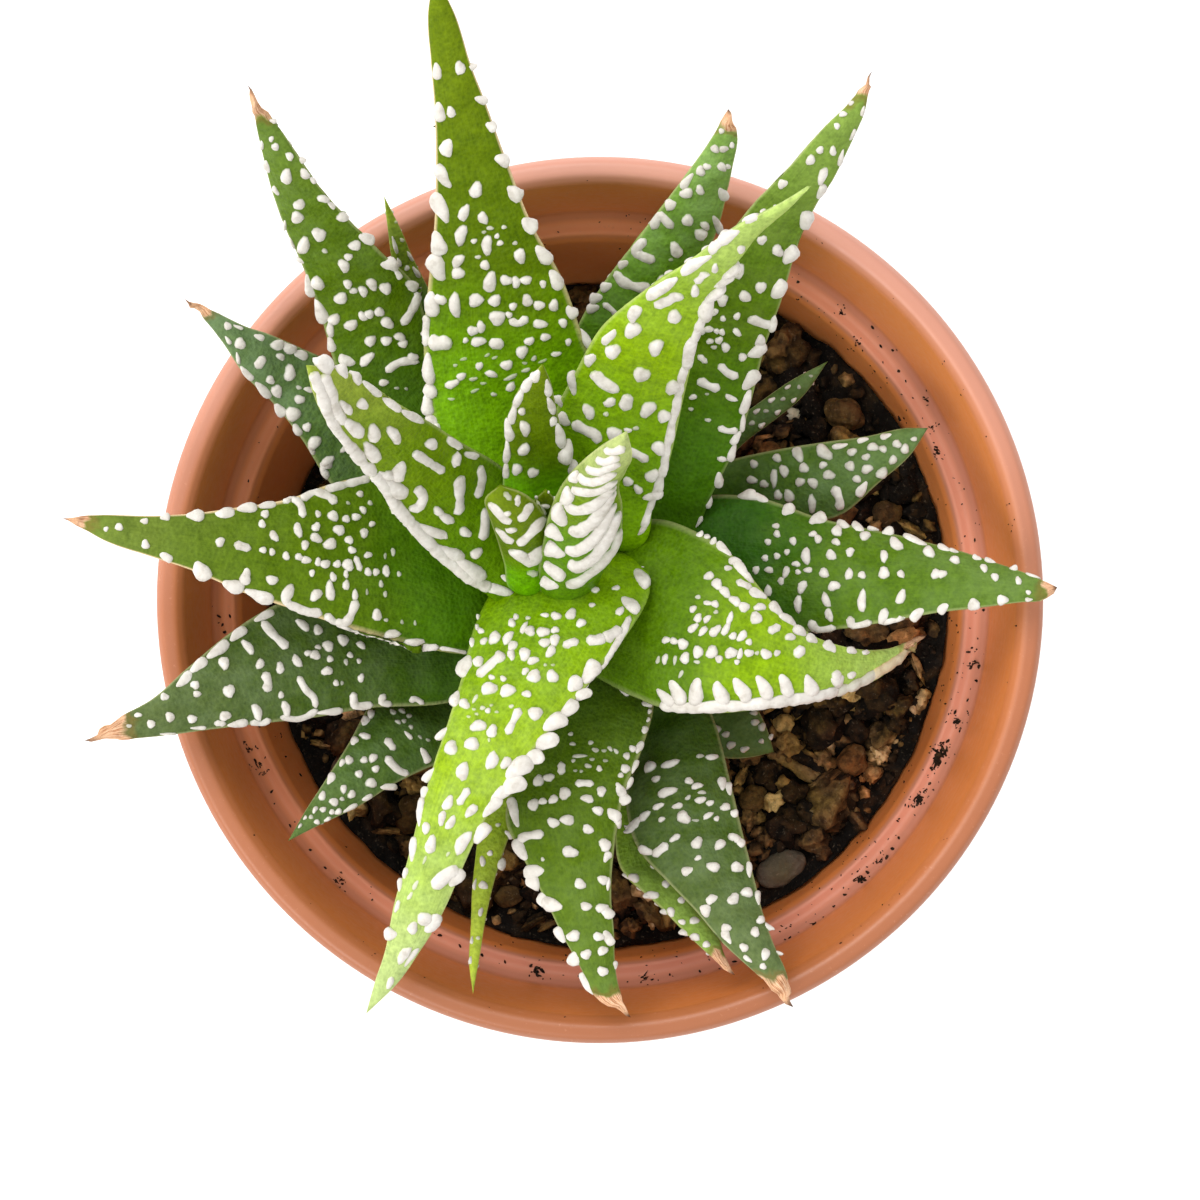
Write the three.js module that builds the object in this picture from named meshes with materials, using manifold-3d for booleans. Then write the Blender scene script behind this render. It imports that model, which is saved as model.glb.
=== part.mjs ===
// Potted haworthia: a rosette of tubercled leaves on a short stem in a round plastic plant pot.
// Millimetres, +Z up. Origin on the pot's axis at the plane that the pot stands on.
// Each leaf is a row of cross-sections. A section is given by its two edge points, its
// thickness above the line between them (face side) and below it (back side with the keel).
import * as THREE from 'three';
import * as BufferGeometryUtils from 'three/addons/utils/BufferGeometryUtils.js';
import Module from 'manifold-3d';

// ---------------------------------------------------------------- driving dimensions
const GAP = 0.32;                 // clearance kept between touching pieces

const POT_HEIGHT = 80;            // standing plane to rim top
const RIM_R = 45;                 // outer radius of the rolled rim
const RIM_IN_R = 43;              // inner edge of the flat rim top
const COLLAR_TOP_R = 42.2;        // inner wall of the collar, top and bottom
const COLLAR_LOW_R = 41.1;
const COLLAR_DEPTH = 14.3;        // rim top to the shoulder
const BODY_TOP_R = 38.25;         // inner wall of the tapered body below the shoulder
const BODY_TAPER = 0.155;         // radius lost per mm of depth
const WALL = 1.6;
const FLOOR_Z = 3.8;              // inside floor
const FOOT_R = 29.6;              // outer and inner radius of the standing ring
const FOOT_IN_R = 26.4;
const HUB_R = 11;                 // flat centre boss, level with the standing ring
const RECESS_Z = 2.0;             // height of the ring-shaped hollow in the underside
const DRAIN_R = 3.1;              // drainage holes
const DRAIN_PCD_R = 19;
const DRAIN_COUNT = 6;
const POT_SEGMENTS = 44;

const STEM_X = -5.0;              // the rosette sits a little off the pot's axis
const STEM_Y = 7.5;
const STEM_PROFILE = [            // height, radius
  [46.5, 2.4], [49, 3.9], [54, 4.6], [64, 4.7], [74, 4.3], [79, 3.2], [80.6, 1.5],
];
const ROOTS = [                   // heading in degrees, reach, depth of the tip, radius where it starts
  { heading: 20, reach: 27, tip: 12, r: 1.5 },
  { heading: 78, reach: 19, tip: 22, r: 1.2 },
  { heading: 138, reach: 17, tip: 9, r: 1.4 },
  { heading: 196, reach: 22, tip: 16, r: 1.3 },
  { heading: 262, reach: 27, tip: 10, r: 1.6 },
  { heading: 318, reach: 30, tip: 20, r: 1.3 },
];

// depth of the soil below the rim where it meets the wall, by heading in degrees
const SOIL_EDGE_DEPTH = [
  [0, 22.5], [20, 22.5], [40, 24], [58, 26.5], [90, 35], [120, 36.5], [150, 36], [190, 28],
  [230, 25.5], [260, 22.5], [305, 22], [340, 22.3],
];
const SOIL_STEM_DEPTH = 26;       // depth of the soil round the stem
const SOIL_SEGMENTS = 32;

// leaf edges from base to tip: [left x, y, z, right x, y, z], seen from above looking outwards
const LEAVES = {
  leaf_11: { base: 81.0, top: 0.26, under: 0.03, tip: [2.42, 15.15, 114.0], edges: [
    [-5.51, -0.6, 83.0, 0.2, 0.0, 83.0], [-5.83, 2.17, 87.0, 0.59, 2.77, 87.0], [-5.43, 5.33, 92.5, 1.84, 5.81, 92.5],
    [-4.66, 8.55, 98.0, 1.9, 9.03, 98.0], [-3.45, 11.0, 103.5, 1.58, 10.72, 103.5],
    [-1.56, 12.56, 108.0, 2.2, 11.92, 108.0], [0.27, 13.85, 111.5, 2.71, 13.12, 111.5], ] },
  leaf_09: { base: 81.6, top: 0.24, under: 0.03, tip: [-9.37, 10.68, 102.0], edges: [
    [-8.68, 1.2, 84.0, -5.19, 2.49, 84.0], [-9.24, 3.73, 88.5, -4.91, 5.11, 88.5],
    [-9.87, 6.29, 93.0, -5.13, 7.25, 93.0], [-10.49, 8.39, 97.0, -5.91, 8.78, 97.0],
    [-10.57, 9.72, 100.0, -7.55, 10.1, 100.0], ] },
  leaf_10: { base: 82.2, top: 0.2, under: 0.2, tip: [-5.15, 10.49, 97.0], edges: [
    [-6.31, 7.1, 87.5, -4.34, 7.2, 87.5], [-6.43, 8.38, 91.0, -4.29, 8.47, 91.0],
    [-6.15, 9.61, 95.0, -4.51, 9.7, 95.0], ] },
  leaf_08: { base: 81.2, top: -0.02, under: 0.2, tip: [-5.28, 21.87, 105.0], edges: [
    [-9.13, 7.94, 85.5, -2.78, 8.34, 85.5], [-9.29, 11.73, 90.0, -2.74, 11.92, 90.0],
    [-8.96, 14.94, 94.0, -3.57, 14.94, 94.0], [-8.36, 17.87, 98.0, -4.28, 17.87, 98.0],
    [-7.32, 19.9, 101.5, -4.69, 19.9, 101.5], ] },
  leaf_07: { base: 78.8, top: 0.03, under: 0.22, tip: [-25.76, 20.59, 120.0], edges: [
    [-8.64, -0.4, 82.0, -4.02, 5.52, 82.0], [-12.11, 1.09, 85.5, -6.45, 9.93, 85.5],
    [-15.9, 4.29, 90.5, -10.05, 13.07, 90.5], [-18.86, 7.85, 96.0, -13.11, 14.74, 96.0],
    [-21.08, 11.24, 102.0, -15.93, 16.4, 102.0], [-22.92, 13.75, 108.0, -18.34, 17.69, 108.0],
    [-24.48, 16.2, 113.0, -20.97, 19.26, 113.0], [-25.21, 18.4, 117.5, -23.27, 20.26, 117.5], ] },
  leaf_12: { base: 77.4, top: 0.03, under: 0.22, tip: [18.35, 36.0, 122.0], edges: [
    [-3.42, 6.04, 81.5, 4.23, 5.53, 81.5], [-4.37, 11.91, 85.5, 5.26, 9.43, 85.5],
    [-4.29, 17.56, 90.5, 6.54, 13.47, 90.5], [-2.11, 21.82, 96.0, 7.85, 19.62, 96.0],
    [0.56, 25.77, 102.0, 8.81, 23.89, 102.0], [4.42, 28.52, 107.0, 9.94, 27.6, 107.0],
    [8.13, 30.53, 112.0, 12.19, 30.26, 112.0], [11.57, 32.74, 116.0, 14.68, 33.1, 116.0],
    [15.1, 34.59, 119.5, 16.68, 34.51, 119.5], ] },
  leaf_01: { base: 75.8, top: 0.05, under: 0.2, tip: [-14.97, 56.62, 112.5], edges: [
    [-11.38, 6.61, 78.5, -0.81, 8.13, 78.5], [-15.07, 13.56, 82.0, 0.0, 16.07, 82.0],
    [-16.87, 19.85, 85.5, 0.0, 21.54, 85.5], [-17.07, 25.5, 89.0, -1.67, 25.21, 89.0],
    [-16.35, 30.95, 93.0, -3.87, 31.05, 93.0], [-15.55, 36.25, 97.0, -6.77, 36.05, 97.0],
    [-15.26, 40.51, 100.5, -8.67, 40.51, 100.5], [-15.14, 45.5, 104.5, -10.77, 45.96, 104.5],
    [-15.34, 49.6, 107.5, -12.22, 49.6, 107.5], [-15.47, 52.78, 110.0, -13.2, 52.78, 110.0], ] },
  leaf_19: { base: 74.8, top: 0.1, under: 0.24, tip: [-23.27, -41.16, 85.0], edges: [
    [4.04, 4.45, 80.0, -10.11, 2.02, 80.0], [4.98, 1.19, 84.6, -12.2, -1.8, 83.4],
    [0.98, -5.41, 88.3, -13.54, -7.91, 86.7], [-3.61, -10.93, 90.5, -14.93, -12.58, 88.5],
    [-7.78, -16.06, 91.3, -16.26, -16.46, 89.3], [-11.28, -21.2, 91.4, -17.42, -20.75, 89.6],
    [-13.85, -25.56, 90.6, -18.51, -25.66, 89.4], [-15.97, -30.37, 89.3, -19.73, -29.94, 88.7],
    [-18.53, -34.5, 87.5, -20.9, -34.5, 87.5], [-20.81, -38.15, 86.0, -22.1, -37.95, 86.0], ] },
  leaf_04: { base: 73.4, top: 0.06, under: 0.2, tip: [-50.94, 7.9, 97.5], edges: [
    [-7.14, -4.59, 77.5, -10.2, 5.61, 77.5], [-13.32, -5.35, 80.5, -16.15, 10.09, 80.5],
    [-19.99, -4.0, 83.5, -21.49, 12.19, 83.5], [-25.18, -2.47, 87.0, -26.17, 11.36, 87.0],
    [-30.3, -0.59, 90.0, -30.79, 9.58, 90.0], [-34.88, 1.07, 92.5, -35.37, 8.72, 92.5],
    [-39.26, 3.08, 94.5, -39.45, 8.08, 94.5], [-43.07, 4.4, 96.0, -43.07, 7.85, 96.0],
    [-46.93, 5.72, 97.0, -46.93, 7.92, 97.0], ] },
  leaf_18: { base: 71.8, top: 0.1, under: 0.18, tip: [33.24, -3.27, 76.5], edges: [
    [0.0, 5.62, 77.0, -2.55, -6.13, 77.0], [5.25, 7.97, 80.5, 2.83, -9.29, 80.5],
    [9.99, 6.4, 83.5, 7.2, -10.79, 83.5], [13.41, 3.97, 85.2, 11.43, -11.03, 85.2],
    [16.89, -0.2, 85.3, 16.09, -10.63, 85.3], [21.19, -3.7, 83.5, 20.99, -9.89, 83.5],
    [25.19, -5.04, 81.0, 24.69, -9.07, 81.0], [29.52, -5.09, 78.0, 28.81, -7.43, 78.0], ] },
  leaf_13: { base: 70.6, top: 0.05, under: 0.22, tip: [24.84, 48.41, 109.0], edges: [
    [-1.03, 5.67, 74.0, 8.25, 5.16, 74.0], [2.55, 13.25, 77.5, 11.42, 11.01, 77.5],
    [5.53, 20.12, 81.5, 14.29, 17.61, 81.5], [7.73, 25.27, 86.0, 16.05, 24.77, 86.0],
    [9.74, 29.71, 91.0, 17.44, 29.22, 91.0], [11.7, 33.56, 95.5, 18.7, 33.75, 95.5],
    [14.4, 37.13, 99.0, 20.08, 37.13, 99.0], [17.49, 40.03, 102.5, 21.79, 39.75, 102.5],
    [20.54, 43.3, 105.5, 23.5, 43.3, 105.5], [23.33, 46.01, 107.5, 24.43, 45.83, 107.5], ] },
  leaf_20: { base: 69.2, top: 0.08, under: 0.22, tip: [3.09, -41.7, 84.0], edges: [
    [3.62, -3.62, 73.0, -6.21, -4.66, 73.0], [5.31, -10.21, 77.0, -7.15, -12.25, 77.0],
    [4.04, -15.17, 80.0, -8.59, -18.2, 80.0], [2.21, -19.59, 82.0, -9.24, -22.1, 82.0],
    [1.2, -24.98, 83.5, -7.79, -25.18, 83.5], [0.9, -29.4, 84.3, -5.38, -29.6, 84.3],
    [1.19, -33.33, 84.8, -3.38, -33.63, 84.8], [1.29, -36.32, 84.8, -1.69, -36.61, 84.8],
    [1.69, -38.64, 84.5, -0.5, -39.14, 84.5], ] },
  leaf_02: { base: 68.4, top: 0.06, under: 0.22, tip: [-32.3, 47.03, 108.5], edges: [
    [-15.03, 8.29, 72.5, -7.25, 12.44, 72.5], [-22.98, 17.16, 77.0, -13.79, 20.42, 77.0],
    [-26.16, 22.94, 81.5, -17.1, 26.16, 81.5], [-27.5, 28.49, 86.5, -18.6, 31.16, 86.5],
    [-28.83, 32.81, 92.0, -21.74, 33.97, 92.0], [-30.15, 36.18, 96.0, -24.41, 36.56, 96.0],
    [-31.05, 39.64, 100.0, -26.8, 39.16, 100.0], [-31.5, 42.68, 103.5, -28.98, 42.4, 103.5],
    [-31.77, 44.51, 106.0, -30.75, 44.88, 106.0], ] },
  leaf_17: { base: 66.8, top: 0.09, under: 0.25, tip: [45.46, 1.09, 85.5], edges: [
    [2.08, 7.29, 71.0, 4.69, -2.08, 71.0], [9.28, 10.31, 74.2, 10.29, -2.57, 74.8],
    [16.37, 10.23, 76.4, 16.82, -2.96, 77.6], [22.39, 8.14, 78.0, 22.45, -2.93, 80.0],
    [28.38, 6.79, 79.3, 28.15, -2.11, 81.7], [33.76, 5.44, 81.0, 33.53, -1.1, 83.0],
    [38.55, 3.91, 82.9, 38.4, -0.5, 84.1], [42.36, 2.49, 84.3, 42.0, 0.0, 84.7],
    [44.15, 1.69, 85.0, 44.05, 0.2, 85.0], ] },
  leaf_05: { base: 66.0, top: 0.07, under: 0.22, tip: [-50.15, -13.66, 90.5], edges: [
    [-7.28, -8.32, 71.5, -10.4, 0.0, 71.5], [-16.45, -10.49, 75.0, -17.99, 0.0, 75.0],
    [-23.4, -10.78, 78.2, -25.43, 0.81, 78.2], [-29.21, -11.68, 81.2, -31.72, -0.3, 81.2],
    [-34.42, -12.17, 84.0, -36.71, -3.39, 84.0], [-39.07, -12.66, 86.5, -40.85, -7.02, 86.5],
    [-43.23, -13.17, 88.5, -44.21, -10.12, 88.5], [-46.21, -13.41, 89.5, -47.0, -11.65, 89.5], ] },
  leaf_14: { base: 64.2, top: 0.08, under: 0.22, tip: [12.34, 47.43, 94.0], edges: [
    [-4.21, 12.64, 67.5, 2.11, 13.69, 67.5], [-3.64, 20.8, 71.5, 4.16, 22.36, 71.5],
    [-2.25, 27.62, 76.5, 5.63, 28.13, 76.5], [0.3, 31.65, 80.0, 8.59, 32.36, 80.0],
    [3.6, 35.68, 83.5, 11.19, 36.18, 83.5], [6.42, 39.01, 87.0, 12.15, 39.5, 87.0],
    [9.09, 42.22, 90.0, 12.71, 42.22, 90.0], [11.53, 45.64, 92.5, 13.08, 45.45, 92.5], ] },
  leaf_21: { base: 63.2, top: 0.08, under: 0.22, tip: [19.19, -40.77, 83.5], edges: [
    [7.91, -5.27, 67.0, 1.05, -9.49, 67.0], [11.66, -12.5, 71.0, 4.17, -15.62, 71.0],
    [13.18, -18.53, 74.5, 2.88, -20.59, 74.5], [14.3, -23.49, 77.0, 4.08, -25.33, 77.0],
    [15.22, -27.39, 79.0, 6.9, -28.41, 79.0], [16.13, -31.26, 80.8, 9.78, -31.26, 80.8],
    [17.16, -34.43, 82.2, 12.85, -34.73, 82.2], [18.52, -37.54, 83.0, 16.22, -37.74, 83.0], ] },
  leaf_03: { base: 62.4, top: 0.08, under: 0.22, tip: [-40.69, 29.27, 90.5], edges: [
    [-15.32, 3.17, 66.5, -12.68, 8.45, 66.5], [-22.39, 8.33, 71.0, -18.23, 15.62, 71.0],
    [-27.76, 12.34, 75.0, -23.44, 21.07, 75.0], [-30.18, 16.46, 78.5, -26.93, 23.78, 78.5],
    [-32.7, 19.92, 81.5, -30.18, 25.15, 81.5], [-35.3, 22.67, 85.0, -33.01, 26.25, 85.0],
    [-37.26, 25.83, 87.5, -35.49, 27.01, 87.5], [-38.64, 27.46, 89.0, -37.96, 28.25, 89.0], ] },
  leaf_16: { base: 61.4, top: 0.08, under: 0.22, tip: [33.5, 17.57, 77.0], edges: [
    [4.78, 10.62, 65.0, 6.9, 3.19, 65.0], [12.6, 14.17, 68.5, 14.7, 7.35, 68.5],
    [18.21, 15.4, 71.2, 20.3, 8.12, 71.2], [23.27, 16.13, 73.2, 25.02, 9.1, 73.2],
    [27.55, 16.65, 75.0, 28.58, 12.23, 75.0], [30.74, 17.32, 76.0, 31.46, 14.75, 76.0], ] },
  leaf_06: { base: 61.0, top: 0.08, under: 0.22, tip: [-31.44, -24.29, 81.0], edges: [
    [-6.91, -9.57, 64.5, -11.7, -4.25, 64.5], [-13.1, -15.72, 69.0, -19.92, -8.39, 69.0],
    [-17.38, -16.97, 73.0, -23.49, -10.86, 73.0], [-21.31, -18.75, 76.0, -25.62, -14.86, 76.0],
    [-24.92, -20.95, 78.2, -27.87, -18.61, 78.2], [-28.13, -22.46, 79.8, -29.65, -21.45, 79.8], ] },
  leaf_22: { base: 59.4, top: 0.08, under: 0.2, tip: [13.65, -37.92, 80.0], edges: [
    [4.27, -12.82, 63.0, -1.6, -14.96, 63.0], [8.9, -21.98, 69.5, 1.57, -23.55, 69.5],
    [10.35, -27.94, 73.0, 2.59, -28.14, 73.0], [11.27, -31.76, 76.0, 6.15, -31.25, 76.0],
    [11.91, -34.4, 78.0, 9.36, -34.3, 78.0], [12.57, -36.19, 79.2, 11.46, -36.19, 79.2], ] },
  leaf_25: { base: 58.0, top: 0.1, under: 0.2, tip: [18.47, -16.14, 65.0], edges: [
    [6.99, -2.15, 61.0, 3.23, -8.6, 61.0], [13.36, -9.08, 63.0, 10.15, -15.17, 63.0],
    [16.71, -11.92, 64.2, 13.84, -16.71, 64.2], ] },
  leaf_15: { base: 57.6, top: 0.1, under: 0.2, tip: [23.84, 24.9, 67.0], edges: [
    [5.39, 10.79, 60.0, 7.77, 7.55, 60.0], [14.42, 19.23, 63.0, 16.77, 16.24, 63.0],
    [17.55, 22.01, 64.5, 19.46, 19.88, 64.5], [20.64, 23.92, 66.0, 21.8, 22.44, 66.0], ] },
  leaf_24: { base: 59.4, top: 0.1, under: 0.2, tip: [-21.37, 39.96, 86.5], edges: [
    [-12.78, 12.78, 64.0, -9.05, 14.06, 64.0], [-18.25, 25.04, 70.5, -14.81, 26.6, 70.5],
    [-20.18, 30.74, 76.0, -17.62, 31.56, 76.0], [-20.83, 34.18, 80.0, -19.11, 34.58, 80.0],
    [-21.09, 36.98, 83.5, -20.09, 37.17, 83.5], ] },
  leaf_23: { base: 58.4, top: 0.1, under: 0.2, tip: [-12.83, -39.8, 80.3], edges: [
    [-3.75, -8.56, 62.5, -8.03, -9.63, 62.5], [-7.31, -18.81, 70.0, -11.49, -19.33, 70.0],
    [-9.49, -24.24, 74.0, -12.58, -25.78, 74.0], [-10.96, -28.67, 76.2, -12.9, -29.69, 76.2],
    [-11.81, -32.78, 78.0, -13.03, -33.39, 78.0], [-12.27, -35.99, 79.2, -13.18, -36.5, 79.2], ] },
};

// stones, bark and lumps of mix lying on the soil: centre x y, half sizes, heading
const LITTER = {
  pebble_grey_oval: { at: [20.2, -30.0], half: [3.0, 1.9, 1.3], turn: 25, kind: 'pebble', seed: 3 },
  pebble_pale: { at: [21.0, 20.2], half: [1.0, 0.95, 0.9], turn: 0, kind: 'pebble', seed: 5 },
  bark_chip_long: { at: [21.6, -18.4], half: [4.2, 0.9, 0.7], turn: -28, kind: 'bark', seed: 7 },
  bark_chip_wall: { at: [14.2, -24.8], half: [3.2, 1.3, 0.9], turn: -63, kind: 'bark', seed: 9 },
  lump_olive: { at: [27.2, -17.4], half: [2.1, 1.8, 1.5], turn: 10, kind: 'lump', seed: 11 },
  lump_tan: { at: [20.0, -13.4], half: [1.4, 1.3, 1.1], turn: 0, kind: 'lump', seed: 13 },
  lump_brown: { at: [16.6, -21.4], half: [1.8, 1.5, 1.3], turn: 40, kind: 'lump', seed: 15 },
  lump_upper: { at: [26.6, 20.2], half: [2.6, 2.0, 1.7], turn: -20, kind: 'lump', seed: 17 },
  lump_right: { at: [31.0, 9.4], half: [2.0, 1.7, 1.3], turn: 15, kind: 'lump', seed: 19 },
  lump_low_left: { at: [-20.4, -23.2], half: [2.6, 2.0, 1.7], turn: 60, kind: 'lump', seed: 21 },
  lump_bottom: { at: [-10.0, -32.0], half: [1.8, 1.5, 1.3], turn: 5, kind: 'lump', seed: 23 },
  pebble_left: { at: [-27.4, -18.4], half: [2.6, 2.0, 1.3], turn: 50, kind: 'pebble', seed: 25 },
};

// ---------------------------------------------------------------- finishes
function finish(r, g, b, roughness, metalness = 0) {
  const color = new THREE.Color().setRGB(r / 255, g / 255, b / 255, THREE.SRGBColorSpace);
  return new THREE.MeshStandardMaterial({ color, roughness, metalness });
}
const LEAF_TONE = {
  bright: () => finish(128, 160, 40, 0.5),
  fresh: () => finish(100, 138, 36, 0.52),
  mid: () => finish(78, 116, 44, 0.55),
  dark: () => finish(56, 92, 48, 0.6),
};
const TONE = {
  leaf_11: 'bright', leaf_09: 'fresh', leaf_10: 'fresh', leaf_08: 'fresh', leaf_07: 'fresh', leaf_12: 'bright',
  leaf_01: 'fresh', leaf_19: 'bright', leaf_18: 'bright', leaf_04: 'fresh', leaf_13: 'fresh', leaf_02: 'mid',
  leaf_17: 'mid', leaf_20: 'mid', leaf_05: 'dark', leaf_14: 'mid', leaf_21: 'dark', leaf_22: 'mid',
};

// ---------------------------------------------------------------- solids
const wasm = await Module();
wasm.setup();

function toSolid(geometry) {
  const g = geometry.clone();
  for (const name of Object.keys(g.attributes)) if (name !== 'position') g.deleteAttribute(name);
  const merged = BufferGeometryUtils.mergeVertices(g, 1e-4);
  return new wasm.Manifold(new wasm.Mesh({
    numProp: 3,
    vertProperties: new Float32Array(merged.attributes.position.array),
    triVerts: new Uint32Array(merged.index.array),
  }));
}

function toGeometry(solid) {
  const mesh = solid.getMesh();
  const g = new THREE.BufferGeometry();
  const p = new Float32Array(mesh.numVert * 3);
  for (let i = 0; i < mesh.numVert; i++) {
    for (let k = 0; k < 3; k++) p[i * 3 + k] = mesh.vertProperties[i * mesh.numProp + k];
  }
  g.setAttribute('position', new THREE.BufferAttribute(p, 3));
  g.setIndex(new THREE.BufferAttribute(new Uint32Array(mesh.triVerts), 1));
  return g;
}

function largestBody(solid) {
  let best = null;
  for (const part of solid.decompose()) {
    if (!best || part.volume() > best.volume()) best = part;
  }
  return best;
}

// closed skin over a row of rings with equal point counts; either end is closed on a point
function skin(rings, startPoint, endPoint) {
  const n = rings[0].length;
  const p = [];
  for (const ring of rings) for (const v of ring) p.push(v.x, v.y, v.z);
  const first = p.length / 3;
  p.push(startPoint.x, startPoint.y, startPoint.z);
  p.push(endPoint.x, endPoint.y, endPoint.z);
  const index = [];
  for (let k = 0; k < n; k++) {
    const m = (k + 1) % n;
    index.push(first, m, k);
    for (let i = 0; i + 1 < rings.length; i++) {
      const a = i * n + k, b = i * n + m, c = a + n, d = b + n;
      index.push(a, b, c, b, d, c);
    }
    const last = (rings.length - 1) * n;
    index.push(first + 1, last + k, last + m);
  }
  const g = new THREE.BufferGeometry();
  g.setAttribute('position', new THREE.Float32BufferAttribute(p, 3));
  g.setIndex(index);
  return g;
}

const V = (x, y, z) => new THREE.Vector3(x, y, z);

// ---------------------------------------------------------------- leaf
const FACE_U = [-0.55, 0, 0.55];

function leafStations(leaf) {
  const rows = leaf.edges.map((e) => [V(e[0], e[1], e[2]), V(e[3], e[4], e[5])]);
  const mid = rows[0][0].clone().add(rows[0][1]).multiplyScalar(0.5);
  const out = V(mid.x - STEM_X, mid.y - STEM_Y, 0);
  const seatOut = Math.min(leaf.base > 79 ? 1.7 : 3.0, out.length() * 0.6);
  out.normalize();
  const right = V(out.y, -out.x, 0);
  const firstRight = rows[0][1].clone().sub(rows[0][0]);
  const half = 0.5 * Math.min(leaf.base > 79 ? 3.6 : 9.0, firstRight.length() * 0.85);
  firstRight.normalize();
  right.add(firstRight).normalize();
  const seat = V(STEM_X + out.x * seatOut, STEM_Y + out.y * seatOut, leaf.base);
  rows.unshift([seat.clone().addScaledVector(right, -half), seat.clone().addScaledVector(right, half)]);
  return rows;
}

function leafGeometry(leaf, grow = 0) {
  const rows = leafStations(leaf);
  const tip = V(...leaf.tip);
  const mids = rows.map(([l, r]) => l.clone().add(r).multiplyScalar(0.5));
  const rings = rows.map(([l, r], i) => {
    const across = r.clone().sub(l);
    const width = across.length();
    across.normalize();
    const ahead = (i + 1 < mids.length ? mids[i + 1] : tip).clone().sub(i > 0 ? mids[i - 1] : mids[i]);
    const up = across.clone().cross(ahead).normalize();
    const face = Math.max(leaf.top * width, 0.12) + grow;
    const back = Math.max(leaf.under * width, 0.25) + grow;
    const half = width / 2 + grow;
    const at = (u, h) => mids[i].clone().addScaledVector(across, u * half).addScaledVector(up, h);
    const ring = [at(-1, 0)];
    for (const u of FACE_U) ring.push(at(u, face * (1 - u * u)));
    ring.push(at(1, 0));
    for (const u of [...FACE_U].reverse()) ring.push(at(u, -back * (1 - Math.abs(u)) ** 0.75));
    return ring;
  });
  const end = tip.clone();
  const start = mids[0].clone();
  if (grow) {
    end.addScaledVector(tip.clone().sub(mids.at(-1)).normalize(), grow * 1.5);
    start.addScaledVector(mids[0].clone().sub(mids[1]).normalize(), grow);
  }
  return skin(rings, start, end);
}

// ---------------------------------------------------------------- pot
function potProfile() {
  const at = (d) => POT_HEIGHT - d;
  const inner = (z) => BODY_TOP_R - BODY_TAPER * (POT_HEIGHT - 17 - z);
  return [
    [0, FLOOR_Z], [inner(FLOOR_Z) - 1.4, FLOOR_Z], [inner(FLOOR_Z + 1.6), FLOOR_Z + 1.6],
    [BODY_TOP_R, at(17)], [38.9, at(15.3)], [39.98, at(15.5)], [COLLAR_LOW_R, at(COLLAR_DEPTH)],
    [COLLAR_TOP_R, at(1)], [RIM_IN_R, at(0)], [44.3, at(0)], [RIM_R, at(0.8)],
    [44.9, at(3.6)], [43.9, at(4.6)], [42.9, at(14.9)], [42.3, at(15.9)],
    [inner(at(17)) + WALL + 0.2, at(17.2)], [inner(2) + WALL - 0.3, 1.4], [FOOT_R, 0],
    [FOOT_IN_R, 0], [FOOT_IN_R - 0.6, RECESS_Z], [HUB_R + 0.6, RECESS_Z], [HUB_R, 0], [0, 0],
  ];
}

function latheZ(profile, segments) {
  // a profile walked from the top of the axis outwards and down to the bottom of the axis
  const g = new THREE.LatheGeometry(profile.map(([r, z]) => new THREE.Vector2(r, z)).reverse(), segments);
  g.rotateX(Math.PI / 2);
  return g;
}

function makePot() {
  let pot = toSolid(latheZ(potProfile(), POT_SEGMENTS));
  for (let i = 0; i < DRAIN_COUNT; i++) {
    const a = ((i + 0.5) / DRAIN_COUNT) * Math.PI * 2;
    const drill = new THREE.CylinderGeometry(DRAIN_R, DRAIN_R, 6, 16);
    drill.rotateX(Math.PI / 2);
    drill.translate(DRAIN_PCD_R * Math.cos(a), DRAIN_PCD_R * Math.sin(a), 3);
    pot = pot.subtract(toSolid(drill));
  }
  return pot;
}

// ---------------------------------------------------------------- soil
function edgeDepth(heading) {
  const h = ((heading % 360) + 360) % 360;
  const n = SOIL_EDGE_DEPTH.length;
  for (let i = 0; i < n; i++) {
    const [a0, d0] = SOIL_EDGE_DEPTH[i];
    const [a1raw, d1] = SOIL_EDGE_DEPTH[(i + 1) % n];
    const a1 = i + 1 < n ? a1raw : a1raw + 360;
    const hh = h < a0 ? h + 360 : h;
    if (hh >= a0 && hh <= a1) {
      const t = (hh - a0) / (a1 - a0);
      const s = t * t * (3 - 2 * t);
      return d0 + (d1 - d0) * s;
    }
  }
  return SOIL_EDGE_DEPTH[0][1];
}

function potInner(z) {
  return BODY_TOP_R - BODY_TAPER * (POT_HEIGHT - 17 - z);
}

function soilTop(x, y) {
  const r = Math.hypot(x, y);
  const heading = (Math.atan2(y, x) * 180) / Math.PI;
  const t = Math.min(r / 36, 1);
  const s = t * t * (3 - 2 * t);
  const depth = SOIL_STEM_DEPTH + (edgeDepth(heading) - SOIL_STEM_DEPTH) * s;
  return POT_HEIGHT - depth + 0.35 * Math.sin(x * 0.9 + 1) * Math.cos(y * 0.8);
}

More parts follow.
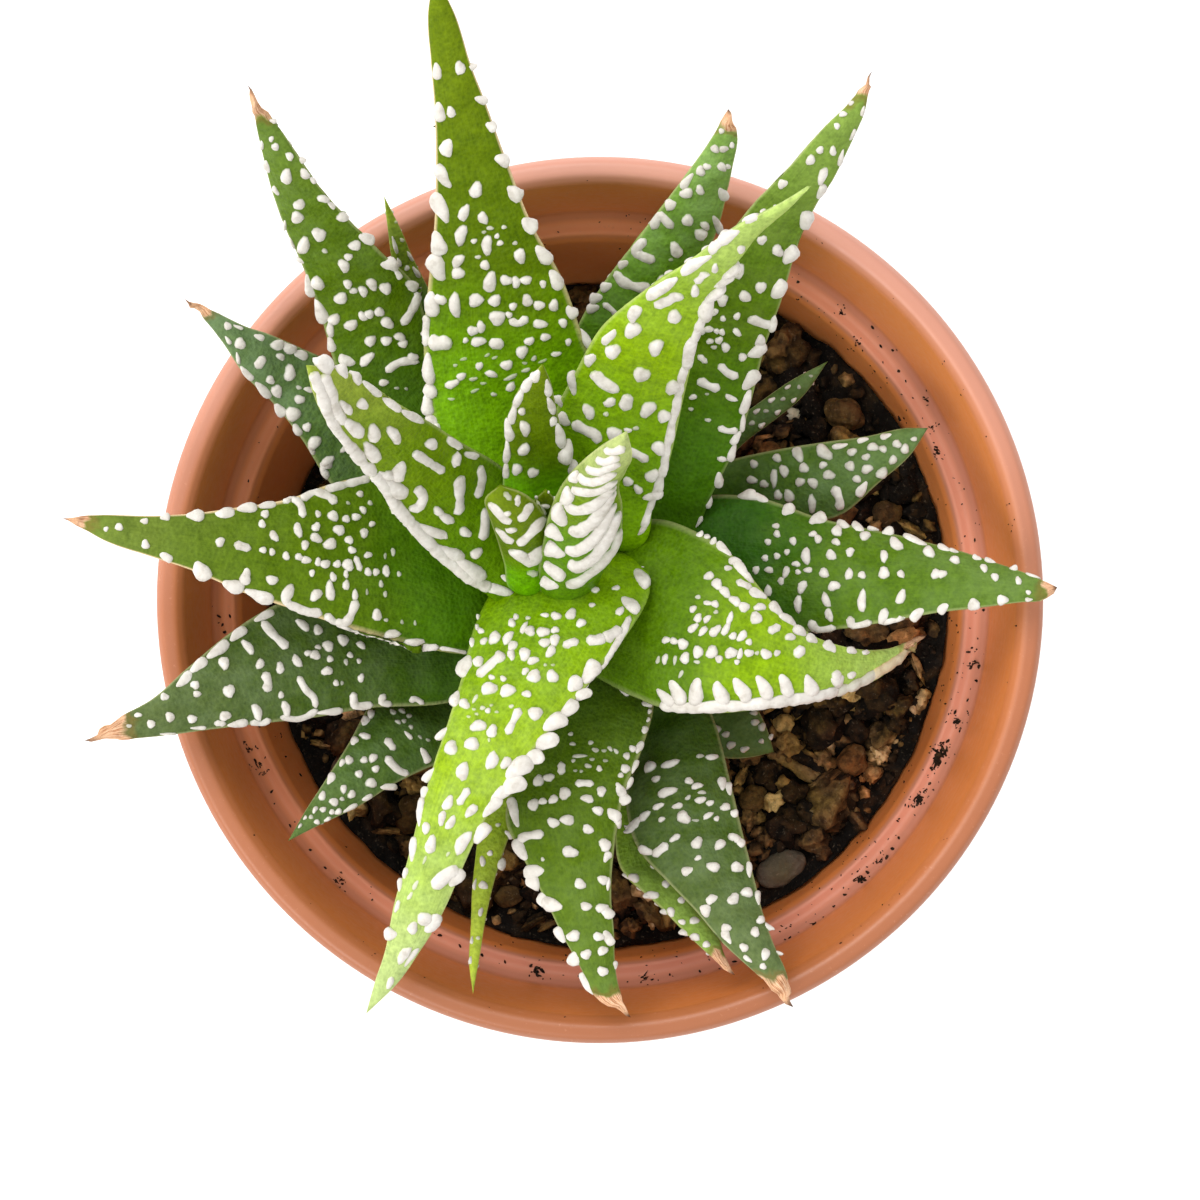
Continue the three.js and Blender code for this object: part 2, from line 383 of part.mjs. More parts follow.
function makeSoil() {
  const n = SOIL_SEGMENTS;
  const ringAt = (f) => {
    const ring = [];
    for (let k = 0; k < n; k++) {
      const a = (k / n) * Math.PI * 2;
      let z = POT_HEIGHT - edgeDepth((a * 180) / Math.PI);
      let r = (potInner(z) - GAP - 0.1) * f;
      const x = r * Math.cos(a), y = r * Math.sin(a);
      z = f === 1 ? z : soilTop(x, y);
      ring.push(V(x, y, z));
    }
    return ring;
  };
  const flat = (z, trim) => {
    const ring = [];
    for (let k = 0; k < n; k++) {
      const a = (k / n) * Math.PI * 2;
      const r = potInner(z) - GAP - 0.1 - trim;
      ring.push(V(r * Math.cos(a), r * Math.sin(a), z));
    }
    return ring;
  };
  const rings = [flat(FLOOR_Z + GAP, 1.7), flat(FLOOR_Z + 2.2, 0), ringAt(1), ringAt(0.8), ringAt(0.52), ringAt(0.24)];
  return toSolid(skin(rings, V(0, 0, FLOOR_Z + GAP), V(0, 0, soilTop(0, 0))));
}

// ---------------------------------------------------------------- stem and roots
function stemGeometry(grow = 0) {
  const rings = STEM_PROFILE.map(([z, r], i) => {
    const ring = [];
    for (let k = 0; k < 12; k++) {
      const a = (k / 12) * Math.PI * 2;
      ring.push(V(STEM_X + (r + grow) * Math.cos(a), STEM_Y + (r + grow) * Math.sin(a), z));
    }
    return ring;
  });
  const top = STEM_PROFILE.at(-1)[0] + 0.5 + grow;
  return skin(rings, V(STEM_X, STEM_Y, STEM_PROFILE[0][0] - 0.4 - grow), V(STEM_X, STEM_Y, top));
}

function rootGeometry(root, grow = 0) {
  const a = (root.heading * Math.PI) / 180;
  const path = new THREE.CatmullRomCurve3([
    V(STEM_X + 1.2 * Math.cos(a), STEM_Y + 1.2 * Math.sin(a), 51),
    V(STEM_X + 6 * Math.cos(a), STEM_Y + 6 * Math.sin(a), 47.5),
    V(STEM_X + root.reach * 0.55 * Math.cos(a + 0.12), STEM_Y + root.reach * 0.55 * Math.sin(a + 0.12), 36),
    V(STEM_X + root.reach * 0.8 * Math.cos(a - 0.08), STEM_Y + root.reach * 0.8 * Math.sin(a - 0.08), 0.5 * (36 + root.tip)),
    V(STEM_X + root.reach * 0.86 * Math.cos(a), STEM_Y + root.reach * 0.86 * Math.sin(a), root.tip),
  ]);
  const steps = 8;
  const rings = [];
  for (let i = 0; i <= steps; i++) {
    const t = i / steps;
    const c = path.getPointAt(t);
    const ahead = path.getTangentAt(t);
    const side = V(0, 0, 1).cross(ahead).normalize();
    const up = ahead.clone().cross(side).normalize();
    const r = root.r * (1 - 0.62 * t) + grow;
    const ring = [];
    for (let k = 0; k < 6; k++) {
      const b = (k / 6) * Math.PI * 2;
      ring.push(c.clone().addScaledVector(side, r * Math.cos(b)).addScaledVector(up, r * Math.sin(b)));
    }
    rings.push(ring);
  }
  const end = path.getPointAt(1).addScaledVector(path.getTangentAt(1), root.r * 0.6 + grow);
  const start = path.getPointAt(0).addScaledVector(path.getTangentAt(0), -grow);
  return skin(rings, start, end);
}

// ---------------------------------------------------------------- stones and bark on the soil
function rand(seed) {
  let s = seed * 9301 + 49297;
  return () => {
    s = (s * 1103515245 + 12345) % 2147483648;
    return s / 2147483648;
  };
}

function litterGeometry(piece) {
  const next = rand(piece.seed);
  let g = new THREE.IcosahedronGeometry(1, 1);
  g.deleteAttribute('normal');
  g.deleteAttribute('uv');
  g = BufferGeometryUtils.mergeVertices(g, 1e-3);
  const p = g.attributes.position;
  const rough = piece.kind === 'pebble' ? 0.08 : 0.22;
  const turn = (piece.turn * Math.PI) / 180;
  let reach = 0;
  for (let i = 0; i < p.count; i++) {
    const k = 1 - rough * next();
    const x = p.getX(i) * piece.half[0] * k;
    const y = p.getY(i) * piece.half[1] * k;
    const z = p.getZ(i) * piece.half[2] * k;
    const X = x * Math.cos(turn) - y * Math.sin(turn) + piece.at[0];
    const Y = x * Math.sin(turn) + y * Math.cos(turn) + piece.at[1];
    p.setXYZ(i, X, Y, z);
    reach = Math.max(reach, Math.hypot(X, Y));
  }
  // keep it off the pot's wall, then lay it on the soil
  const excess = Math.max(0, reach - (potInner(soilTop(...piece.at)) - 0.7));
  const r = Math.hypot(...piece.at);
  g.translate((-excess * piece.at[0]) / r, (-excess * piece.at[1]) / r, 0);
  let lift = -Infinity;
  for (let i = 0; i < p.count; i++) lift = Math.max(lift, soilTop(p.getX(i), p.getY(i)) - p.getZ(i));
  g.translate(0, 0, lift + 0.55);
  return g;
}

// ---------------------------------------------------------------- assembly
function namedMesh(name, solid, material) {
  const g = toGeometry(solid);
  g.computeBoundingBox();
  const c = g.boundingBox.getCenter(new THREE.Vector3());
  for (const k of ['x', 'y', 'z']) c[k] = Math.round(c[k]);
  g.translate(-c.x, -c.y, -c.z);
  const mesh = new THREE.Mesh(g, material);
  mesh.name = name;
  mesh.position.copy(c);
  return mesh;
}

const plantPot = new THREE.Group();
const plant = new THREE.Group();
const mix = new THREE.Group();

plantPot.add(namedMesh('pot', makePot(), finish(196, 116, 74, 0.42)));

const stem = toSolid(stemGeometry());
const stemKeepOut = toSolid(stemGeometry(GAP));
plant.add(namedMesh('stem', stem, finish(120, 128, 62, 0.7)));

let soil = makeSoil();
soil = soil.subtract(stemKeepOut);
const placedRoots = [];
ROOTS.forEach((root, i) => {
  let body = toSolid(rootGeometry(root)).subtract(stemKeepOut);
  for (const other of placedRoots) body = body.subtract(other);
  body = largestBody(body);
  const keepOut = toSolid(rootGeometry(root, GAP));
  placedRoots.push(keepOut);
  soil = soil.subtract(keepOut);
  plant.add(namedMesh(`root_${i + 1}`, body, finish(214, 190, 146, 0.8)));
});

const placedLeaves = [];
for (const [name, leaf] of Object.entries(LEAVES)) {
  let body = toSolid(leafGeometry(leaf)).subtract(stemKeepOut);
  for (const other of placedLeaves) body = body.subtract(other);
  body = largestBody(body);
  const keepOut = toSolid(leafGeometry(leaf, GAP));
  placedLeaves.push(keepOut);
  plant.add(namedMesh(name, body, LEAF_TONE[TONE[name] ?? 'dark']()));
}

mix.add(namedMesh('soil', largestBody(soil), finish(44, 34, 26, 0.95)));
const LITTER_FINISH = {
  pebble: () => finish(120, 108, 98, 0.7),
  bark: () => finish(104, 76, 50, 0.85),
  lump: () => finish(98, 78, 54, 0.9),
};
for (const [name, piece] of Object.entries(LITTER)) {
  mix.add(namedMesh(name, toSolid(litterGeometry(piece)), LITTER_FINISH[piece.kind]()));
}

const haworthia = new THREE.Group();
haworthia.add(plantPot, plant, mix);
export default haworthia;
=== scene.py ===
"""Potted haworthia, seen from straight above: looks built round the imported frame. Metres, +Z up."""
import math
import random

import bmesh
import bpy
import numpy as np
from mathutils import Matrix, Vector, noise
from mathutils.bvhtree import BVHTree


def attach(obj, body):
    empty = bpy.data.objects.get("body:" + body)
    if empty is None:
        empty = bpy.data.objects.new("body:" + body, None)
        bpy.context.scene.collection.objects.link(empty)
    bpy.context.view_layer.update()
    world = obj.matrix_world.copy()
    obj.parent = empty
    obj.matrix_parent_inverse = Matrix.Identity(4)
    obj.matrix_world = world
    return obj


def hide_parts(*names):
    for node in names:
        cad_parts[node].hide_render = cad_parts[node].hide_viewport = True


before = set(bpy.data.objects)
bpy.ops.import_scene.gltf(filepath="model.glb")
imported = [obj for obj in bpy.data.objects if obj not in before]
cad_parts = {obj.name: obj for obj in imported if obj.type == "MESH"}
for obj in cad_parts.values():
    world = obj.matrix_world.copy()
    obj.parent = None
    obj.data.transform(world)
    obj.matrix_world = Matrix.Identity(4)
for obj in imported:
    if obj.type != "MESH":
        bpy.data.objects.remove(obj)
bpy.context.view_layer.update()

MM = 0.001                  # everything below is worked out in millimetres and scaled once

# ---------------------------------------------------------------- camera: straight above the pot's axis
VIEW_Z = 380.0              # height of the eye above the standing plane
VIEW_F = 2967.0             # focal length in pixels of a 1200 px frame


def sight(px, py, z):
    """The point at height z seen at a pixel of the 1200 px frame."""
    s = (VIEW_Z - z) / VIEW_F
    return np.array([(px - 600.0) * s, (600.0 - py) * s, z])


def seen(p):
    s = VIEW_F / (VIEW_Z - p[2])
    return 600.0 + p[0] * s, 600.0 - p[1] * s


cam_data = bpy.data.cameras.new("camera")
cam_data.sensor_width = 36.0
cam_data.sensor_fit = "HORIZONTAL"
cam_data.lens = 36.0 * VIEW_F / 1200.0
cam_data.clip_start = 0.01
cam_data.clip_end = 10.0
cam = bpy.data.objects.new("camera", cam_data)
cam.location = (0.0, 0.0, VIEW_Z * MM)
bpy.context.scene.collection.objects.link(cam)
bpy.context.scene.camera = cam

# ---------------------------------------------------------------- small tools


def smooth(t):
    t = np.clip(t, 0.0, 1.0)
    return t * t * (3 - 2 * t)


def make_object(name, verts, faces, materials, attrs=None, mat_index=None, shade=True):
    """One mesh object from millimetre vertices."""
    mesh = bpy.data.meshes.new(name)
    mesh.from_pydata((np.asarray(verts, float) * MM).tolist(), [], faces)
    for m in materials:
        mesh.materials.append(m)
    if mat_index is not None:
        mesh.polygons.foreach_set("material_index", np.asarray(mat_index, np.int32))
    if shade:
        mesh.polygons.foreach_set("use_smooth", np.ones(len(mesh.polygons), bool))
    for key, values in (attrs or {}).items():
        a = mesh.attributes.new(key, "FLOAT", "POINT")
        a.data.foreach_set("value", np.asarray(values, np.float32))
    mesh.update()
    o = bpy.data.objects.new(name, mesh)
    bpy.context.scene.collection.objects.link(o)
    return o


class Build:
    """Collects closed shells with per-vertex values into one mesh."""

    def __init__(self, keys):
        self.v, self.f, self.m = [], [], []
        self.a = {k: [] for k in keys}

    def add(self, verts, faces, mat=0, **values):
        base = len(self.v)
        verts = [tuple(map(float, p)) for p in verts]
        self.v.extend(verts)
        self.f.extend([tuple(base + i for i in f) for f in faces])
        self.m.extend([mat] * len(faces))
        for k, store in self.a.items():
            val = values.get(k, 0.0)
            if np.ndim(val) == 0:
                store.extend([float(val)] * len(verts))
            else:
                store.extend([float(x) for x in val])

    def tris(self):
        return sum(len(f) - 2 for f in self.f)

    def object(self, name, materials):
        return make_object(name, self.v, self.f, materials, self.a, self.m)


def spline(points, n_per, closed_tip=False):
    """Non-uniform Catmull-Rom through rows of points. Returns the dense rows and their parameter 0..1."""
    P = np.asarray(points, float)
    d = np.linalg.norm(np.diff(P[:, :3] if P.shape[1] <= 3 else 0.5 * (P[:, :3] + P[:, 3:6]), axis=0), axis=1)
    t = np.concatenate([[0], np.cumsum(np.maximum(d, 1e-6))])
    T = np.zeros_like(P)
    for i in range(len(P)):
        if i == 0:
            T[i] = (P[1] - P[0]) / (t[1] - t[0])
        elif i == len(P) - 1:
            T[i] = (P[-1] - P[-2]) / (t[-1] - t[-2])
        else:
            a, b = t[i] - t[i - 1], t[i + 1] - t[i]
            T[i] = (b * (P[i] - P[i - 1]) / a + a * (P[i + 1] - P[i]) / b) / (a + b)
    n = max(2, int(round(t[-1] / n_per)))
    q = np.linspace(0, t[-1], n + 1)
    out = np.zeros((len(q), P.shape[1]))
    for k, s in enumerate(q):
        i = min(max(int(np.searchsorted(t, s, side="right")) - 1, 0), len(P) - 2)
        h = t[i + 1] - t[i]
        u = (s - t[i]) / h
        out[k] = ((2 * u**3 - 3 * u**2 + 1) * P[i] + (u**3 - 2 * u**2 + u) * h * T[i]
                  + (-2 * u**3 + 3 * u**2) * P[i + 1] + (u**3 - u**2) * h * T[i + 1])
    return out, q / t[-1], t / t[-1]


def unit(v):
    n = np.linalg.norm(v)
    return v / n if n > 1e-12 else v


# ---------------------------------------------------------------- material kit
def new_material(name):
    m = bpy.data.materials.new(name)
    m.use_nodes = True
    nt = m.node_tree
    nt.nodes.clear()
    out = nt.nodes.new("ShaderNodeOutputMaterial")
    bsdf = nt.nodes.new("ShaderNodeBsdfPrincipled")
    nt.links.new(bsdf.outputs["BSDF"], out.inputs["Surface"])
    return m, nt, bsdf


class Nodes:
    def __init__(self, nt):
        self.nt = nt

    def link(self, a, b):
        self.nt.links.new(a, b)

    def coords(self):
        n = self.nt.nodes.new("ShaderNodeTexCoord")
        return n.outputs["Object"]

    def attr(self, name):
        n = self.nt.nodes.new("ShaderNodeAttribute")
        n.attribute_name = name
        return n.outputs["Fac"]

    def noise(self, vec, scale, detail=3.0, rough=0.5, dist=0.0):
        n = self.nt.nodes.new("ShaderNodeTexNoise")
        self.link(vec, n.inputs["Vector"])
        n.inputs["Scale"].default_value = scale
        n.inputs["Detail"].default_value = detail
        n.inputs["Roughness"].default_value = rough
        n.inputs["Distortion"].default_value = dist
        return n.outputs["Fac"]

    def voronoi(self, vec, scale, feature="F1", rand=1.0):
        n = self.nt.nodes.new("ShaderNodeTexVoronoi")
        n.feature = feature
        self.link(vec, n.inputs["Vector"])
        n.inputs["Scale"].default_value = scale
        n.inputs["Randomness"].default_value = rand
        return n.outputs["Distance"]

    def math(self, op, a, b=None, clamp=False):
        n = self.nt.nodes.new("ShaderNodeMath")
        n.operation = op
        n.use_clamp = clamp
        for i, v in enumerate((a, b)):
            if v is None:
                continue
            if isinstance(v, (int, float)):
                n.inputs[i].default_value = v
            else:
                self.link(v, n.inputs[i])
        return n.outputs[0]

    def ramp(self, fac, stops, interp="EASE"):
        n = self.nt.nodes.new("ShaderNodeValToRGB")
        n.color_ramp.interpolation = interp
        els = n.color_ramp.elements
        while len(els) > 1:
            els.remove(els[-1])
        for i, (p, c) in enumerate(stops):
            e = els[0] if i == 0 else els.new(p)
            e.position = p
            c = (c, c, c) if isinstance(c, (int, float)) else c
            e.color = (*c, 1.0)
        self.link(fac, n.inputs["Fac"])
        return n.outputs["Color"]

    def span(self, fac, lo, hi, a=0.0, b=1.0):
        n = self.nt.nodes.new("ShaderNodeMapRange")
        n.clamp = True
        self.link(fac, n.inputs["Value"])
        n.inputs["From Min"].default_value = lo
        n.inputs["From Max"].default_value = hi
        n.inputs["To Min"].default_value = a
        n.inputs["To Max"].default_value = b
        return n.outputs["Result"]

    def mix(self, fac, a, b, blend="MIX"):
        n = self.nt.nodes.new("ShaderNodeMix")
        n.data_type = "RGBA"
        n.blend_type = blend
        if isinstance(fac, (int, float)):
            n.inputs[0].default_value = fac
        else:
            self.link(fac, n.inputs[0])
        for sock, v in ((n.inputs[6], a), (n.inputs[7], b)):
            if isinstance(v, tuple):
                sock.default_value = (*v, 1.0)
            else:
                self.link(v, sock)
        return n.outputs[2]

    def scaled(self, vec, s):
        n = self.nt.nodes.new("ShaderNodeMapping")
        self.link(vec, n.inputs["Vector"])
        n.inputs["Scale"].default_value = s
        return n.outputs["Vector"]

    def combine(self, x, y, z):
        n = self.nt.nodes.new("ShaderNodeCombineXYZ")
        for s, v in zip(n.inputs, (x, y, z)):
            if isinstance(v, (int, float)):
                s.default_value = v
            else:
                self.link(v, s)
        return n.outputs[0]

    def split(self, vec):
        n = self.nt.nodes.new("ShaderNodeSeparateXYZ")
        self.link(vec, n.inputs[0])
        return n.outputs

    def bump(self, height, strength, distance, under=None):
        n = self.nt.nodes.new("ShaderNodeBump")
        n.inputs["Strength"].default_value = strength
        n.inputs["Distance"].default_value = distance
        self.link(height, n.inputs["Height"])
        if under is not None:
            self.link(under, n.inputs["Normal"])
        return n.outputs["Normal"]


def srgb(r, g, b):
    def f(c):
        c /= 255.0
        return c / 12.92 if c <= 0.04045 else ((c + 0.055) / 1.055) ** 2.4
    return (f(r), f(g), f(b))


# ---------------------------------------------------------------- leaf material
def leaf_material(name, base, mid, far, bloom, bloom_amount, start=0.28, margin=srgb(205, 205, 150), line=0.28):
    """Green by the distance along the leaf, cell grain, a bloom of wax, white tubercles, dried tips."""
    glow_far = (min(1.0, far[0] * 1.25 + 0.02), min(1.0, far[1] * 1.25 + 0.03), far[2] * 1.1)
    glow_low = (min(1.0, mid[0] * 1.6 + 0.02), min(1.0, mid[1] * 1.6 + 0.03), mid[2] * 0.5)
    glow_base = (min(1.0, base[0] * 1.6 + 0.02), min(1.0, base[1] * 1.6 + 0.03), base[2] * 0.5)
    m, nt, bsdf = new_material(name)
    k = Nodes(nt)
    co = k.coords()
    along, wart, dry, rimv = k.attr("along"), k.attr("wart"), k.attr("dry"), k.attr("rim")
    across, back = k.attr("across"), k.attr("back")
    # the green: slow patches, lengthwise veins, fine cells
    patch = k.noise(co, 160, 3, 0.6)
    shifted = k.math("ADD", along, k.math("MULTIPLY", k.math("SUBTRACT", patch, 0.5), 0.22))
    green = k.ramp(shifted, [(0.0, base), (start, base), (0.5 * start + 0.41, mid), (1.0, far)])
    glow = k.ramp(shifted, [(0.0, glow_base), (start, glow_base), (0.5 * start + 0.41, glow_low), (0.92, glow_far)])
    vein_co = k.combine(k.math("MULTIPLY", across, 7.0), k.math("MULTIPLY", along, 2.2), back)
    vein = k.noise(vein_co, 2.4, 3, 0.6, 0.3)
    green = k.mix(k.span(vein, 0.38, 0.70, 0.0, 0.42), green, k.mix(0.62, green, (0.018, 0.055, 0.0)), "MIX")
    streaks = k.noise(k.combine(k.math("MULTIPLY", across, 24.0), k.math("MULTIPLY", along, 5.0), back), 2.0, 3, 0.65, 0.2)
    green = k.mix(k.span(streaks, 0.42, 0.66, 0.0, 0.30), green, k.mix(0.6, green, glow))
    cloud = k.noise(co, 480, 4, 0.65, 0.4)
    green = k.mix(k.span(cloud, 0.42, 0.64, 0.0, 0.46), green, k.mix(0.55, green, (0.012, 0.045, 0.0)))
    cells = k.voronoi(co, 2400)
    green = k.mix(k.span(cells, 0.15, 0.75, 0.0, 0.46), green, k.mix(0.60, green, glow))
    fine = k.noise(co, 1500, 3, 0.65)
    green = k.mix(k.span(fine, 0.38, 0.66, 0.0, 0.42), green, k.mix(0.58, green, (0.01, 0.035, 0.0)))
    waxed = k.math("MULTIPLY", k.span(k.noise(co, 330, 4, 0.62), 0.38, 0.72, 0.0, bloom_amount), k.span(shifted, 0.25, 0.7, 0.2, 1.0))
    green = k.mix(waxed, green, bloom)
    # a thin pale horny line on the margin
    outer = k.span(shifted, 0.35, 0.60, 0.28, line)
    green = k.mix(k.math("MULTIPLY", rimv, outer), green, margin)
    # dried tip: pale straw with brown streaks, a dark band where it meets the green, darkest at the point
    streak = k.noise(k.combine(k.math("MULTIPLY", across, 9.0), k.math("MULTIPLY", along, 14.0), 0.0), 1.6, 4, 0.6)
    straw = k.ramp(streak, [(0.28, srgb(244, 218, 192)), (0.48, srgb(220, 174, 136)), (0.60, srgb(164, 108, 72)), (0.76, srgb(92, 58, 40))])
    straw = k.mix(k.span(k.noise(co, 800, 4, 0.7), 0.48, 0.66, 0.0, 0.45), straw, srgb(116, 78, 54))
    straw = k.mix(k.span(dry, 1.42, 1.9, 0.0, 0.90), straw, srgb(66, 42, 30))
    edge_band = k.math("MULTIPLY", k.span(dry, 0.12, 0.45), k.span(dry, 0.5, 0.85, 1.0, 0.0))
    green = k.mix(k.math("MULTIPLY", edge_band, 0.55), green, srgb(122, 98, 48))
    green = k.mix(k.span(dry, 0.62, 0.9), green, straw)
    # tubercles: chalk white with a little grey-cream mottling
    chalk = k.ramp(k.noise(co, 900, 3, 0.6), [(0.3, srgb(190, 184, 174)), (0.5, srgb(208, 203, 195)), (0.72, srgb(222, 218, 211))])
    color = k.mix(k.span(wart, 0.2, 0.85), green, chalk)
    k.link(color, bsdf.inputs["Base Color"])
    rough = k.math("ADD", k.span(k.noise(co, 700, 3, 0.6), 0.3, 0.7, 0.36, 0.50), k.math("MULTIPLY", dry, 0.12), True)
    k.link(rough, bsdf.inputs["Roughness"])
    grain = k.math("ADD", k.math("MULTIPLY", cells, 0.6), k.math("MULTIPLY", fine, 0.5))
    grain = k.math("MULTIPLY", grain, k.span(wart, 0.1, 0.6, 1.0, 0.25))
    n1 = k.bump(grain, 0.70, 0.00016)
    n2 = k.bump(k.noise(co, 380, 3, 0.55), 0.5, 0.0006, n1)
    n3 = k.bump(streaks, 0.3, 0.0002, n2)
    k.link(n3, bsdf.inputs["Normal"])
    bsdf.inputs["Specular IOR Level"].default_value = 0.08
    return m


LEAF_MATERIALS = {
    "leaf_bright": leaf_material("leaf_bright", (0.145, 0.300, 0.0), (0.245, 0.400, 0.004), (0.46, 0.60, 0.17),
                                 (0.46, 0.66, 0.14), 0.14),
    "leaf_fresh": leaf_material("leaf_fresh", (0.120, 0.345, 0.0), (0.100, 0.168, 0.0), (0.155, 0.225, 0.002),
                                (0.22, 0.33, 0.02), 0.10),
    "leaf_mid": leaf_material("leaf_mid", (0.042, 0.108, 0.003), (0.082, 0.150, 0.002), (0.125, 0.205, 0.022),
                              (0.22, 0.33, 0.10), 0.20),
    "leaf_dark": leaf_material("leaf_dark", (0.028, 0.090, 0.0), (0.052, 0.104, 0.014), (0.098, 0.158, 0.042),
                               (0.22, 0.33, 0.16), 0.26),
}
# shades of their own on top of the four finishes: leaf -> material
LEAF_SHADES = {
    "leaf_01": leaf_material("leaf_fresh_edged", (0.138, 0.322, 0.0), (0.088, 0.148, 0.0), (0.144, 0.208, 0.002),
                             (0.22, 0.33, 0.02), 0.10, 0.28, srgb(232, 204, 160), 0.75),
    "leaf_04": leaf_material("leaf_fresh_deep", (0.045, 0.130, 0.0), (0.085, 0.150, 0.002), (0.155, 0.215, 0.032),
                             (0.22, 0.33, 0.06), 0.16, 0.28, srgb(232, 204, 160), 0.85),
    "leaf_07": leaf_material("leaf_olive", (0.10, 0.22, 0.0), (0.135, 0.235, 0.0), (0.31, 0.39, 0.05),
                             (0.34, 0.42, 0.03), 0.14),
    "leaf_14": leaf_material("leaf_bloomed", (0.046, 0.155, 0.0), (0.110, 0.245, 0.012), (0.22, 0.37, 0.08),
                             (0.36, 0.54, 0.22), 0.30),
    # painted shade: leaf_18 and leaf_17 keep a dark base further along the leaf, where the leaves above shade it
    "leaf_18": leaf_material("leaf_bright_shaded_base", (0.076, 0.164, 0.0), (0.240, 0.398, 0.006), (0.48, 0.64, 0.19),
                             (0.46, 0.62, 0.16), 0.14, 0.40),
    "leaf_17": leaf_material("leaf_mid_shaded_base", (0.016, 0.080, 0.0), (0.074, 0.148, 0.004), (0.118, 0.200, 0.030),
                             (0.22, 0.33, 0.12), 0.22, 0.40),
    "leaf_11": leaf_material("leaf_pale_tip", (0.085, 0.205, 0.0), (0.130, 0.225, 0.0), (0.46, 0.53, 0.20),
                             (0.50, 0.60, 0.22), 0.12, 0.50),
    "leaf_19": leaf_material("leaf_bright_bloomed", (0.165, 0.312, 0.0), (0.268, 0.408, 0.014), (0.50, 0.61, 0.24),
                             (0.50, 0.68, 0.24), 0.24, 0.22),
    "leaf_20": leaf_material("leaf_mid_low", (0.058, 0.112, 0.008), (0.073, 0.130, 0.002), (0.104, 0.170, 0.016),
                             (0.22, 0.33, 0.10), 0.20),
    "leaf_21": leaf_material("leaf_dark_grey", (0.030, 0.088, 0.0), (0.052, 0.089, 0.016), (0.110, 0.148, 0.052),
                             (0.24, 0.32, 0.17), 0.26),
    "leaf_23": leaf_material("leaf_young", (0.11, 0.20, 0.02), (0.21, 0.32, 0.02), (0.47, 0.58, 0.055),
                             (0.40, 0.50, 0.12), 0.20),
}
LEAF_SHADES["leaf_13"] = leaf_material("leaf_fresh_tip", (0.045, 0.135, 0.0), (0.080, 0.155, 0.0), (0.225, 0.345, 0.060),
                                       (0.30, 0.40, 0.10), 0.18)
LEAF_SHADES["leaf_24"] = leaf_material("leaf_young_tip", (0.050, 0.125, 0.020), (0.085, 0.170, 0.030), (0.38, 0.50, 0.04),
                                       (0.30, 0.42, 0.14), 0.22, 0.52)
LEAF_SHADES["leaf_05"] = LEAF_SHADES["leaf_21"]
LEAF_SHADES["leaf_22"] = leaf_material("leaf_mid_young", (0.055, 0.160, 0.004), (0.150, 0.264, 0.023), (0.24, 0.36, 0.062),
                                       (0.26, 0.36, 0.12), 0.20)
LEAF_SHADES["leaf_03"] = leaf_material("leaf_dark_bloomed", (0.034, 0.104, 0.010), (0.095, 0.172, 0.050), (0.140, 0.215, 0.090),
                                       (0.26, 0.38, 0.22), 0.32)
LEAF_SLOT = {
    "leaf_01": "leaf_fresh", "leaf_02": "leaf_mid", "leaf_03": "leaf_dark", "leaf_04": "leaf_fresh",
    "leaf_05": "leaf_dark", "leaf_06": "leaf_dark", "leaf_07": "leaf_fresh", "leaf_08": "leaf_fresh",
    "leaf_09": "leaf_fresh", "leaf_10": "leaf_fresh", "leaf_11": "leaf_bright", "leaf_12": "leaf_bright",
    "leaf_13": "leaf_fresh", "leaf_14": "leaf_mid", "leaf_15": "leaf_dark", "leaf_16": "leaf_dark",
    "leaf_17": "leaf_mid", "leaf_18": "leaf_bright", "leaf_19": "leaf_bright", "leaf_20": "leaf_mid",
    "leaf_21": "leaf_dark", "leaf_22": "leaf_mid", "leaf_23": "leaf_dark", "leaf_24": "leaf_dark",
    "leaf_25": "leaf_dark",
}

# length in mm of each dried tip
DRIED = {"leaf_02": 4.4, "leaf_03": 3.4, "leaf_05": 4.8, "leaf_13": 3.4, "leaf_14": 2.6, "leaf_17": 1.8,
         "leaf_18": 4.4, "leaf_20": 4.0, "leaf_21": 3.9, "leaf_22": 3.4, "leaf_04": 2.6}

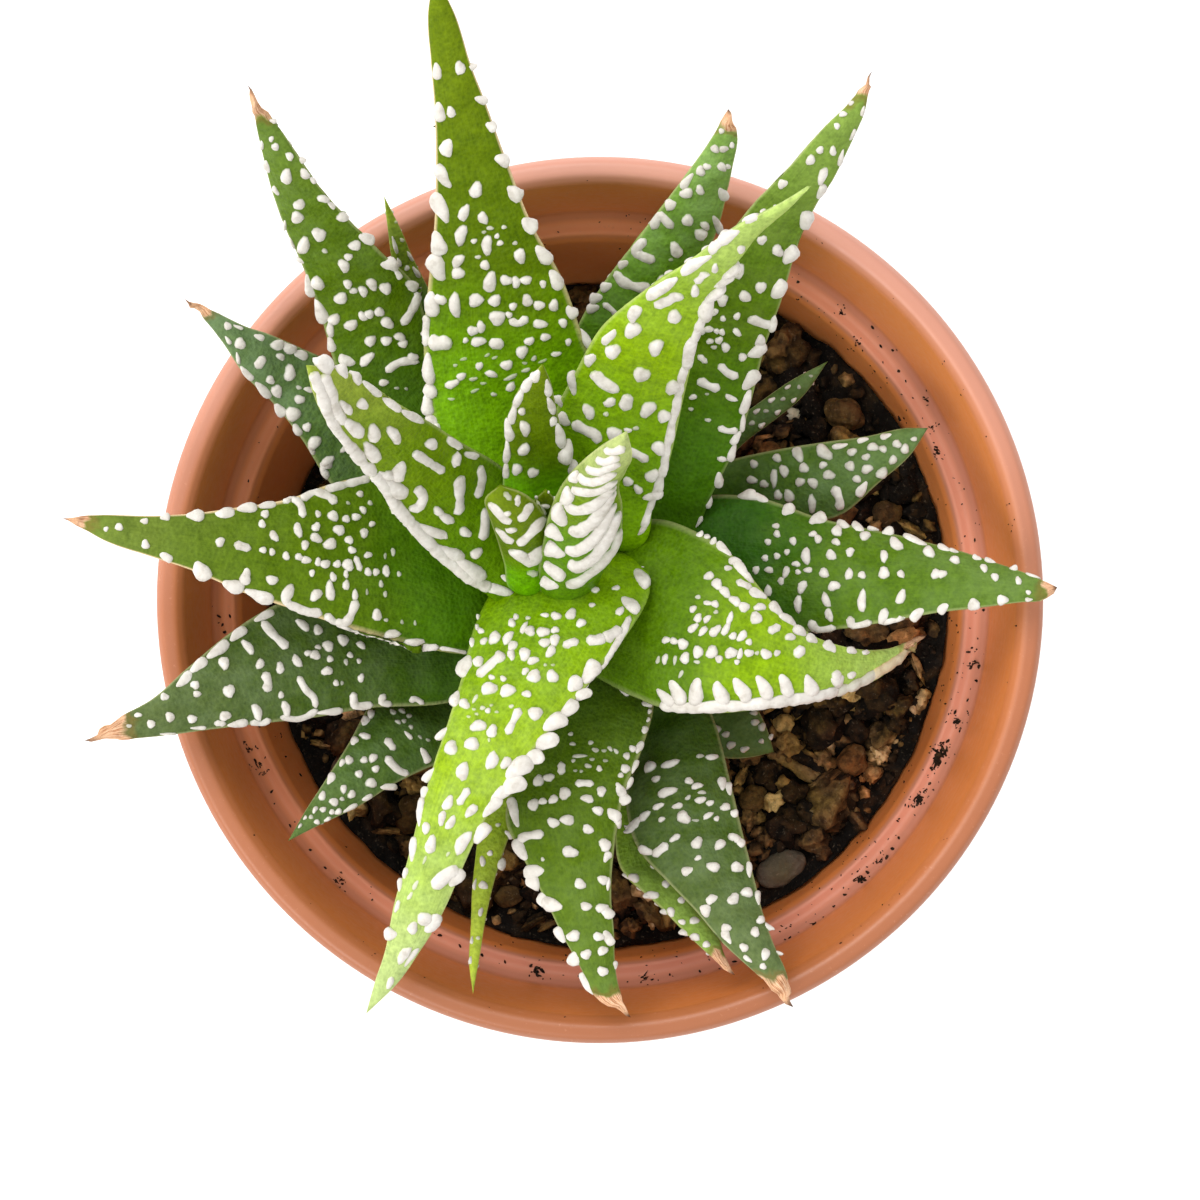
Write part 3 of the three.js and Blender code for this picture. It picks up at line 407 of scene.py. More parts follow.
# ---------------------------------------------------------------- leaf outlines (mm): edges from base to tip
LEAVES = {
    'leaf_11': dict(base=81.0, top=0.26, under=0.03, tip=(2.42, 15.15, 114.0), edges=[
        (-5.65, -0.1, 83.0, -1.1, 0.5, 83.0), (-5.93, 2.27, 87.0, 0.3, 3.0, 87.0),
        (-5.38, 5.33, 92.5, 1.74, 5.66, 92.5), (-4.54, 8.55, 98.0, 1.9, 9.03, 98.0),
        (-3.15, 11.0, 103.5, 1.58, 10.72, 103.5), (-1.56, 12.56, 108.0, 2.2, 11.92, 108.0),
        (0.27, 13.85, 111.5, 2.71, 13.12, 111.5),]),
    'leaf_09': dict(base=81.6, top=0.24, under=0.03, tip=(-9.37, 10.68, 102.0), edges=[
        (-8.68, 1.2, 84.0, -5.19, 2.49, 84.0), (-9.24, 3.73, 88.5, -4.91, 5.11, 88.5),
        (-9.87, 6.29, 93.0, -5.13, 7.25, 93.0), (-10.49, 8.39, 97.0, -5.91, 8.78, 97.0),
        (-10.57, 9.72, 100.0, -7.55, 10.1, 100.0),]),
    'leaf_10': dict(base=82.2, top=0.2, under=0.2, tip=(-5.15, 10.49, 97.0), edges=[
        (-6.31, 7.1, 87.5, -4.34, 7.2, 87.5), (-6.43, 8.38, 91.0, -4.29, 8.47, 91.0),
        (-6.15, 9.61, 95.0, -4.51, 9.7, 95.0),]),
    'leaf_08': dict(base=81.2, top=-0.02, under=0.2, tip=(-5.28, 21.87, 105.0), edges=[
        (-9.13, 7.94, 85.5, -2.78, 8.34, 85.5), (-9.29, 11.73, 90.0, -2.74, 11.92, 90.0),
        (-8.96, 14.94, 94.0, -3.57, 14.94, 94.0), (-8.36, 17.87, 98.0, -4.28, 17.87, 98.0),
        (-7.32, 19.9, 101.5, -4.69, 19.9, 101.5),]),
    'leaf_07': dict(base=78.8, top=0.03, under=0.22, tip=(-25.76, 20.59, 120.0), edges=[
        (-8.64, -0.4, 82.0, -4.02, 5.52, 82.0), (-12.11, 1.09, 85.5, -6.45, 9.93, 85.5),
        (-15.9, 4.29, 90.5, -10.05, 13.07, 90.5), (-18.86, 7.85, 96.0, -13.11, 14.74, 96.0),
        (-21.08, 11.24, 102.0, -15.93, 16.4, 102.0), (-22.92, 13.75, 108.0, -18.34, 17.69, 108.0),
        (-24.48, 16.2, 113.0, -20.97, 19.26, 113.0), (-25.21, 18.4, 117.5, -23.27, 20.26, 117.5),]),
    'leaf_12': dict(base=77.4, top=0.03, under=0.22, tip=(18.35, 36.0, 122.0), edges=[
        (-3.42, 6.04, 81.5, 4.23, 5.53, 81.5), (-4.37, 11.91, 85.5, 5.26, 9.43, 85.5),
        (-4.29, 17.56, 90.5, 6.54, 13.47, 90.5), (-2.11, 21.82, 96.0, 7.85, 19.62, 96.0),
        (0.56, 25.77, 102.0, 8.81, 23.89, 102.0), (4.42, 28.52, 107.0, 9.94, 27.6, 107.0),
        (8.13, 30.53, 112.0, 12.0, 30.3, 112.0), (11.62, 32.7, 116.0, 14.15, 32.74, 116.0),
        (15.26, 34.4, 119.5, 16.44, 34.35, 119.5),]),
    'leaf_01': dict(base=75.8, top=0.05, under=0.2, tip=(-14.97, 56.62, 112.5), edges=[
        (-11.38, 6.61, 78.5, -0.81, 8.13, 78.5), (-15.07, 13.56, 82.0, 0.0, 16.07, 82.0),
        (-16.87, 19.85, 85.5, 0.0, 21.54, 85.5), (-17.07, 25.5, 89.0, -1.67, 25.21, 89.0),
        (-16.35, 30.95, 93.0, -3.87, 31.05, 93.0), (-15.55, 36.25, 97.0, -6.77, 36.05, 97.0),
        (-15.26, 40.51, 100.5, -8.67, 40.51, 100.5), (-15.14, 45.5, 104.5, -10.77, 45.96, 104.5),
        (-15.34, 49.6, 107.5, -12.22, 49.6, 107.5), (-15.47, 52.78, 110.0, -13.2, 52.78, 110.0),]),
    'leaf_19': dict(base=74.8, top=0.1, under=0.24, tip=(-23.27, -41.16, 85.0), edges=[
        (4.04, 4.45, 80.0, -10.11, 2.02, 80.0), (4.98, 1.19, 84.6, -12.2, -1.8, 83.4),
        (0.98, -5.41, 88.3, -13.54, -7.91, 86.7), (-3.61, -10.93, 90.5, -14.93, -12.58, 88.5),
        (-7.78, -16.06, 91.3, -16.26, -16.46, 89.3), (-11.28, -21.2, 91.4, -17.42, -20.75, 89.6),
        (-13.36, -25.56, 90.6, -18.71, -25.66, 89.4), (-15.48, -30.37, 89.3, -20.03, -29.94, 88.7),
        (-17.85, -34.5, 87.5, -20.95, -34.5, 87.5), (-20.42, -38.15, 86.0, -22.15, -37.95, 86.0),]),
    'leaf_04': dict(base=73.4, top=0.06, under=0.2, tip=(-50.94, 7.9, 97.5), edges=[
        (-7.14, -4.59, 77.5, -10.2, 5.61, 77.5), (-13.32, -5.35, 80.5, -16.15, 10.09, 80.5),
        (-19.99, -4.0, 83.5, -21.49, 12.19, 83.5), (-25.18, -2.47, 87.0, -26.17, 11.36, 87.0),
        (-30.3, -0.59, 90.0, -30.79, 9.58, 90.0), (-34.88, 1.07, 92.5, -35.37, 8.72, 92.5),
        (-39.26, 3.08, 94.5, -39.45, 8.08, 94.5), (-43.07, 4.4, 96.0, -43.07, 7.85, 96.0),
        (-46.93, 5.72, 97.0, -46.93, 7.92, 97.0),]),
    'leaf_18': dict(base=71.8, top=0.1, under=0.18, tip=(33.24, -3.27, 76.5), edges=[
        (0.0, 5.62, 77.0, -2.55, -6.13, 77.0), (5.25, 7.97, 80.5, 2.83, -9.29, 80.5),
        (9.99, 6.4, 83.5, 7.2, -10.79, 83.5), (13.41, 3.97, 85.2, 11.43, -11.03, 85.2),
        (16.89, -0.2, 85.3, 16.09, -10.63, 85.3), (21.19, -3.7, 83.5, 20.99, -9.89, 83.5),
        (25.19, -5.04, 81.0, 24.69, -9.07, 81.0), (29.52, -5.09, 78.0, 28.81, -7.43, 78.0),]),
    'leaf_13': dict(base=70.6, top=0.05, under=0.22, tip=(24.84, 48.41, 109.0), edges=[
        (-1.03, 5.67, 74.0, 8.25, 5.16, 74.0), (2.55, 13.25, 77.5, 11.42, 11.01, 77.5),
        (5.53, 20.12, 81.5, 14.29, 17.61, 81.5), (7.73, 25.27, 86.0, 16.05, 24.77, 86.0),
        (9.74, 29.71, 91.0, 17.44, 29.22, 91.0), (11.7, 33.56, 95.5, 18.7, 33.75, 95.5),
        (14.4, 37.13, 99.0, 20.08, 37.13, 99.0), (17.49, 40.03, 102.5, 21.79, 39.75, 102.5),
        (20.54, 43.3, 105.5, 23.5, 43.3, 105.5), (23.33, 46.01, 107.5, 24.43, 45.83, 107.5),]),
    'leaf_20': dict(base=69.2, top=0.08, under=0.22, tip=(3.09, -41.7, 84.0), edges=[
        (3.62, -3.62, 73.0, -6.21, -4.66, 73.0), (5.31, -10.21, 77.0, -7.15, -12.25, 77.0),
        (4.04, -15.17, 80.0, -8.59, -18.2, 80.0), (2.21, -19.59, 82.0, -9.24, -22.1, 82.0),
        (1.2, -24.98, 83.5, -7.79, -25.18, 83.5), (0.9, -29.4, 84.3, -5.38, -29.6, 84.3),
        (1.19, -33.33, 84.8, -3.38, -33.63, 84.8), (1.29, -36.32, 84.8, -1.69, -36.61, 84.8),
        (1.69, -38.64, 84.5, -0.5, -39.14, 84.5),]),
    'leaf_02': dict(base=68.4, top=0.06, under=0.22, tip=(-32.3, 47.03, 108.5), edges=[
        (-15.03, 8.29, 72.5, -7.25, 12.44, 72.5), (-22.98, 17.16, 77.0, -13.79, 20.42, 77.0),
        (-26.16, 22.94, 81.5, -17.1, 26.16, 81.5), (-27.5, 28.49, 86.5, -18.6, 31.16, 86.5),
        (-28.83, 32.81, 92.0, -21.74, 33.97, 92.0), (-30.15, 36.18, 96.0, -24.41, 36.56, 96.0),
        (-31.05, 39.64, 100.0, -26.8, 39.16, 100.0), (-31.5, 42.68, 103.5, -28.98, 42.4, 103.5),
        (-31.77, 44.51, 106.0, -30.75, 44.88, 106.0),]),
    'leaf_17': dict(base=66.8, top=0.09, under=0.25, tip=(45.46, 1.09, 85.5), edges=[
        (2.08, 7.29, 71.0, 4.69, -2.08, 71.0), (9.28, 10.31, 74.2, 10.29, -2.57, 74.8),
        (16.37, 10.23, 76.4, 16.82, -2.96, 77.6), (22.39, 8.14, 78.0, 22.45, -2.93, 80.0),
        (28.38, 6.79, 79.3, 28.15, -2.11, 81.7), (33.76, 5.44, 81.0, 33.53, -1.1, 83.0),
        (38.55, 3.91, 82.9, 38.4, -0.5, 84.1), (42.36, 2.49, 84.3, 42.0, 0.0, 84.7),
        (44.15, 1.69, 85.0, 44.05, 0.2, 85.0),]),
    'leaf_05': dict(base=66.0, top=0.07, under=0.22, tip=(-50.15, -13.66, 90.5), edges=[
        (-7.28, -8.32, 71.5, -10.4, 0.0, 71.5), (-16.45, -10.49, 75.0, -17.99, 0.0, 75.0),
        (-23.4, -10.78, 78.2, -25.43, 0.81, 78.2), (-29.21, -11.68, 81.2, -31.72, -0.3, 81.2),
        (-34.42, -12.17, 84.0, -36.71, -3.39, 84.0), (-39.07, -12.66, 86.5, -40.85, -7.02, 86.5),
        (-43.23, -13.17, 88.5, -44.21, -10.12, 88.5), (-46.21, -13.41, 89.5, -47.0, -11.65, 89.5),]),
    'leaf_14': dict(base=64.2, top=0.08, under=0.22, tip=(12.34, 47.43, 94.0), edges=[
        (-4.21, 12.64, 67.5, 2.11, 13.69, 67.5), (-3.64, 20.8, 71.5, 4.16, 22.36, 71.5),
        (-2.25, 27.62, 76.5, 5.63, 28.13, 76.5), (0.3, 31.65, 80.0, 8.59, 32.36, 80.0),
        (3.6, 35.68, 83.5, 11.19, 36.18, 83.5), (6.42, 39.01, 87.0, 12.15, 39.5, 87.0),
        (9.09, 42.22, 90.0, 12.71, 42.22, 90.0), (11.53, 45.64, 92.5, 13.08, 45.45, 92.5),]),
    'leaf_21': dict(base=63.2, top=0.08, under=0.22, tip=(19.19, -40.77, 83.5), edges=[
        (7.91, -5.27, 67.0, 1.05, -9.49, 67.0), (11.66, -12.5, 71.0, 4.17, -15.62, 71.0),
        (13.18, -18.53, 74.5, 2.88, -20.59, 74.5), (14.3, -23.49, 77.0, 4.08, -25.33, 77.0),
        (15.22, -27.39, 79.0, 6.9, -28.41, 79.0), (16.13, -31.26, 80.8, 9.78, -31.26, 80.8),
        (17.16, -34.43, 82.2, 12.85, -34.73, 82.2), (18.52, -37.54, 83.0, 16.22, -37.74, 83.0),]),
    'leaf_03': dict(base=62.4, top=0.08, under=0.22, tip=(-40.69, 29.27, 90.5), edges=[
        (-15.32, 3.17, 66.5, -12.68, 8.45, 66.5), (-22.39, 8.33, 71.0, -18.23, 15.62, 71.0),
        (-27.76, 12.34, 75.0, -23.44, 21.07, 75.0), (-30.18, 16.46, 78.5, -26.93, 23.78, 78.5),
        (-32.7, 19.92, 81.5, -30.18, 25.15, 81.5), (-35.3, 22.67, 85.0, -33.01, 26.25, 85.0),
        (-37.26, 25.83, 87.5, -35.49, 27.01, 87.5), (-38.64, 27.46, 89.0, -37.96, 28.25, 89.0),]),
    'leaf_16': dict(base=61.4, top=0.08, under=0.22, tip=(33.5, 17.57, 77.0), edges=[
        (4.78, 10.62, 65.0, 6.9, 3.19, 65.0), (12.6, 14.17, 68.5, 14.7, 7.35, 68.5),
        (18.21, 15.4, 71.2, 20.3, 8.12, 71.2), (23.27, 16.13, 73.2, 25.02, 9.1, 73.2),
        (27.55, 16.65, 75.0, 28.58, 12.23, 75.0), (30.74, 17.32, 76.0, 31.46, 14.75, 76.0),]),
    'leaf_06': dict(base=61.0, top=0.08, under=0.22, tip=(-31.44, -24.29, 81.0), edges=[
        (-6.91, -9.57, 64.5, -11.7, -4.25, 64.5), (-13.1, -15.72, 69.0, -19.92, -8.39, 69.0),
        (-17.38, -16.97, 73.0, -23.49, -10.86, 73.0), (-21.31, -18.75, 76.0, -25.62, -14.86, 76.0),
        (-24.92, -20.95, 78.2, -27.87, -18.61, 78.2), (-28.13, -22.46, 79.8, -29.65, -21.45, 79.8),]),
    'leaf_22': dict(base=59.4, top=0.08, under=0.2, tip=(13.65, -37.92, 80.0), edges=[
        (4.27, -12.82, 63.0, -1.6, -14.96, 63.0), (8.9, -21.98, 69.5, 1.57, -23.55, 69.5),
        (10.35, -27.94, 73.0, 2.59, -28.14, 73.0), (11.27, -31.76, 76.0, 6.15, -31.25, 76.0),
        (11.91, -34.4, 78.0, 9.36, -34.3, 78.0), (12.57, -36.19, 79.2, 11.46, -36.19, 79.2),]),
    'leaf_25': dict(base=58.0, top=0.1, under=0.2, tip=(18.47, -16.14, 65.0), edges=[
        (6.99, -2.15, 61.0, 3.23, -8.6, 61.0), (13.36, -9.08, 63.0, 10.15, -15.17, 63.0),
        (16.71, -11.92, 64.2, 13.84, -16.71, 64.2),]),
    'leaf_15': dict(base=57.6, top=0.1, under=0.2, tip=(24.05, 25.2, 67.0), edges=[
        (5.39, 10.79, 60.0, 7.77, 7.55, 60.0), (14.2, 18.75, 63.0, 15.4, 17.05, 63.0),
        (17.3, 21.0, 64.5, 18.5, 19.35, 64.5), (20.35, 23.1, 66.0, 21.4, 21.75, 66.0),]),
    'leaf_24': dict(base=59.4, top=0.1, under=0.2, tip=(-21.37, 39.96, 86.5), edges=[
        (-12.78, 12.78, 64.0, -9.05, 14.06, 64.0), (-18.25, 25.04, 70.5, -14.81, 26.6, 70.5),
        (-20.18, 30.74, 76.0, -17.62, 31.56, 76.0), (-20.83, 34.18, 80.0, -19.11, 34.58, 80.0),
        (-21.09, 36.98, 83.5, -20.09, 37.17, 83.5),]),
    'leaf_23': dict(base=58.4, top=0.1, under=0.2, tip=(-12.83, -39.8, 80.3), edges=[
        (-3.75, -8.56, 62.5, -8.03, -9.63, 62.5), (-7.31, -18.81, 70.0, -11.49, -19.33, 70.0),
        (-9.49, -24.24, 74.0, -12.58, -25.78, 74.0), (-10.96, -28.67, 76.2, -12.9, -29.69, 76.2),
        (-11.81, -32.78, 78.0, -13.03, -33.39, 78.0), (-12.27, -35.99, 79.2, -13.18, -36.5, 79.2),]),
}

STEM = np.array([-5.0, 7.5])


def leaf_rows(leaf):
    """The seat on the stem, then the edge rows, then the tip as a row of no width."""
    edges = [np.array(e, float) for e in leaf["edges"]]
    L0, R0 = edges[0][:3], edges[0][3:]
    mid = 0.5 * (L0 + R0)
    base = leaf["base"]
    out = np.array([mid[0] - STEM[0], mid[1] - STEM[1], 0.0])
    far = np.linalg.norm(out)
    seat_out = min(1.7 if base > 79 else 3.0, far * 0.6)
    out = unit(out)
    c = np.array([STEM[0], STEM[1], base]) + out * seat_out
    c[2] = base
    half = 0.5 * min(3.6 if base > 79 else 9.0, np.linalg.norm(R0 - L0) * 0.85)
    side = unit(unit(np.array([out[1], -out[0], 0.0])) + unit(R0 - L0))
    rows = [np.concatenate([c - side * half, c + side * half])]
    rows += edges
    tip = np.array(leaf["tip"], float)
    rows.append(np.concatenate([tip, tip]))
    return np.array(rows)


def leaf_mesh(name, leaf, step=0.55, cols=16):
    rows = leaf_rows(leaf)
    dense, s, knots = spline(rows, step)
    n = len(dense)
    mids = 0.5 * (dense[:, :3] + dense[:, 3:])
    length = np.concatenate([[0], np.cumsum(np.linalg.norm(np.diff(mids, axis=0), axis=1))])
    total = length[-1]
    ahead = np.gradient(mids, axis=0)
    across = dense[:, 3:] - dense[:, :3]
    width = np.linalg.norm(across, axis=1)
    # near the point the across vector vanishes: carry on the last good one
    for i in range(n):
        if width[i] < 0.15:
            across[i] = across[i - 1]
    adir = across / np.linalg.norm(across, axis=1)[:, None]
    swell = (0.22 * np.clip(width / 2.0, 0.0, 1.0) * smooth((length / total - 0.12) / 0.2))[:, None]
    dense[:, :3] -= adir * swell
    dense[:, 3:] += adir * swell
    width = width + 2 * swell[:, 0]
    fdir = ahead / np.maximum(np.linalg.norm(ahead, axis=1), 1e-9)[:, None]
    up = np.cross(adir, fdir)
    up /= np.linalg.norm(up, axis=1)[:, None]
    for _ in range(3):                                  # a leaf doesn't crease where its stations change
        up[1:-1] = 0.25 * up[:-2] + 0.5 * up[1:-1] + 0.25 * up[2:]
    up /= np.linalg.norm(up, axis=1)[:, None]
    M = 2 * cols
    verts = np.zeros((n - 1, M, 3))
    attrs = {k: np.zeros((n - 1, M)) for k in ("along", "across", "back", "rim")}
    seed = int(name[-2:]) * 7.31
    for i in range(n - 1):
        w = width[i]
        face_h = max(leaf["top"] * w, 0.10)
        back_h = max(leaf["under"] * w, 0.22)
        e = min(0.42, 0.08 * w + 0.10)
        for j in range(M):
            if j <= cols:
                u = -math.cos(math.pi * j / cols)
                round_ = math.sqrt(max(0.0, 1 - u * u))
                z = face_h * (1 - u * u) + e * round_
            else:
                u = math.cos(math.pi * (j - cols) / cols)
                round_ = math.sqrt(max(0.0, 1 - u * u))
                z = -back_h * (0.72 * (1 - u * u) + 0.28 * (1 - abs(u))) - e * round_
            p = mids[i] + adir[i] * (u * w * 0.5) + up[i] * z
            wob = noise.noise(Vector((p[0] * 0.33 + seed, p[1] * 0.33, p[2] * 0.33))) * 0.16
            wob += noise.noise(Vector((p[0] * 0.9 + seed, p[1] * 0.9, p[2] * 0.9))) * 0.06
            wob += 0.15 * noise.noise(Vector((length[i] * 0.42 + seed, u * 0.7, seed * 1.7)))
            wob *= min(1.0, w / 5.0)
            verts[i, j] = p + up[i] * (wob if j <= cols else -wob)
            attrs["along"][i, j] = length[i] / total
            attrs["across"][i, j] = u
            attrs["back"][i, j] = 0.0 if j <= cols else 1.0
            attrs["rim"][i, j] = smooth((abs(u) - (0.95 if j <= cols else 0.985)) / 0.03) * smooth((length[i] / total - 0.15) / 0.2)
    V = verts.reshape(-1, 3)
    faces = []
    for i in range(n - 2):
        for j in range(M):
            a, b = i * M + j, i * M + (j + 1) % M
            faces.append((a, b, b + M, a + M))
    V = np.vstack([V, mids[0] + (mids[0] - mids[1]) * 0.2, mids[-1]])
    start, tip = len(V) - 2, len(V) - 1
    for j in range(M):
        faces.append((start, (j + 1) % M, j))
        last = (n - 2) * M
        faces.append((last + j, last + (j + 1) % M, tip))
    A = {k: np.concatenate([v.reshape(-1), [0.0, 0.0]]) for k, v in attrs.items()}
    A["along"][-1] = 1.0
    lengths = A["along"] * total
    tipdist = total - lengths
    dry_len = DRIED.get(name, 0.0)
    A["dry"] = np.zeros(len(V))
    if dry_len:
        uneven = np.array([noise.noise(Vector((p[0] * 0.9, p[1] * 0.9, seed))) + 0.5 * noise.noise(Vector((p[0] * 2.3, p[1] * 2.3, seed)))
                           for p in V]) * 1.1
        d = (dry_len + uneven * min(1.0, dry_len / 3) - tipdist)
        A["dry"] = np.clip(d / max(0.7, dry_len * 0.22) * 0.5 + 0.4, 0.0, 1.0) + np.clip(1 - tipdist / (dry_len * 0.45), 0, 1)
        limp = np.clip((A["dry"] - 0.5) * 1.4, 0.0, 1.0)
        for i, p in enumerate(V):
            if limp[i] > 0:
                s3 = [noise.noise(Vector((p[0] * 0.9 + 31 * a, p[1] * 0.9 + seed, p[2] * 0.9))) for a in (1, 2, 3)]
                V[i] = p + np.array([s3[0] * 0.5, s3[1] * 0.5, s3[2] * 0.7]) * limp[i]
    A["wart"] = np.zeros(len(V))
    info = dict(rows=dense, mids=mids, up=up, adir=adir, fdir=fdir, width=width, length=length, total=total)
    return V, faces, A, info


KEYS = ("along", "across", "back", "rim", "dry", "wart")


class Skin:
    """A leaf's surface, to put tubercles on."""

    def __init__(self, V, F, A, info):
        self.V, self.F, self.A, self.info = V, F, A, info
        self.tree = BVHTree.FromPolygons([Vector(v) for v in V], F)
        self.first = [f[0] for f in F]

    def near(self, p):
        loc, nor, idx, dist = self.tree.find_nearest(Vector(p))
        return np.array(loc), np.array(nor), idx

    def hit(self, px, py):
        eye = Vector((0, 0, VIEW_Z))
        d = Vector(sight(px, py, 0.0)) - eye
        loc, nor, idx, dist = self.tree.ray_cast(eye, d.normalized())
        if loc is None:
            return None
        return np.array(loc), np.array(nor), idx

    def values(self, idx):
        v = self.F[idx]
        return {k: float(np.mean(self.A[k][list(v)])) for k in ("along", "across", "back", "dry")}

    def margin(self, px, py):
        """The margin point that is seen nearest to a pixel: point, direction along, outward, up."""
        best = None
        i_ = self.info
        for side, cols in ((-1, slice(0, 3)), (1, slice(3, 6))):
            pts = i_["rows"][:, cols]
            s = VIEW_F / (VIEW_Z - pts[:, 2])
            d = (600 + pts[:, 0] * s - px) ** 2 + (600 - pts[:, 1] * s - py) ** 2
            k = int(np.argmin(d))
            if best is None or d[k] < best[0]:
                best = (d[k], side, k, pts[k])
        _, side, k, p = best
        k = min(k, len(i_["rows"]) - 2)
        return p, i_["fdir"][k], i_["adir"][k] * side, i_["up"][k], k


def tangent_axes(n, length, width, angle, scale):
    """Half axes on a surface of normal n whose outline, seen from above, is an ellipse of that size and direction."""
    if n[2] < 0.30:
        n = unit(np.array([n[0], n[1], 0.30 * np.hypot(n[0], n[1]) / max(1e-6, math.sqrt(1 - 0.09)) + 0.05]))
    a = math.radians(angle)
    out = []
    for d, size in (((math.cos(a), math.sin(a)), length), ((-math.sin(a), math.cos(a)), width)):
        v = np.array([d[0], d[1], 0.0]) * size * 0.5 * scale
        v[2] = -(n[0] * v[0] + n[1] * v[1]) / n[2]
        out.append(v)
    return out


DOME = ((1.17, -0.10, 0.0), (1.03, 0.20, 0.70), (0.86, 0.68, 1.0), (0.48, 0.95, 1.0))


def dome(build, skin, p, n, A, B, height, segs=10, idx=None, white=1.0):
    """One tubercle: a smooth blister that follows the leaf below it, closed underneath."""
    vals = skin.values(idx)
    verts, wart = [], []
    ph = 12.9898 * p[0] + 78.233 * p[1]
    for r, h, w in DOME:
        for k in range(segs):
            t = 2 * math.pi * k / segs
            rr = r * (1.0 + 0.11 * math.sin(2 * t + ph) + 0.10 * math.sin(3 * t + 2.3 * ph) + 0.04 * math.sin(5 * t + 4.1 * ph))
            q = p + A * (rr * math.cos(t)) + B * (rr * math.sin(t))
            s, sn, _ = skin.near(q)
            if np.dot(sn, n) < 0.1:
                s, sn = q, n
            verts.append(s + sn * (h * height))
            wart.append(w * white)
    verts.append(p + n * height)
    wart.append(white)
    verts.append(p - n * (0.25 + 0.3 * height))
    wart.append(0.0)
    faces = []
    for ring in range(len(DOME) - 1):
        for k in range(segs):
            a, b = ring * segs + k, ring * segs + (k + 1) % segs
            faces.append((a, b, b + segs, a + segs))
    top, bottom = len(verts) - 2, len(verts) - 1
    last = (len(DOME) - 1) * segs
    for k in range(segs):
        faces.append((last + k, last + (k + 1) % segs, top))
        faces.append(((k + 1) % segs, k, bottom))
    if np.dot(np.cross(A, B), n) < 0:
        faces = [f[::-1] for f in faces]
    build.add(verts, faces, 0, wart=wart, along=vals["along"], across=vals["across"], back=vals["back"], dry=min(vals["dry"], 0.3))


def bean(build, c, A, B, C, taper=0.0, segs=12, rings=8, along=0.5, dry=0.0):
    """One tooth: a rounded bead with half axes A, B, C, drawn out towards +A."""
    verts, faces = [], []
    off = (12.9898 * c[0] + 78.233 * c[1]) % 40.0
    hook = 0.22 * math.sin(off * 5.0)
    for i in range(1, rings):
        f = math.pi * i / rings
        x, r = math.cos(f), math.sin(f) ** 0.8
        r *= 1.0 - taper * x
        for k in range(segs):
            t = 2 * math.pi * k / segs
            u, v = math.cos(t), math.sin(t)
            e = 1.0 + 0.34 * noise.noise(Vector((u * 0.9 + off, v * 0.9, x * 1.3)))
            u, v = math.copysign(abs(u) ** 0.85, u), math.copysign(abs(v) ** 0.85, v)
            verts.append(c + A * x + B * (r * e * u + hook * x * x * 0.6) + C * (r * e * v))
    verts.append(c + A)
    verts.append(c - A)
    for i in range(rings - 2):
        for k in range(segs):
            a, b = i * segs + k, i * segs + (k + 1) % segs
            faces.append((a, a + segs, b + segs, b))
    top, bottom = len(verts) - 2, len(verts) - 1
    last = (rings - 2) * segs
    for k in range(segs):
        faces.append((k, (k + 1) % segs, top))
        faces.append((last + (k + 1) % segs, last + k, bottom))
    if np.dot(np.cross(A, B), C) < 0:
        faces = [f[::-1] for f in faces]
    build.add(verts, faces, 0, wart=1.0, along=along, dry=dry)


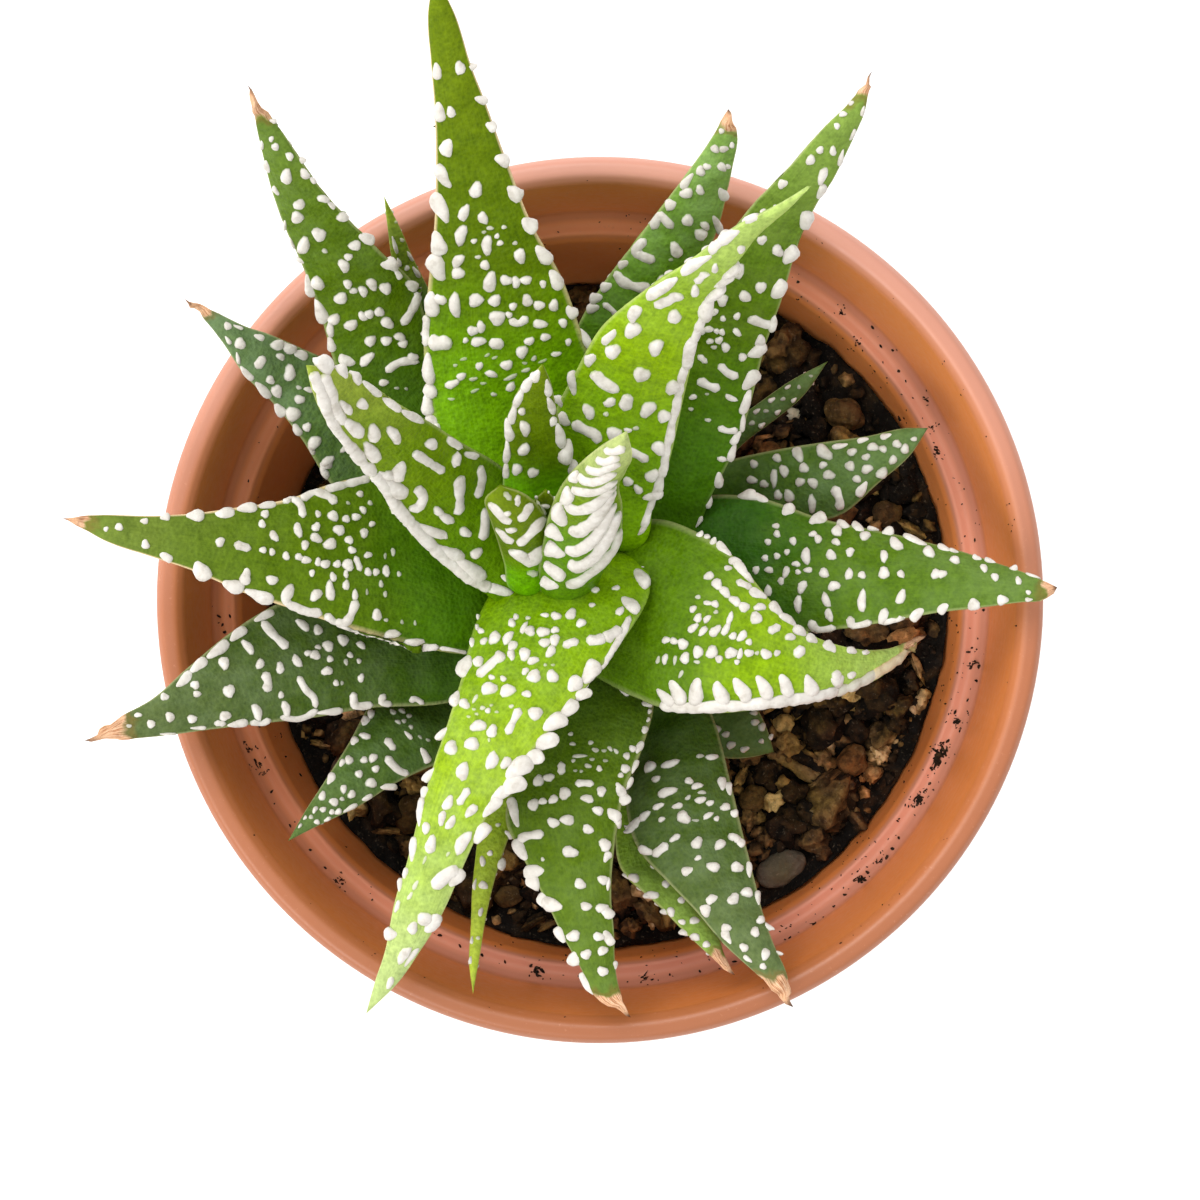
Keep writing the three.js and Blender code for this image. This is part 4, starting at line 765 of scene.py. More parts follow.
def ridge(build, skin, pts, width, height, white=1.0, dry=0.0, links=0.0):
    """A raised bar that follows a line on the leaf: pts are surface points, width and height in mm."""
    P = np.array(pts)
    if len(P) == 2:
        P = np.array([P[0], 0.5 * (P[0] + P[1]), P[1]])
    dense, s, _ = spline(P, 0.32)
    n = len(dense)
    length = np.concatenate([[0], np.cumsum(np.linalg.norm(np.diff(dense, axis=0), axis=1))])
    T = np.gradient(dense, axis=0)
    verts, wart = [], []
    mids = []
    chain = links > 0 and length[-1] > 3.5
    short = not chain and length[-1] < 3.2
    phase = (pts[0][0] * 3.7 + pts[0][1] * 1.3) % 1.0
    cs = [-1.12, -0.97, -0.62, 0.0, 0.62, 0.97, 1.12]
    hs = [-0.10, 0.18, 0.74, 1.0, 0.74, 0.18, -0.10]
    ws = [0.0, 0.8, 1.0, 1.0, 1.0, 0.8, 0.0]
    along = None
    for i in range(n):
        s0, n0, idx = skin.near(dense[i])
        if along is None:
            along = skin.values(idx)["along"]
        t = unit(T[i])
        side = unit(np.cross(n0, t))
        d_end = min(length[i], length[-1] - length[i])
        half = width * 0.5 / max(0.42, math.hypot(side[0], side[1]))
        x = min(1.0, (d_end + 0.04 * half) / half)
        cap = math.sqrt(max(0.02, 1 - (1 - x) ** 2))
        wobble = 1.0 + 0.26 * noise.noise(Vector((i * 0.33, len(build.v) * 0.013, 0.0)))
        lift = 1.0
        if chain:
            link = abs(math.sin(math.pi * (length[i] / links + phase + 0.5 * noise.noise(Vector((length[i] * 0.35, phase * 9, 1.0)))))) ** 0.45
            wobble *= 0.76 + 0.32 * link
            lift = 0.62 + 0.42 * link
        elif short:
            wobble *= 0.84 + 0.26 * abs(math.cos(math.pi * length[i] / length[-1])) ** 1.5
        for c, h, w in zip(cs, hs, ws):
            q = dense[i] + side * (c * half * cap * wobble)
            sq, nq, _ = skin.near(q)
            gap = (q - sq) - nq * np.dot(q - sq, nq)
            if np.linalg.norm(gap) > 0.03:             # past the margin: it hangs over
                sq, nq = sq + 0.92 * gap, n0
            elif np.dot(nq, n0) < 0.1:
                sq, nq = q, n0
            verts.append(sq + nq * (h * height * lift * (0.35 + 0.65 * cap)))
            wart.append(white * (w if 0 < i < n - 1 else min(w, 0.6)))
        mids.append(dense[i] - n0 * (0.3 + 0.2 * height))
    m = len(cs)
    faces = []
    for i in range(n - 1):
        for j in range(m - 1):
            a = i * m + j
            faces.append((a, a + 1, a + m + 1, a + m))
    base = len(verts)
    verts.extend(mids)
    wart.extend([0.0] * n)
    for i in range(n - 1):
        faces.append((i * m, (i + 1) * m, base + i + 1, base + i))
        faces.append((i * m + m - 1, base + i, base + i + 1, (i + 1) * m + m - 1))
    for j in range(m - 1):
        faces.append((j + 1, j, base))
        faces.append(((n - 1) * m + j, (n - 1) * m + j + 1, base + n - 1))
    # columns run from one side to the other; check the winding on the middle of the bar
    i = n // 2
    a, b, c = (np.array(verts[i * m + 3]), np.array(verts[i * m + 4]), np.array(verts[min(i + 1, n - 1) * m + 3]))
    _, n0, _ = skin.near(dense[i])
    if np.dot(np.cross(b - a, c - a), n0) < 0:
        faces = [f[::-1] for f in faces]
    build.add(verts, faces, 0, wart=wart, along=along or 0.5, dry=dry)


# ---------------------------------------------------------------- tubercles read off the view from above, in px
BUMPS = {
    "leaf_01": dict(
        teeth=[(437, 71, 16, 9, 100), (439, 112, 18, 11, 100), (447, 147, 16, 14, 60), (443, 177, 26, 12, 123), (441, 208, 32, 15, 115),
               (438, 243, 24, 15, 105), (437, 268, 28, 17, 120), (431, 304, 24, 16, 95), (428.5, 369, 31, 12, 93), (430, 390, 16, 14, 90), (428, 405, 20, 13, 95),
               (431, 420, 18, 10, 75), (437, 430, 14, 9, -55), (571, 312, 14, 12, -45), (585, 339, 22, 8, -60), (474, 67, 9, 5, -40), (481, 100, 14, 8, -10),
               (491, 126, 12, 10, -20), (502, 160, 16, 12, -20), (514, 193, 18, 15, -35), (529, 225, 18, 15, -40),
               (543, 255, 22, 13, -45), (556, 279, 22, 13, -58)],
        spots=[(460, 68, 13, 9, 90), (451, 112, 10, 8, 90), (476, 190, 14, 12, 90), (464, 213, 17, 9, 70), (483, 218, 12, 9, 100),
               (461, 235, 17, 12, 75), (487, 245, 17, 11, 85), (474, 241, 6, 5, 0), (490, 228, 7, 4, 0), (497, 236, 5, 5, 0),
               (504, 227, 5, 4, 0), (484, 232, 5, 3, 0), (500, 243, 7, 5, 0), (515, 243, 5, 4, 0), (520, 256, 12, 12, 0),
               (458, 261, 13, 10, 30), (478, 257, 6, 4, 0), (485, 265, 10, 8, 0), (458, 273, 14, 10, 15), (490, 282, 22, 11, 80),
               (506, 280, 11, 10, 0), (516, 282, 10, 9, 90), (526, 280, 12, 8, 20), (543, 284, 7, 7, 0),
               (476, 300, 16, 11, 25), (494.7, 300.4, 13, 10, 0), (527.3, 300.4, 11, 10, 0), (513, 306.3, 8, 7, 0), (539, 305.3, 12, 8, 20),
               (553.7, 305.3, 11, 9, 50), (455, 305, 21, 12, 90), (497.3, 317.7, 15, 14, 90), (509, 314.7, 7, 6, 0), (540, 324, 13, 9, 0),
               (563, 323, 9, 8, 0), (473, 330.5, 11, 9, 20), (481, 327, 11, 8, 80), (545.3, 337, 10, 7, 20), (529.3, 341, 10, 7, 25),
               (465.6, 340.3, 6, 5, 0), (478.3, 341.3, 14, 9, 0), (568.3, 342, 7, 6, 45), (522, 351.6, 12, 11, 0), (556, 354, 10, 5, 15),
               (534, 358.3, 7, 4, 45), (542.7, 361, 9, 3, 25), (487.3, 355, 6, 3, 20), (494.7, 357.6, 6, 3, 25), (463.6, 359, 8, 3, 10),
               (506.7, 365, 11, 10, 0), (479.3, 366, 8, 7, 90), (455.3, 365.3, 5, 3, 0), (491.3, 374, 13, 6, -10), (526, 370, 9, 4, 20),
               (524.7, 363, 5, 3, 0), (461.3, 376.3, 9, 7, 0), (473.3, 379, 8, 4, 10), (510.7, 377.3, 16, 4, 25), (452, 384, 14, 8, 20),
               (483.3, 383.3, 6, 3, 0), (510.7, 386.7, 11, 7, 30), (474.7, 390.7, 10, 3, 20), (493.7, 394.3, 6, 4, 0), (451.3, 399, 7, 3, 0)],
        ridges=[(8, [(509, 319.5), (518, 323.5), (528, 317)]), (11, [(489, 343.5), (496, 343.5), (504, 344)]),
                (14, [(428, 341), (440, 343), (452, 341)]), (9, [(427, 315), (424.5, 330), (425.5, 346)]), (9, [(433, 298), (441, 300), (447, 301)])]),
    "leaf_08": dict(
        teeth=[(506, 470, 16, 8, 85), (507, 452, 22, 7, 85), (508, 430, 22, 9, 100), (513, 414, 20, 8, 75), (519, 398, 20, 8, 60),
               (528, 384, 18, 9, 50), (536, 376, 12, 9, 45), (548, 388, 16, 7, 95), (551, 406, 16, 8, 110), (553, 422, 10, 7, 60),
               (560, 436, 24, 10, 100), (567, 452, 26, 10, 75), (574, 466, 16, 8, 110)],
        spots=[(522, 411, 8, 6, 0), (525, 428, 14, 9, 125), (524, 449, 13, 9, 15), (517, 469, 11, 9, 0), (533, 472, 11, 8, 20)]),
    "leaf_09": dict(
        ridges=[(10, [(490, 502), (496, 510), (503, 518), (510, 523)]), (10, [(498, 528), (506, 538), (512, 543)]),
                (9, [(507, 531), (516, 528)]), (9, [(519, 521), (526, 513), (531, 503)]),
                (10, [(519, 545), (528, 536), (538, 526), (545, 519)]),
                (13, [(512, 549), (522, 557), (530, 561), (538, 555), (546, 546)]), (6, [(517, 495), (518, 506)]),
                (7, [(509, 511), (506, 516)]), (6, [(504, 492), (511, 500)], 0.6), (6, [(539, 500), (545, 514)], 0.6),
                (8, [(528, 571), (537, 575)], 0.6)]),
    "leaf_11": dict(
        teeth=[(550, 583, 20, 13, -25), (555, 570, 26, 16, -33), (556, 549.5, 23, 15, -22), (556, 533, 23, 14, -35), (561, 515, 23, 13, -60),
               (567.5, 495, 16, 12, -75), (574.5, 478, 12, 9, -60)],
        ridges=[(12, [(567, 586), (578, 582), (592, 572), (605, 560), (614, 548), (618, 530)], 0.8),
                (14, [(568, 566), (580, 566), (592, 559), (602, 547), (611, 531), (617, 512)], 0.95),
                (13, [(566, 551), (577, 551), (588, 545), (598, 534), (606, 520), (613, 504)]),
                (15, [(569, 531), (579, 531), (589, 525), (598, 516), (605, 505), (612, 492)]),
                (13, [(565, 505), (573, 509), (583, 510), (593, 506), (603, 498), (613, 487)]),
                (11, [(572, 490), (582, 492), (593, 492), (605, 488), (615, 480)]),
                (10, [(578, 477), (589, 482), (602, 480), (615, 472)]), (9, [(586, 469), (597, 472), (609, 468), (619, 462)], 0.9),
                (9, [(596, 460), (606, 462), (619, 456)], 0.9), (8, [(604, 450), (614, 452), (625, 447)], 0.85)]),
    "leaf_07": dict(
        ridges=[(11, [(459, 476), (460, 495), (459, 514)]), (9, [(479, 466), (482, 480), (477, 498)]),
                (9, [(484, 508), (485, 524), (483, 540)]), (9, [(413, 452), (428, 462), (444, 472)]),
                (10, [(416, 487), (423, 499), (418, 508), (409, 507)]),
                (13, [(312, 372), (321, 390), (327, 410), (337, 431), (349, 446), (361, 461), (374, 475)], 0.95),
                (14, [(373, 474), (386, 488), (393, 503), (404, 517), (417, 531), (430, 545), (444, 557), (458, 569), (474, 580), (490, 589)]),
                (12, [(322, 374), (331, 392), (336, 410), (345, 424)], 0.85)],
        spots=[(465, 532, 10, 10, 0), (456, 459, 13, 8, 80), (454, 443, 14, 9, 150), (471, 455, 14, 7, 170), (446, 518, 16, 9, 140),
               (476, 553, 12, 9, 45), (438, 511, 9, 9, 0), (431, 444, 11, 10, 0), (454, 463, 8, 5, 90), (443, 534, 10, 7, 135), (345.7, 407.3, 13, 9, -60), (353.8, 428, 20, 14, -50),
               (373.6, 433, 15, 11, 80), (372, 452.8, 20, 13, -50), (394, 435, 16, 11, -70), (362, 403.7, 10, 9, 0), (388.3, 474.8, 12, 8, 0)],
        teeth=[(326, 362, 24, 8, -15), (343, 368, 14, 8, -35), (357, 375.5, 12, 7, -35), (372, 389, 20, 8, -40), (392, 404.5, 20, 9, -35),
               (413, 417, 20, 9, -25), (455, 444, 14, 8, -35), (470.7, 455.3, 13, 7, -15), (393, 487, 28, 17, 140), (399, 471, 22, 10, 60), (386, 476, 14, 8, 150), (429, 530, 36, 10, 160),
               (448, 552, 34, 12, 165), (470, 570, 34, 16, 145), (500, 590, 30, 12, 165), (506, 578, 12, 7, 150)]),
    "leaf_12": dict(
        spots=[(632.6, 330, 15, 14, 0), (613, 351, 14, 14, 0), (656, 347, 15, 14, 60), (641.6, 374, 15, 13, 0), (674.5, 316, 13, 11, 20),
               (695, 291, 9, 9, 0), (715, 268.6, 7, 7, 0), (741, 249, 8, 7, 0), (648, 409, 17, 12, 25), (610, 402, 12, 8, 0),
               (589, 411, 14, 10, 125), (606, 414, 6, 4, 0), (614, 433, 14, 12, 20), (628, 430, 8, 5, 0), (636, 428, 6, 4, 0),
               (628, 481, 10, 8, 0), (638, 489, 10, 7, 130), (652, 475, 14, 10, 10), (659, 448, 14, 13, 0), (664, 416, 12, 12, 0),
               (673, 387, 14, 12, 0)],
        ridges=[(9, [(696, 283), (707, 272)]), (12, [(593, 371), (603, 382), (619, 391)]), (12, [(629, 394), (624, 410)]),
                (10, [(655, 307), (673, 298), (682, 294)]), (10, [(572, 423), (585, 430), (596, 436), (597, 443)]),
                (9, [(627, 450), (638, 455), (648, 461)]),
                (8, [(712, 297), (701, 322), (690, 350), (683, 376), (676, 406), (670, 432), (664, 464), (658, 486), (650, 508), (643, 528)])],
        teeth=[(749, 216.5, 10, 9, 30), (729, 237, 24, 10, 25), (716.5, 246, 18, 10, 40), (696, 264, 34, 10, 25), (662, 289, 34, 11, 25),
               (635, 313, 16, 12, 30), (610, 336.6, 20, 9, 40), (590.6, 359, 14, 10, 35), (572.5, 384, 24, 9, 100), (558, 400, 12, 9, 10),
               (564, 420, 16, 10, 140), (732, 271, 20, 9, 45), (725.5, 281, 18, 9, 50), (716.5, 293.6, 22, 9, 50), (707, 307, 26, 9, 65),
               (700.6, 323, 20, 9, 60), (690, 350, 36, 13, 75), (683.6, 372, 24, 9, 75), (677, 406, 26, 9, 75), (671, 430, 30, 9, 80),
               (665, 464, 26, 8, 80), (660, 484, 20, 8, 75), (653, 496, 22, 8, 15), (648, 516, 26, 6, 70), (642, 530, 14, 5, 50)]),
    "leaf_13": dict(
        teeth=[(862.7, 111, 10, 4, 75), (852.5, 135, 12, 4, 65), (841, 157.5, 16, 5, 75), (821, 191.5, 14, 8, 60), (806, 220, 18, 14, 60),
               (790, 255, 20, 14, 45), (779, 290, 20, 14, 50), (773, 324, 16, 8, 80), (759.5, 341, 12, 8, 50), (757, 351, 22, 11, 25),
               (750, 380, 24, 13, 45), (746, 402, 26, 10, 70), (743, 422, 20, 6, 85), (736, 438, 16, 8, 55), (732, 452, 20, 8, 75),
               (719, 480, 16, 9, 85), (709, 502, 14, 7, 75), (699, 522, 14, 4, 60), (783, 184, 10, 8, 20)],
        spots=[(843, 114, 7, 6, 0), (851, 103, 5, 5, 0), (837, 126, 6, 6, 0), (820, 150, 8, 6, 30), (833, 151, 8, 7, 90),
               (810.6, 160, 10, 8, 20), (822.6, 176, 17, 8, 65), (775, 210, 7, 6, 0), (777.7, 250.5, 11, 10, 0), (760.7, 287, 10, 10, 0),
               (762, 240, 9, 8, 0), (739, 272, 14, 9, 75), (745, 296, 11, 10, -30), (722.6, 300, 11, 10, 0), (715, 312, 7, 6, 60),
               (723, 318.5, 6, 5, 0), (737, 316, 7, 6, 0), (737, 332, 9, 6, -30), (708.5, 329, 9, 6, 0), (716.5, 331, 6, 5, 0),
               (722, 332, 6, 6, 0), (702, 331, 8, 6, 0), (710, 341, 7, 5, 0), (719, 340, 8, 6, 0), (714, 347, 6, 4, 0),
               (725.5, 347, 9, 8, 0), (742.5, 357, 9, 7, 0), (693, 397, 8, 5, 0), (731, 398, 12, 6, -20), (691, 409, 5, 4, 0),
               (708, 420, 6, 4, 0), (707, 394, 4, 3, 0)],
        ridges=[(10, [(749, 317), (759, 322), (773, 325)]), (8, [(719, 364), (728, 373), (738, 377.5)]), (6, [(698, 355), (707, 363)]),
                (8, [(698, 379), (707, 385), (720, 389)]), (7, [(718, 427), (728, 431), (738, 430)]), (6, [(717, 458), (727, 460)])]),
    "leaf_14": dict(
        spots=[(721.5, 131, 6, 5, 0), (715, 149, 9, 7, -20), (723.7, 149, 9, 6, 0), (700.6, 171, 9, 9, 0), (707, 166.6, 8, 6, 0),
               (722, 167, 9, 8, -40), (728, 166.5, 5, 5, 0), (686.5, 193, 12, 9, -15), (700, 190, 9, 7, -20), (687.7, 220, 12, 9, -20),
               (705, 225.5, 9, 7, -30), (700.6, 234, 13, 9, -10), (676, 250, 13, 11, -20), (671, 259.5, 5, 3, 0), (662, 280, 10, 9, 0)],
        teeth=[(732, 145, 6, 5, 90), (687, 181, 18, 8, 50), (722.6, 194, 14, 9, -50), (671, 205, 12, 10, 20), (717.5, 224, 20, 9, -55),
               (623.5, 264, 12, 8, 25), (606.5, 287, 13, 9, 15), (596, 298, 14, 10, 20), (593, 308, 14, 9, 15)],
        ridges=[(9, [(652, 229), (660, 216), (673, 228)]), (9, [(646, 239), (636, 250.5), (655, 261)]),
                (9, [(615.6, 271), (621, 280), (637, 287), (651, 288)]), (6, [(603, 303), (614, 312), (618, 318.5)]),
                (7, [(583, 337), (590.6, 347)])]),
    "leaf_16": dict(
        spots=[(754, 464, 8, 8, 0), (752, 480, 10, 8, 0), (764, 484, 8, 8, 0), (774, 478, 18, 7, 85), (784, 471, 12, 9, 90),
               (777, 458, 9, 8, 0), (778, 495, 10, 8, 80), (789, 496, 14, 9, 100), (798, 454, 18, 9, 110), (804, 468, 10, 9, 0),
               (800, 482, 10, 8, 0), (813, 483, 11, 9, 110), (824, 452, 18, 12, 120), (823, 465, 8, 7, 0), (829, 475, 11, 10, 0),
               (812, 504, 18, 8, 90), (852, 452, 9, 8, 0), (850, 466, 10, 9, 0), (857, 479, 8, 8, 0), (866, 457, 8, 7, 0),
               (867, 469, 11, 9, 0), (873, 447, 10, 9, 0), (883, 449, 8, 7, 0), (882, 473, 11, 11, 0), (893, 460, 9, 8, 90),
               (897, 444, 9, 8, 0), (905, 449, 9, 9, 0), (914, 439, 6, 5, 0)],
        teeth=[(840, 446, 16, 6, 10), (863, 440, 12, 6, 15), (886, 436, 12, 6, 15), (862, 489, 18, 9, 60)],
        ridges=[(9, [(834, 486), (840, 504), (838, 510)])]),
    "leaf_17": dict(
        teeth=[(749, 493, 24, 6, -15), (760, 498, 18, 8, -20), (788, 510, 16, 11, 40), (817, 519, 20, 12, 25), (843, 525, 14, 9, -25),
               (858, 527, 14, 8, -35), (873, 529, 12, 5, -10), (888, 531, 18, 7, -30), (915, 540, 26, 7, -25), (917, 614, 18, 10, 45),
               (944, 548, 14, 6, -25), (954, 551, 10, 4, -20), (977, 558, 10, 5, -20), (990, 561, 12, 5, -20), (1013, 568, 12, 6, -35),
               (1033, 576, 16, 4, -20), (943, 608, 14, 9, 50), (974, 604, 13, 12, 100), (1003, 600, 12, 10, 0), (1029, 599.6, 8, 4, 0),
               (900, 619, 12, 4, 20)],
        spots=[(837, 531, 11, 10, 0), (865, 536, 10, 9, 0), (896, 544, 14, 11, -60), (929, 552, 11, 11, 0), (813, 534, 8, 6, 0),
               (818, 539, 8, 8, 0), (836, 542, 8, 7, 0), (793, 541, 8, 7, 70), (831, 555, 11, 9, 90), (850, 552, 9, 8, 90),
               (884, 556, 11, 8, 90), (806, 556, 16, 9, 100), (777, 534, 7, 7, 0), (768, 542, 7, 6, 0), (776, 526, 8, 5, 0),
               (787, 552, 7, 5, 60), (765, 558, 7, 6, 0), (777, 556, 7, 6, 0), (796, 564, 8, 6, 0), (756, 570, 9, 6, 80),
               (769, 570, 8, 7, 0), (786, 572, 11, 7, 75), (798, 572, 6, 5, 0), (808, 570, 8, 6, 0), (824, 573, 10, 9, 0),
               (849, 574, 11, 8, 90), (862, 575, 8, 7, 90), (884, 573, 11, 11, 0), (901, 574, 8, 7, 90), (936, 574, 10, 9, 0),
               (781, 581, 8, 6, 70), (834, 586, 11, 10, 30), (802, 587, 14, 8, 75), (768, 591, 12, 7, 95), (798, 604, 16, 8, 95),
               (826, 600, 14, 8, 105), (829, 615, 14, 7, 100), (862, 601, 20, 9, 85), (901, 597, 14, 9, 60),
               (955, 560, 9, 8, 0), (984, 568, 8, 7, 90), (995, 577, 8, 7, 90), (1018.4, 580.6, 8, 6, 90), (1028.4, 592.4, 5, 5, 0), (942, 574, 9, 8, 0)],
        ridges=[(9, [(810, 620), (816, 630), (836, 628)]), (8, [(850, 616), (852, 626), (872, 622)]),
                (8, [(886, 608), (882, 624), (904, 618)])]),
    "leaf_18": dict(
        teeth=[(700, 533, 6, 6, 0), (707, 537, 6, 6, 0), (713, 540, 7, 7, 0), (724, 549, 20, 8, -45), (735, 561, 14, 9, 0),
               (742, 570, 24, 9, -50), (749, 578, 14, 8, -50), (758, 594, 20, 9, -25), (776, 609, 18, 10, -45), (788, 620, 24, 8, -35),
               (800, 631, 16, 10, -35), (812, 639, 14, 9, -35), (830, 647, 16, 10, -40), (852, 651, 12, 7, -20), (866, 652.4, 9, 5, 0),
               (665, 697, 24, 11, -45), (677, 691, 30, 13, -66), (696, 691, 30, 14, 82), (720, 692, 28, 14, -68), (741, 689, 30, 13, -60),
               (764, 687, 28, 13, -58), (785, 685, 26, 13, -64), (810, 685, 24, 13, -70), (838, 680, 14, 12, 40), (852, 675, 10, 7, 20)],
        spots=[(709, 576, 10, 8, 0), (717, 584, 12, 9, -40), (725, 592, 12, 9, -40), (735, 601, 12, 9, -30), (744, 607, 12, 9, -30),
               (756, 618, 13, 11, 0), (760, 607, 12, 8, 0), (728, 568, 9, 5, 0), (790, 637, 10, 8, 0), (693, 609, 8, 6, 30),
               (698, 597, 6, 4, 0), (708, 603, 9, 5, 0), (715, 604, 8, 7, 0), (716, 612, 5, 4, 0), (698, 618, 10, 7, 50),
               (707, 619, 9, 6, 60), (693, 628, 12, 7, 50), (703, 631, 12, 6, 45), (715, 631, 13, 9, 50), (726, 629, 14, 7, 55),
               (730, 618, 12, 6, 75), (733, 636, 8, 7, 0), (742, 636, 14, 7, 50), (666, 640, 8, 7, 0), (674, 641, 8, 7, 0),
               (683, 644, 11, 10, 0), (749, 642, 7, 6, 60), (698, 652, 12, 10, 60), (712, 652, 12, 12, 0), (731, 653, 13, 10, 45),
               (740, 654, 10, 6, 75), (749, 653, 9, 8, 0), (757, 653, 5, 4, 0), (766, 654, 11, 10, 0), (777, 653, 7, 6, 0),
               (665, 659, 10, 6, 80), (675, 660, 9, 4, 80), (685, 658, 13, 8, 75), (719, 659, 8, 7, 0), (697, 662, 6, 4, 0),
               (737, 662, 6, 5, 0), (658, 660, 8, 4, 80), (681, 674, 8, 4, 60), (836, 676, 12, 9, 60)],
        ridges=[(9, [(768, 632), (780, 626)]), (7, [(736, 581), (752, 588)]), (11, [(794, 656), (804, 648)]),
                (12, [(660, 705.5), (684, 708), (700, 708), (718, 707), (740, 706), (760, 704), (780, 702), (800, 699), (820, 696), (839, 691)]),
                (11, [(835, 693), (849, 688), (863, 681.5), (878, 673)], 0.72, 0.5),
                (11, [(871, 677), (881, 671), (894, 663), (907, 653), (917, 644)], 0.45, 0.8)]),
    "leaf_19": dict(
        teeth=[(647, 560, 24, 9, 100), (641, 578, 22, 12, 130), (630, 604, 24, 12, 145), (465, 666, 24, 12, 65), (590.5, 672, 26, 17, 60),
               (574.7, 684, 18, 14, 55), (586, 698, 18, 9, 50), (554, 722, 28, 17, 30), (570, 711, 26, 12, 70), (554, 749.3, 26, 9, 50),
               (518, 768, 33, 19, 40), (538, 764, 24, 14, 35), (500, 794, 26, 12, 35), (524, 793, 28, 9, 45), (456, 698.7, 17, 10, 70),
               (442.7, 733, 20, 10, 75), (472, 642.7, 10, 6, 90), (477.3, 627.3, 6, 4, 80), (429, 775, 20, 10, 80), (420, 812, 30, 7, 85),
               (424, 793, 14, 8, 75), (491.3, 807, 28, 11, 45), (480, 833, 24, 15, 60), (456, 878, 22, 13, 50), (433, 924, 24, 12, 50),
               (412.7, 849.3, 26, 8, 85), (405.3, 873.3, 12, 6, 75), (400, 885.3, 15, 5, 85), (397.3, 906.7, 14, 5, 70), (390.7, 934, 14, 13, 0),
               (411, 957, 26, 6, 55), (478, 617, 5, 4, 80)],
        spots=[(595, 590, 8, 6, 0), (616, 588, 8, 5, 0), (620, 611, 10, 7, 60), (571, 614, 12, 9, 30), (581, 623, 10, 8, 0),
               (556, 616, 10, 8, 0), (543, 632, 12, 10, 0), (530, 631, 11, 9, 0), (516, 617, 6, 6, 0), (512, 623, 8, 8, 0),
               (528, 618, 5, 4, 0), (524, 628, 12, 6, 60), (555, 630, 8, 7, 0), (508, 638, 15, 8, 65), (494.7, 638, 15, 9, 60),
               (484, 641.3, 8, 6, 45), (480.7, 630.7, 7, 6, 0), (592, 605, 6, 5, 0), (545, 615, 8, 5, 0), (512.7, 646, 12, 8, 40),
               (511.3, 654.7, 10, 8, 90), (524.7, 654, 12, 12, 0), (533, 660.7, 11, 8, 25), (544.7, 642.7, 12, 8, 20), (554.7, 640, 12, 9, 50),
               (550.7, 651.3, 12, 9, 70), (545.3, 665, 4, 3, 0), (553, 665, 4, 3, 0), (525.3, 671.3, 8, 6, 30), (534, 676.3, 15, 11, 15),
               (552.4, 676.3, 12, 12, 0), (478.7, 662, 10, 10, 0), (500, 657, 12, 10, 45), (491.7, 677.3, 7, 5, 0), (503.3, 678.7, 6, 6, 0),
               (489.3, 688.7, 15, 13, 20), (507.6, 690.7, 15, 12, 0), (526.7, 694, 9, 7, -20), (535.3, 713.3, 15, 12, 30), (511.3, 706.4, 5, 4, 0),
               (451.3, 748, 14, 12, 30), (472, 744, 14, 13, 50), (478.4, 726, 16, 11, 25), (492, 731.3, 12, 11, 60), (489, 740, 4, 3, 90),
               (492, 760.7, 19, 11, 60), (506, 762.7, 12, 10, 50), (462.7, 771.3, 18, 12, 65), (464.7, 704, 10, 10, 0), (475.3, 698.7, 9, 4, 60),
               (482.7, 708, 6, 4, 0), (488, 710.7, 6, 5, 0), (474, 709.3, 4, 3, 0), (476.7, 714, 4, 3, 0), (491.3, 705.3, 4, 3, 0),
               (496.7, 712, 4, 3, 0), (468.7, 716.7, 4, 3, 0), (448, 803, 16, 9, 70), (471.3, 810.7, 15, 9, 55), (442, 818, 14, 8, 75),
               (450.7, 822.7, 15, 8, 65), (426.3, 828, 11, 8, 80), (431, 844.7, 17, 11, 75), (462.7, 842.7, 25, 12, 65), (424.7, 860, 9, 3, 65),
               (448, 854, 6, 3, 60), (415.3, 885.3, 12, 4, 60), (410, 896, 9, 4, 60), (424.7, 918.7, 14, 14, 0), (412.7, 928, 14, 9, 60),
               (404, 954.7, 20, 9, 60), (390, 982.7, 14, 6, 60)],
        ridges=[(8, [(563, 647), (570, 643), (579, 641)]), (9, [(477, 676), (487, 667.5), (496, 659), (503, 654)]),
                (12, [(586, 640), (597, 640), (606, 637)]), (12, [(604, 640), (612, 634), (622, 629)]),
                (7, [(630, 616), (622, 634), (611, 654), (602, 671)]), (8, [(506.7, 734.5), (513.3, 721.3), (520, 708)]),
                (14, [(433, 888), (441, 880), (452, 872), (459, 871)]), (8, [(458, 805), (463, 797), (469, 788)])]),
    "leaf_04": dict(
        teeth=[(246, 576, 19, 10, 80), (233, 586, 22, 13, -22), (259, 596, 30, 12, -22), (195, 515.5, 18, 12, 4), (224.5, 513.5, 20, 11, 6), (247, 508, 20, 10, 8), (267, 505, 18, 8, 10), (165, 517, 10, 8, 0), (144, 521, 8, 6, 0), (145, 544, 10, 8, 90), (166, 557, 14, 9, -30), (201, 571, 22, 16, 120)],
        ridges=[
                (7, [(283, 503), (292, 498), (300, 504), (303, 518)]), (8, [(301, 500), (314, 492), (326, 495), (337, 503)]),
                (8, [(325, 490), (343, 485), (370, 478)]), (9, [(234, 544), (251, 549)]),
                (9, [(292, 584), (286, 600), (300, 610), (322, 614)]), (8, [(357, 600), (343, 623), (334, 621)]),
                (8, [(325, 614), (336, 624), (355, 634), (377, 640), (400, 647), (422, 649), (439, 647)]),
                (4, [(439, 648), (453, 650), (467, 653)]), (6, [(355, 556), (361, 571)])],
        spots=[(106, 529, 5, 5, 0), (119, 527, 8, 7, 90), (220, 542, 9, 9, 0), (262, 524, 8, 7, 90), (265, 514, 9, 7, 90),
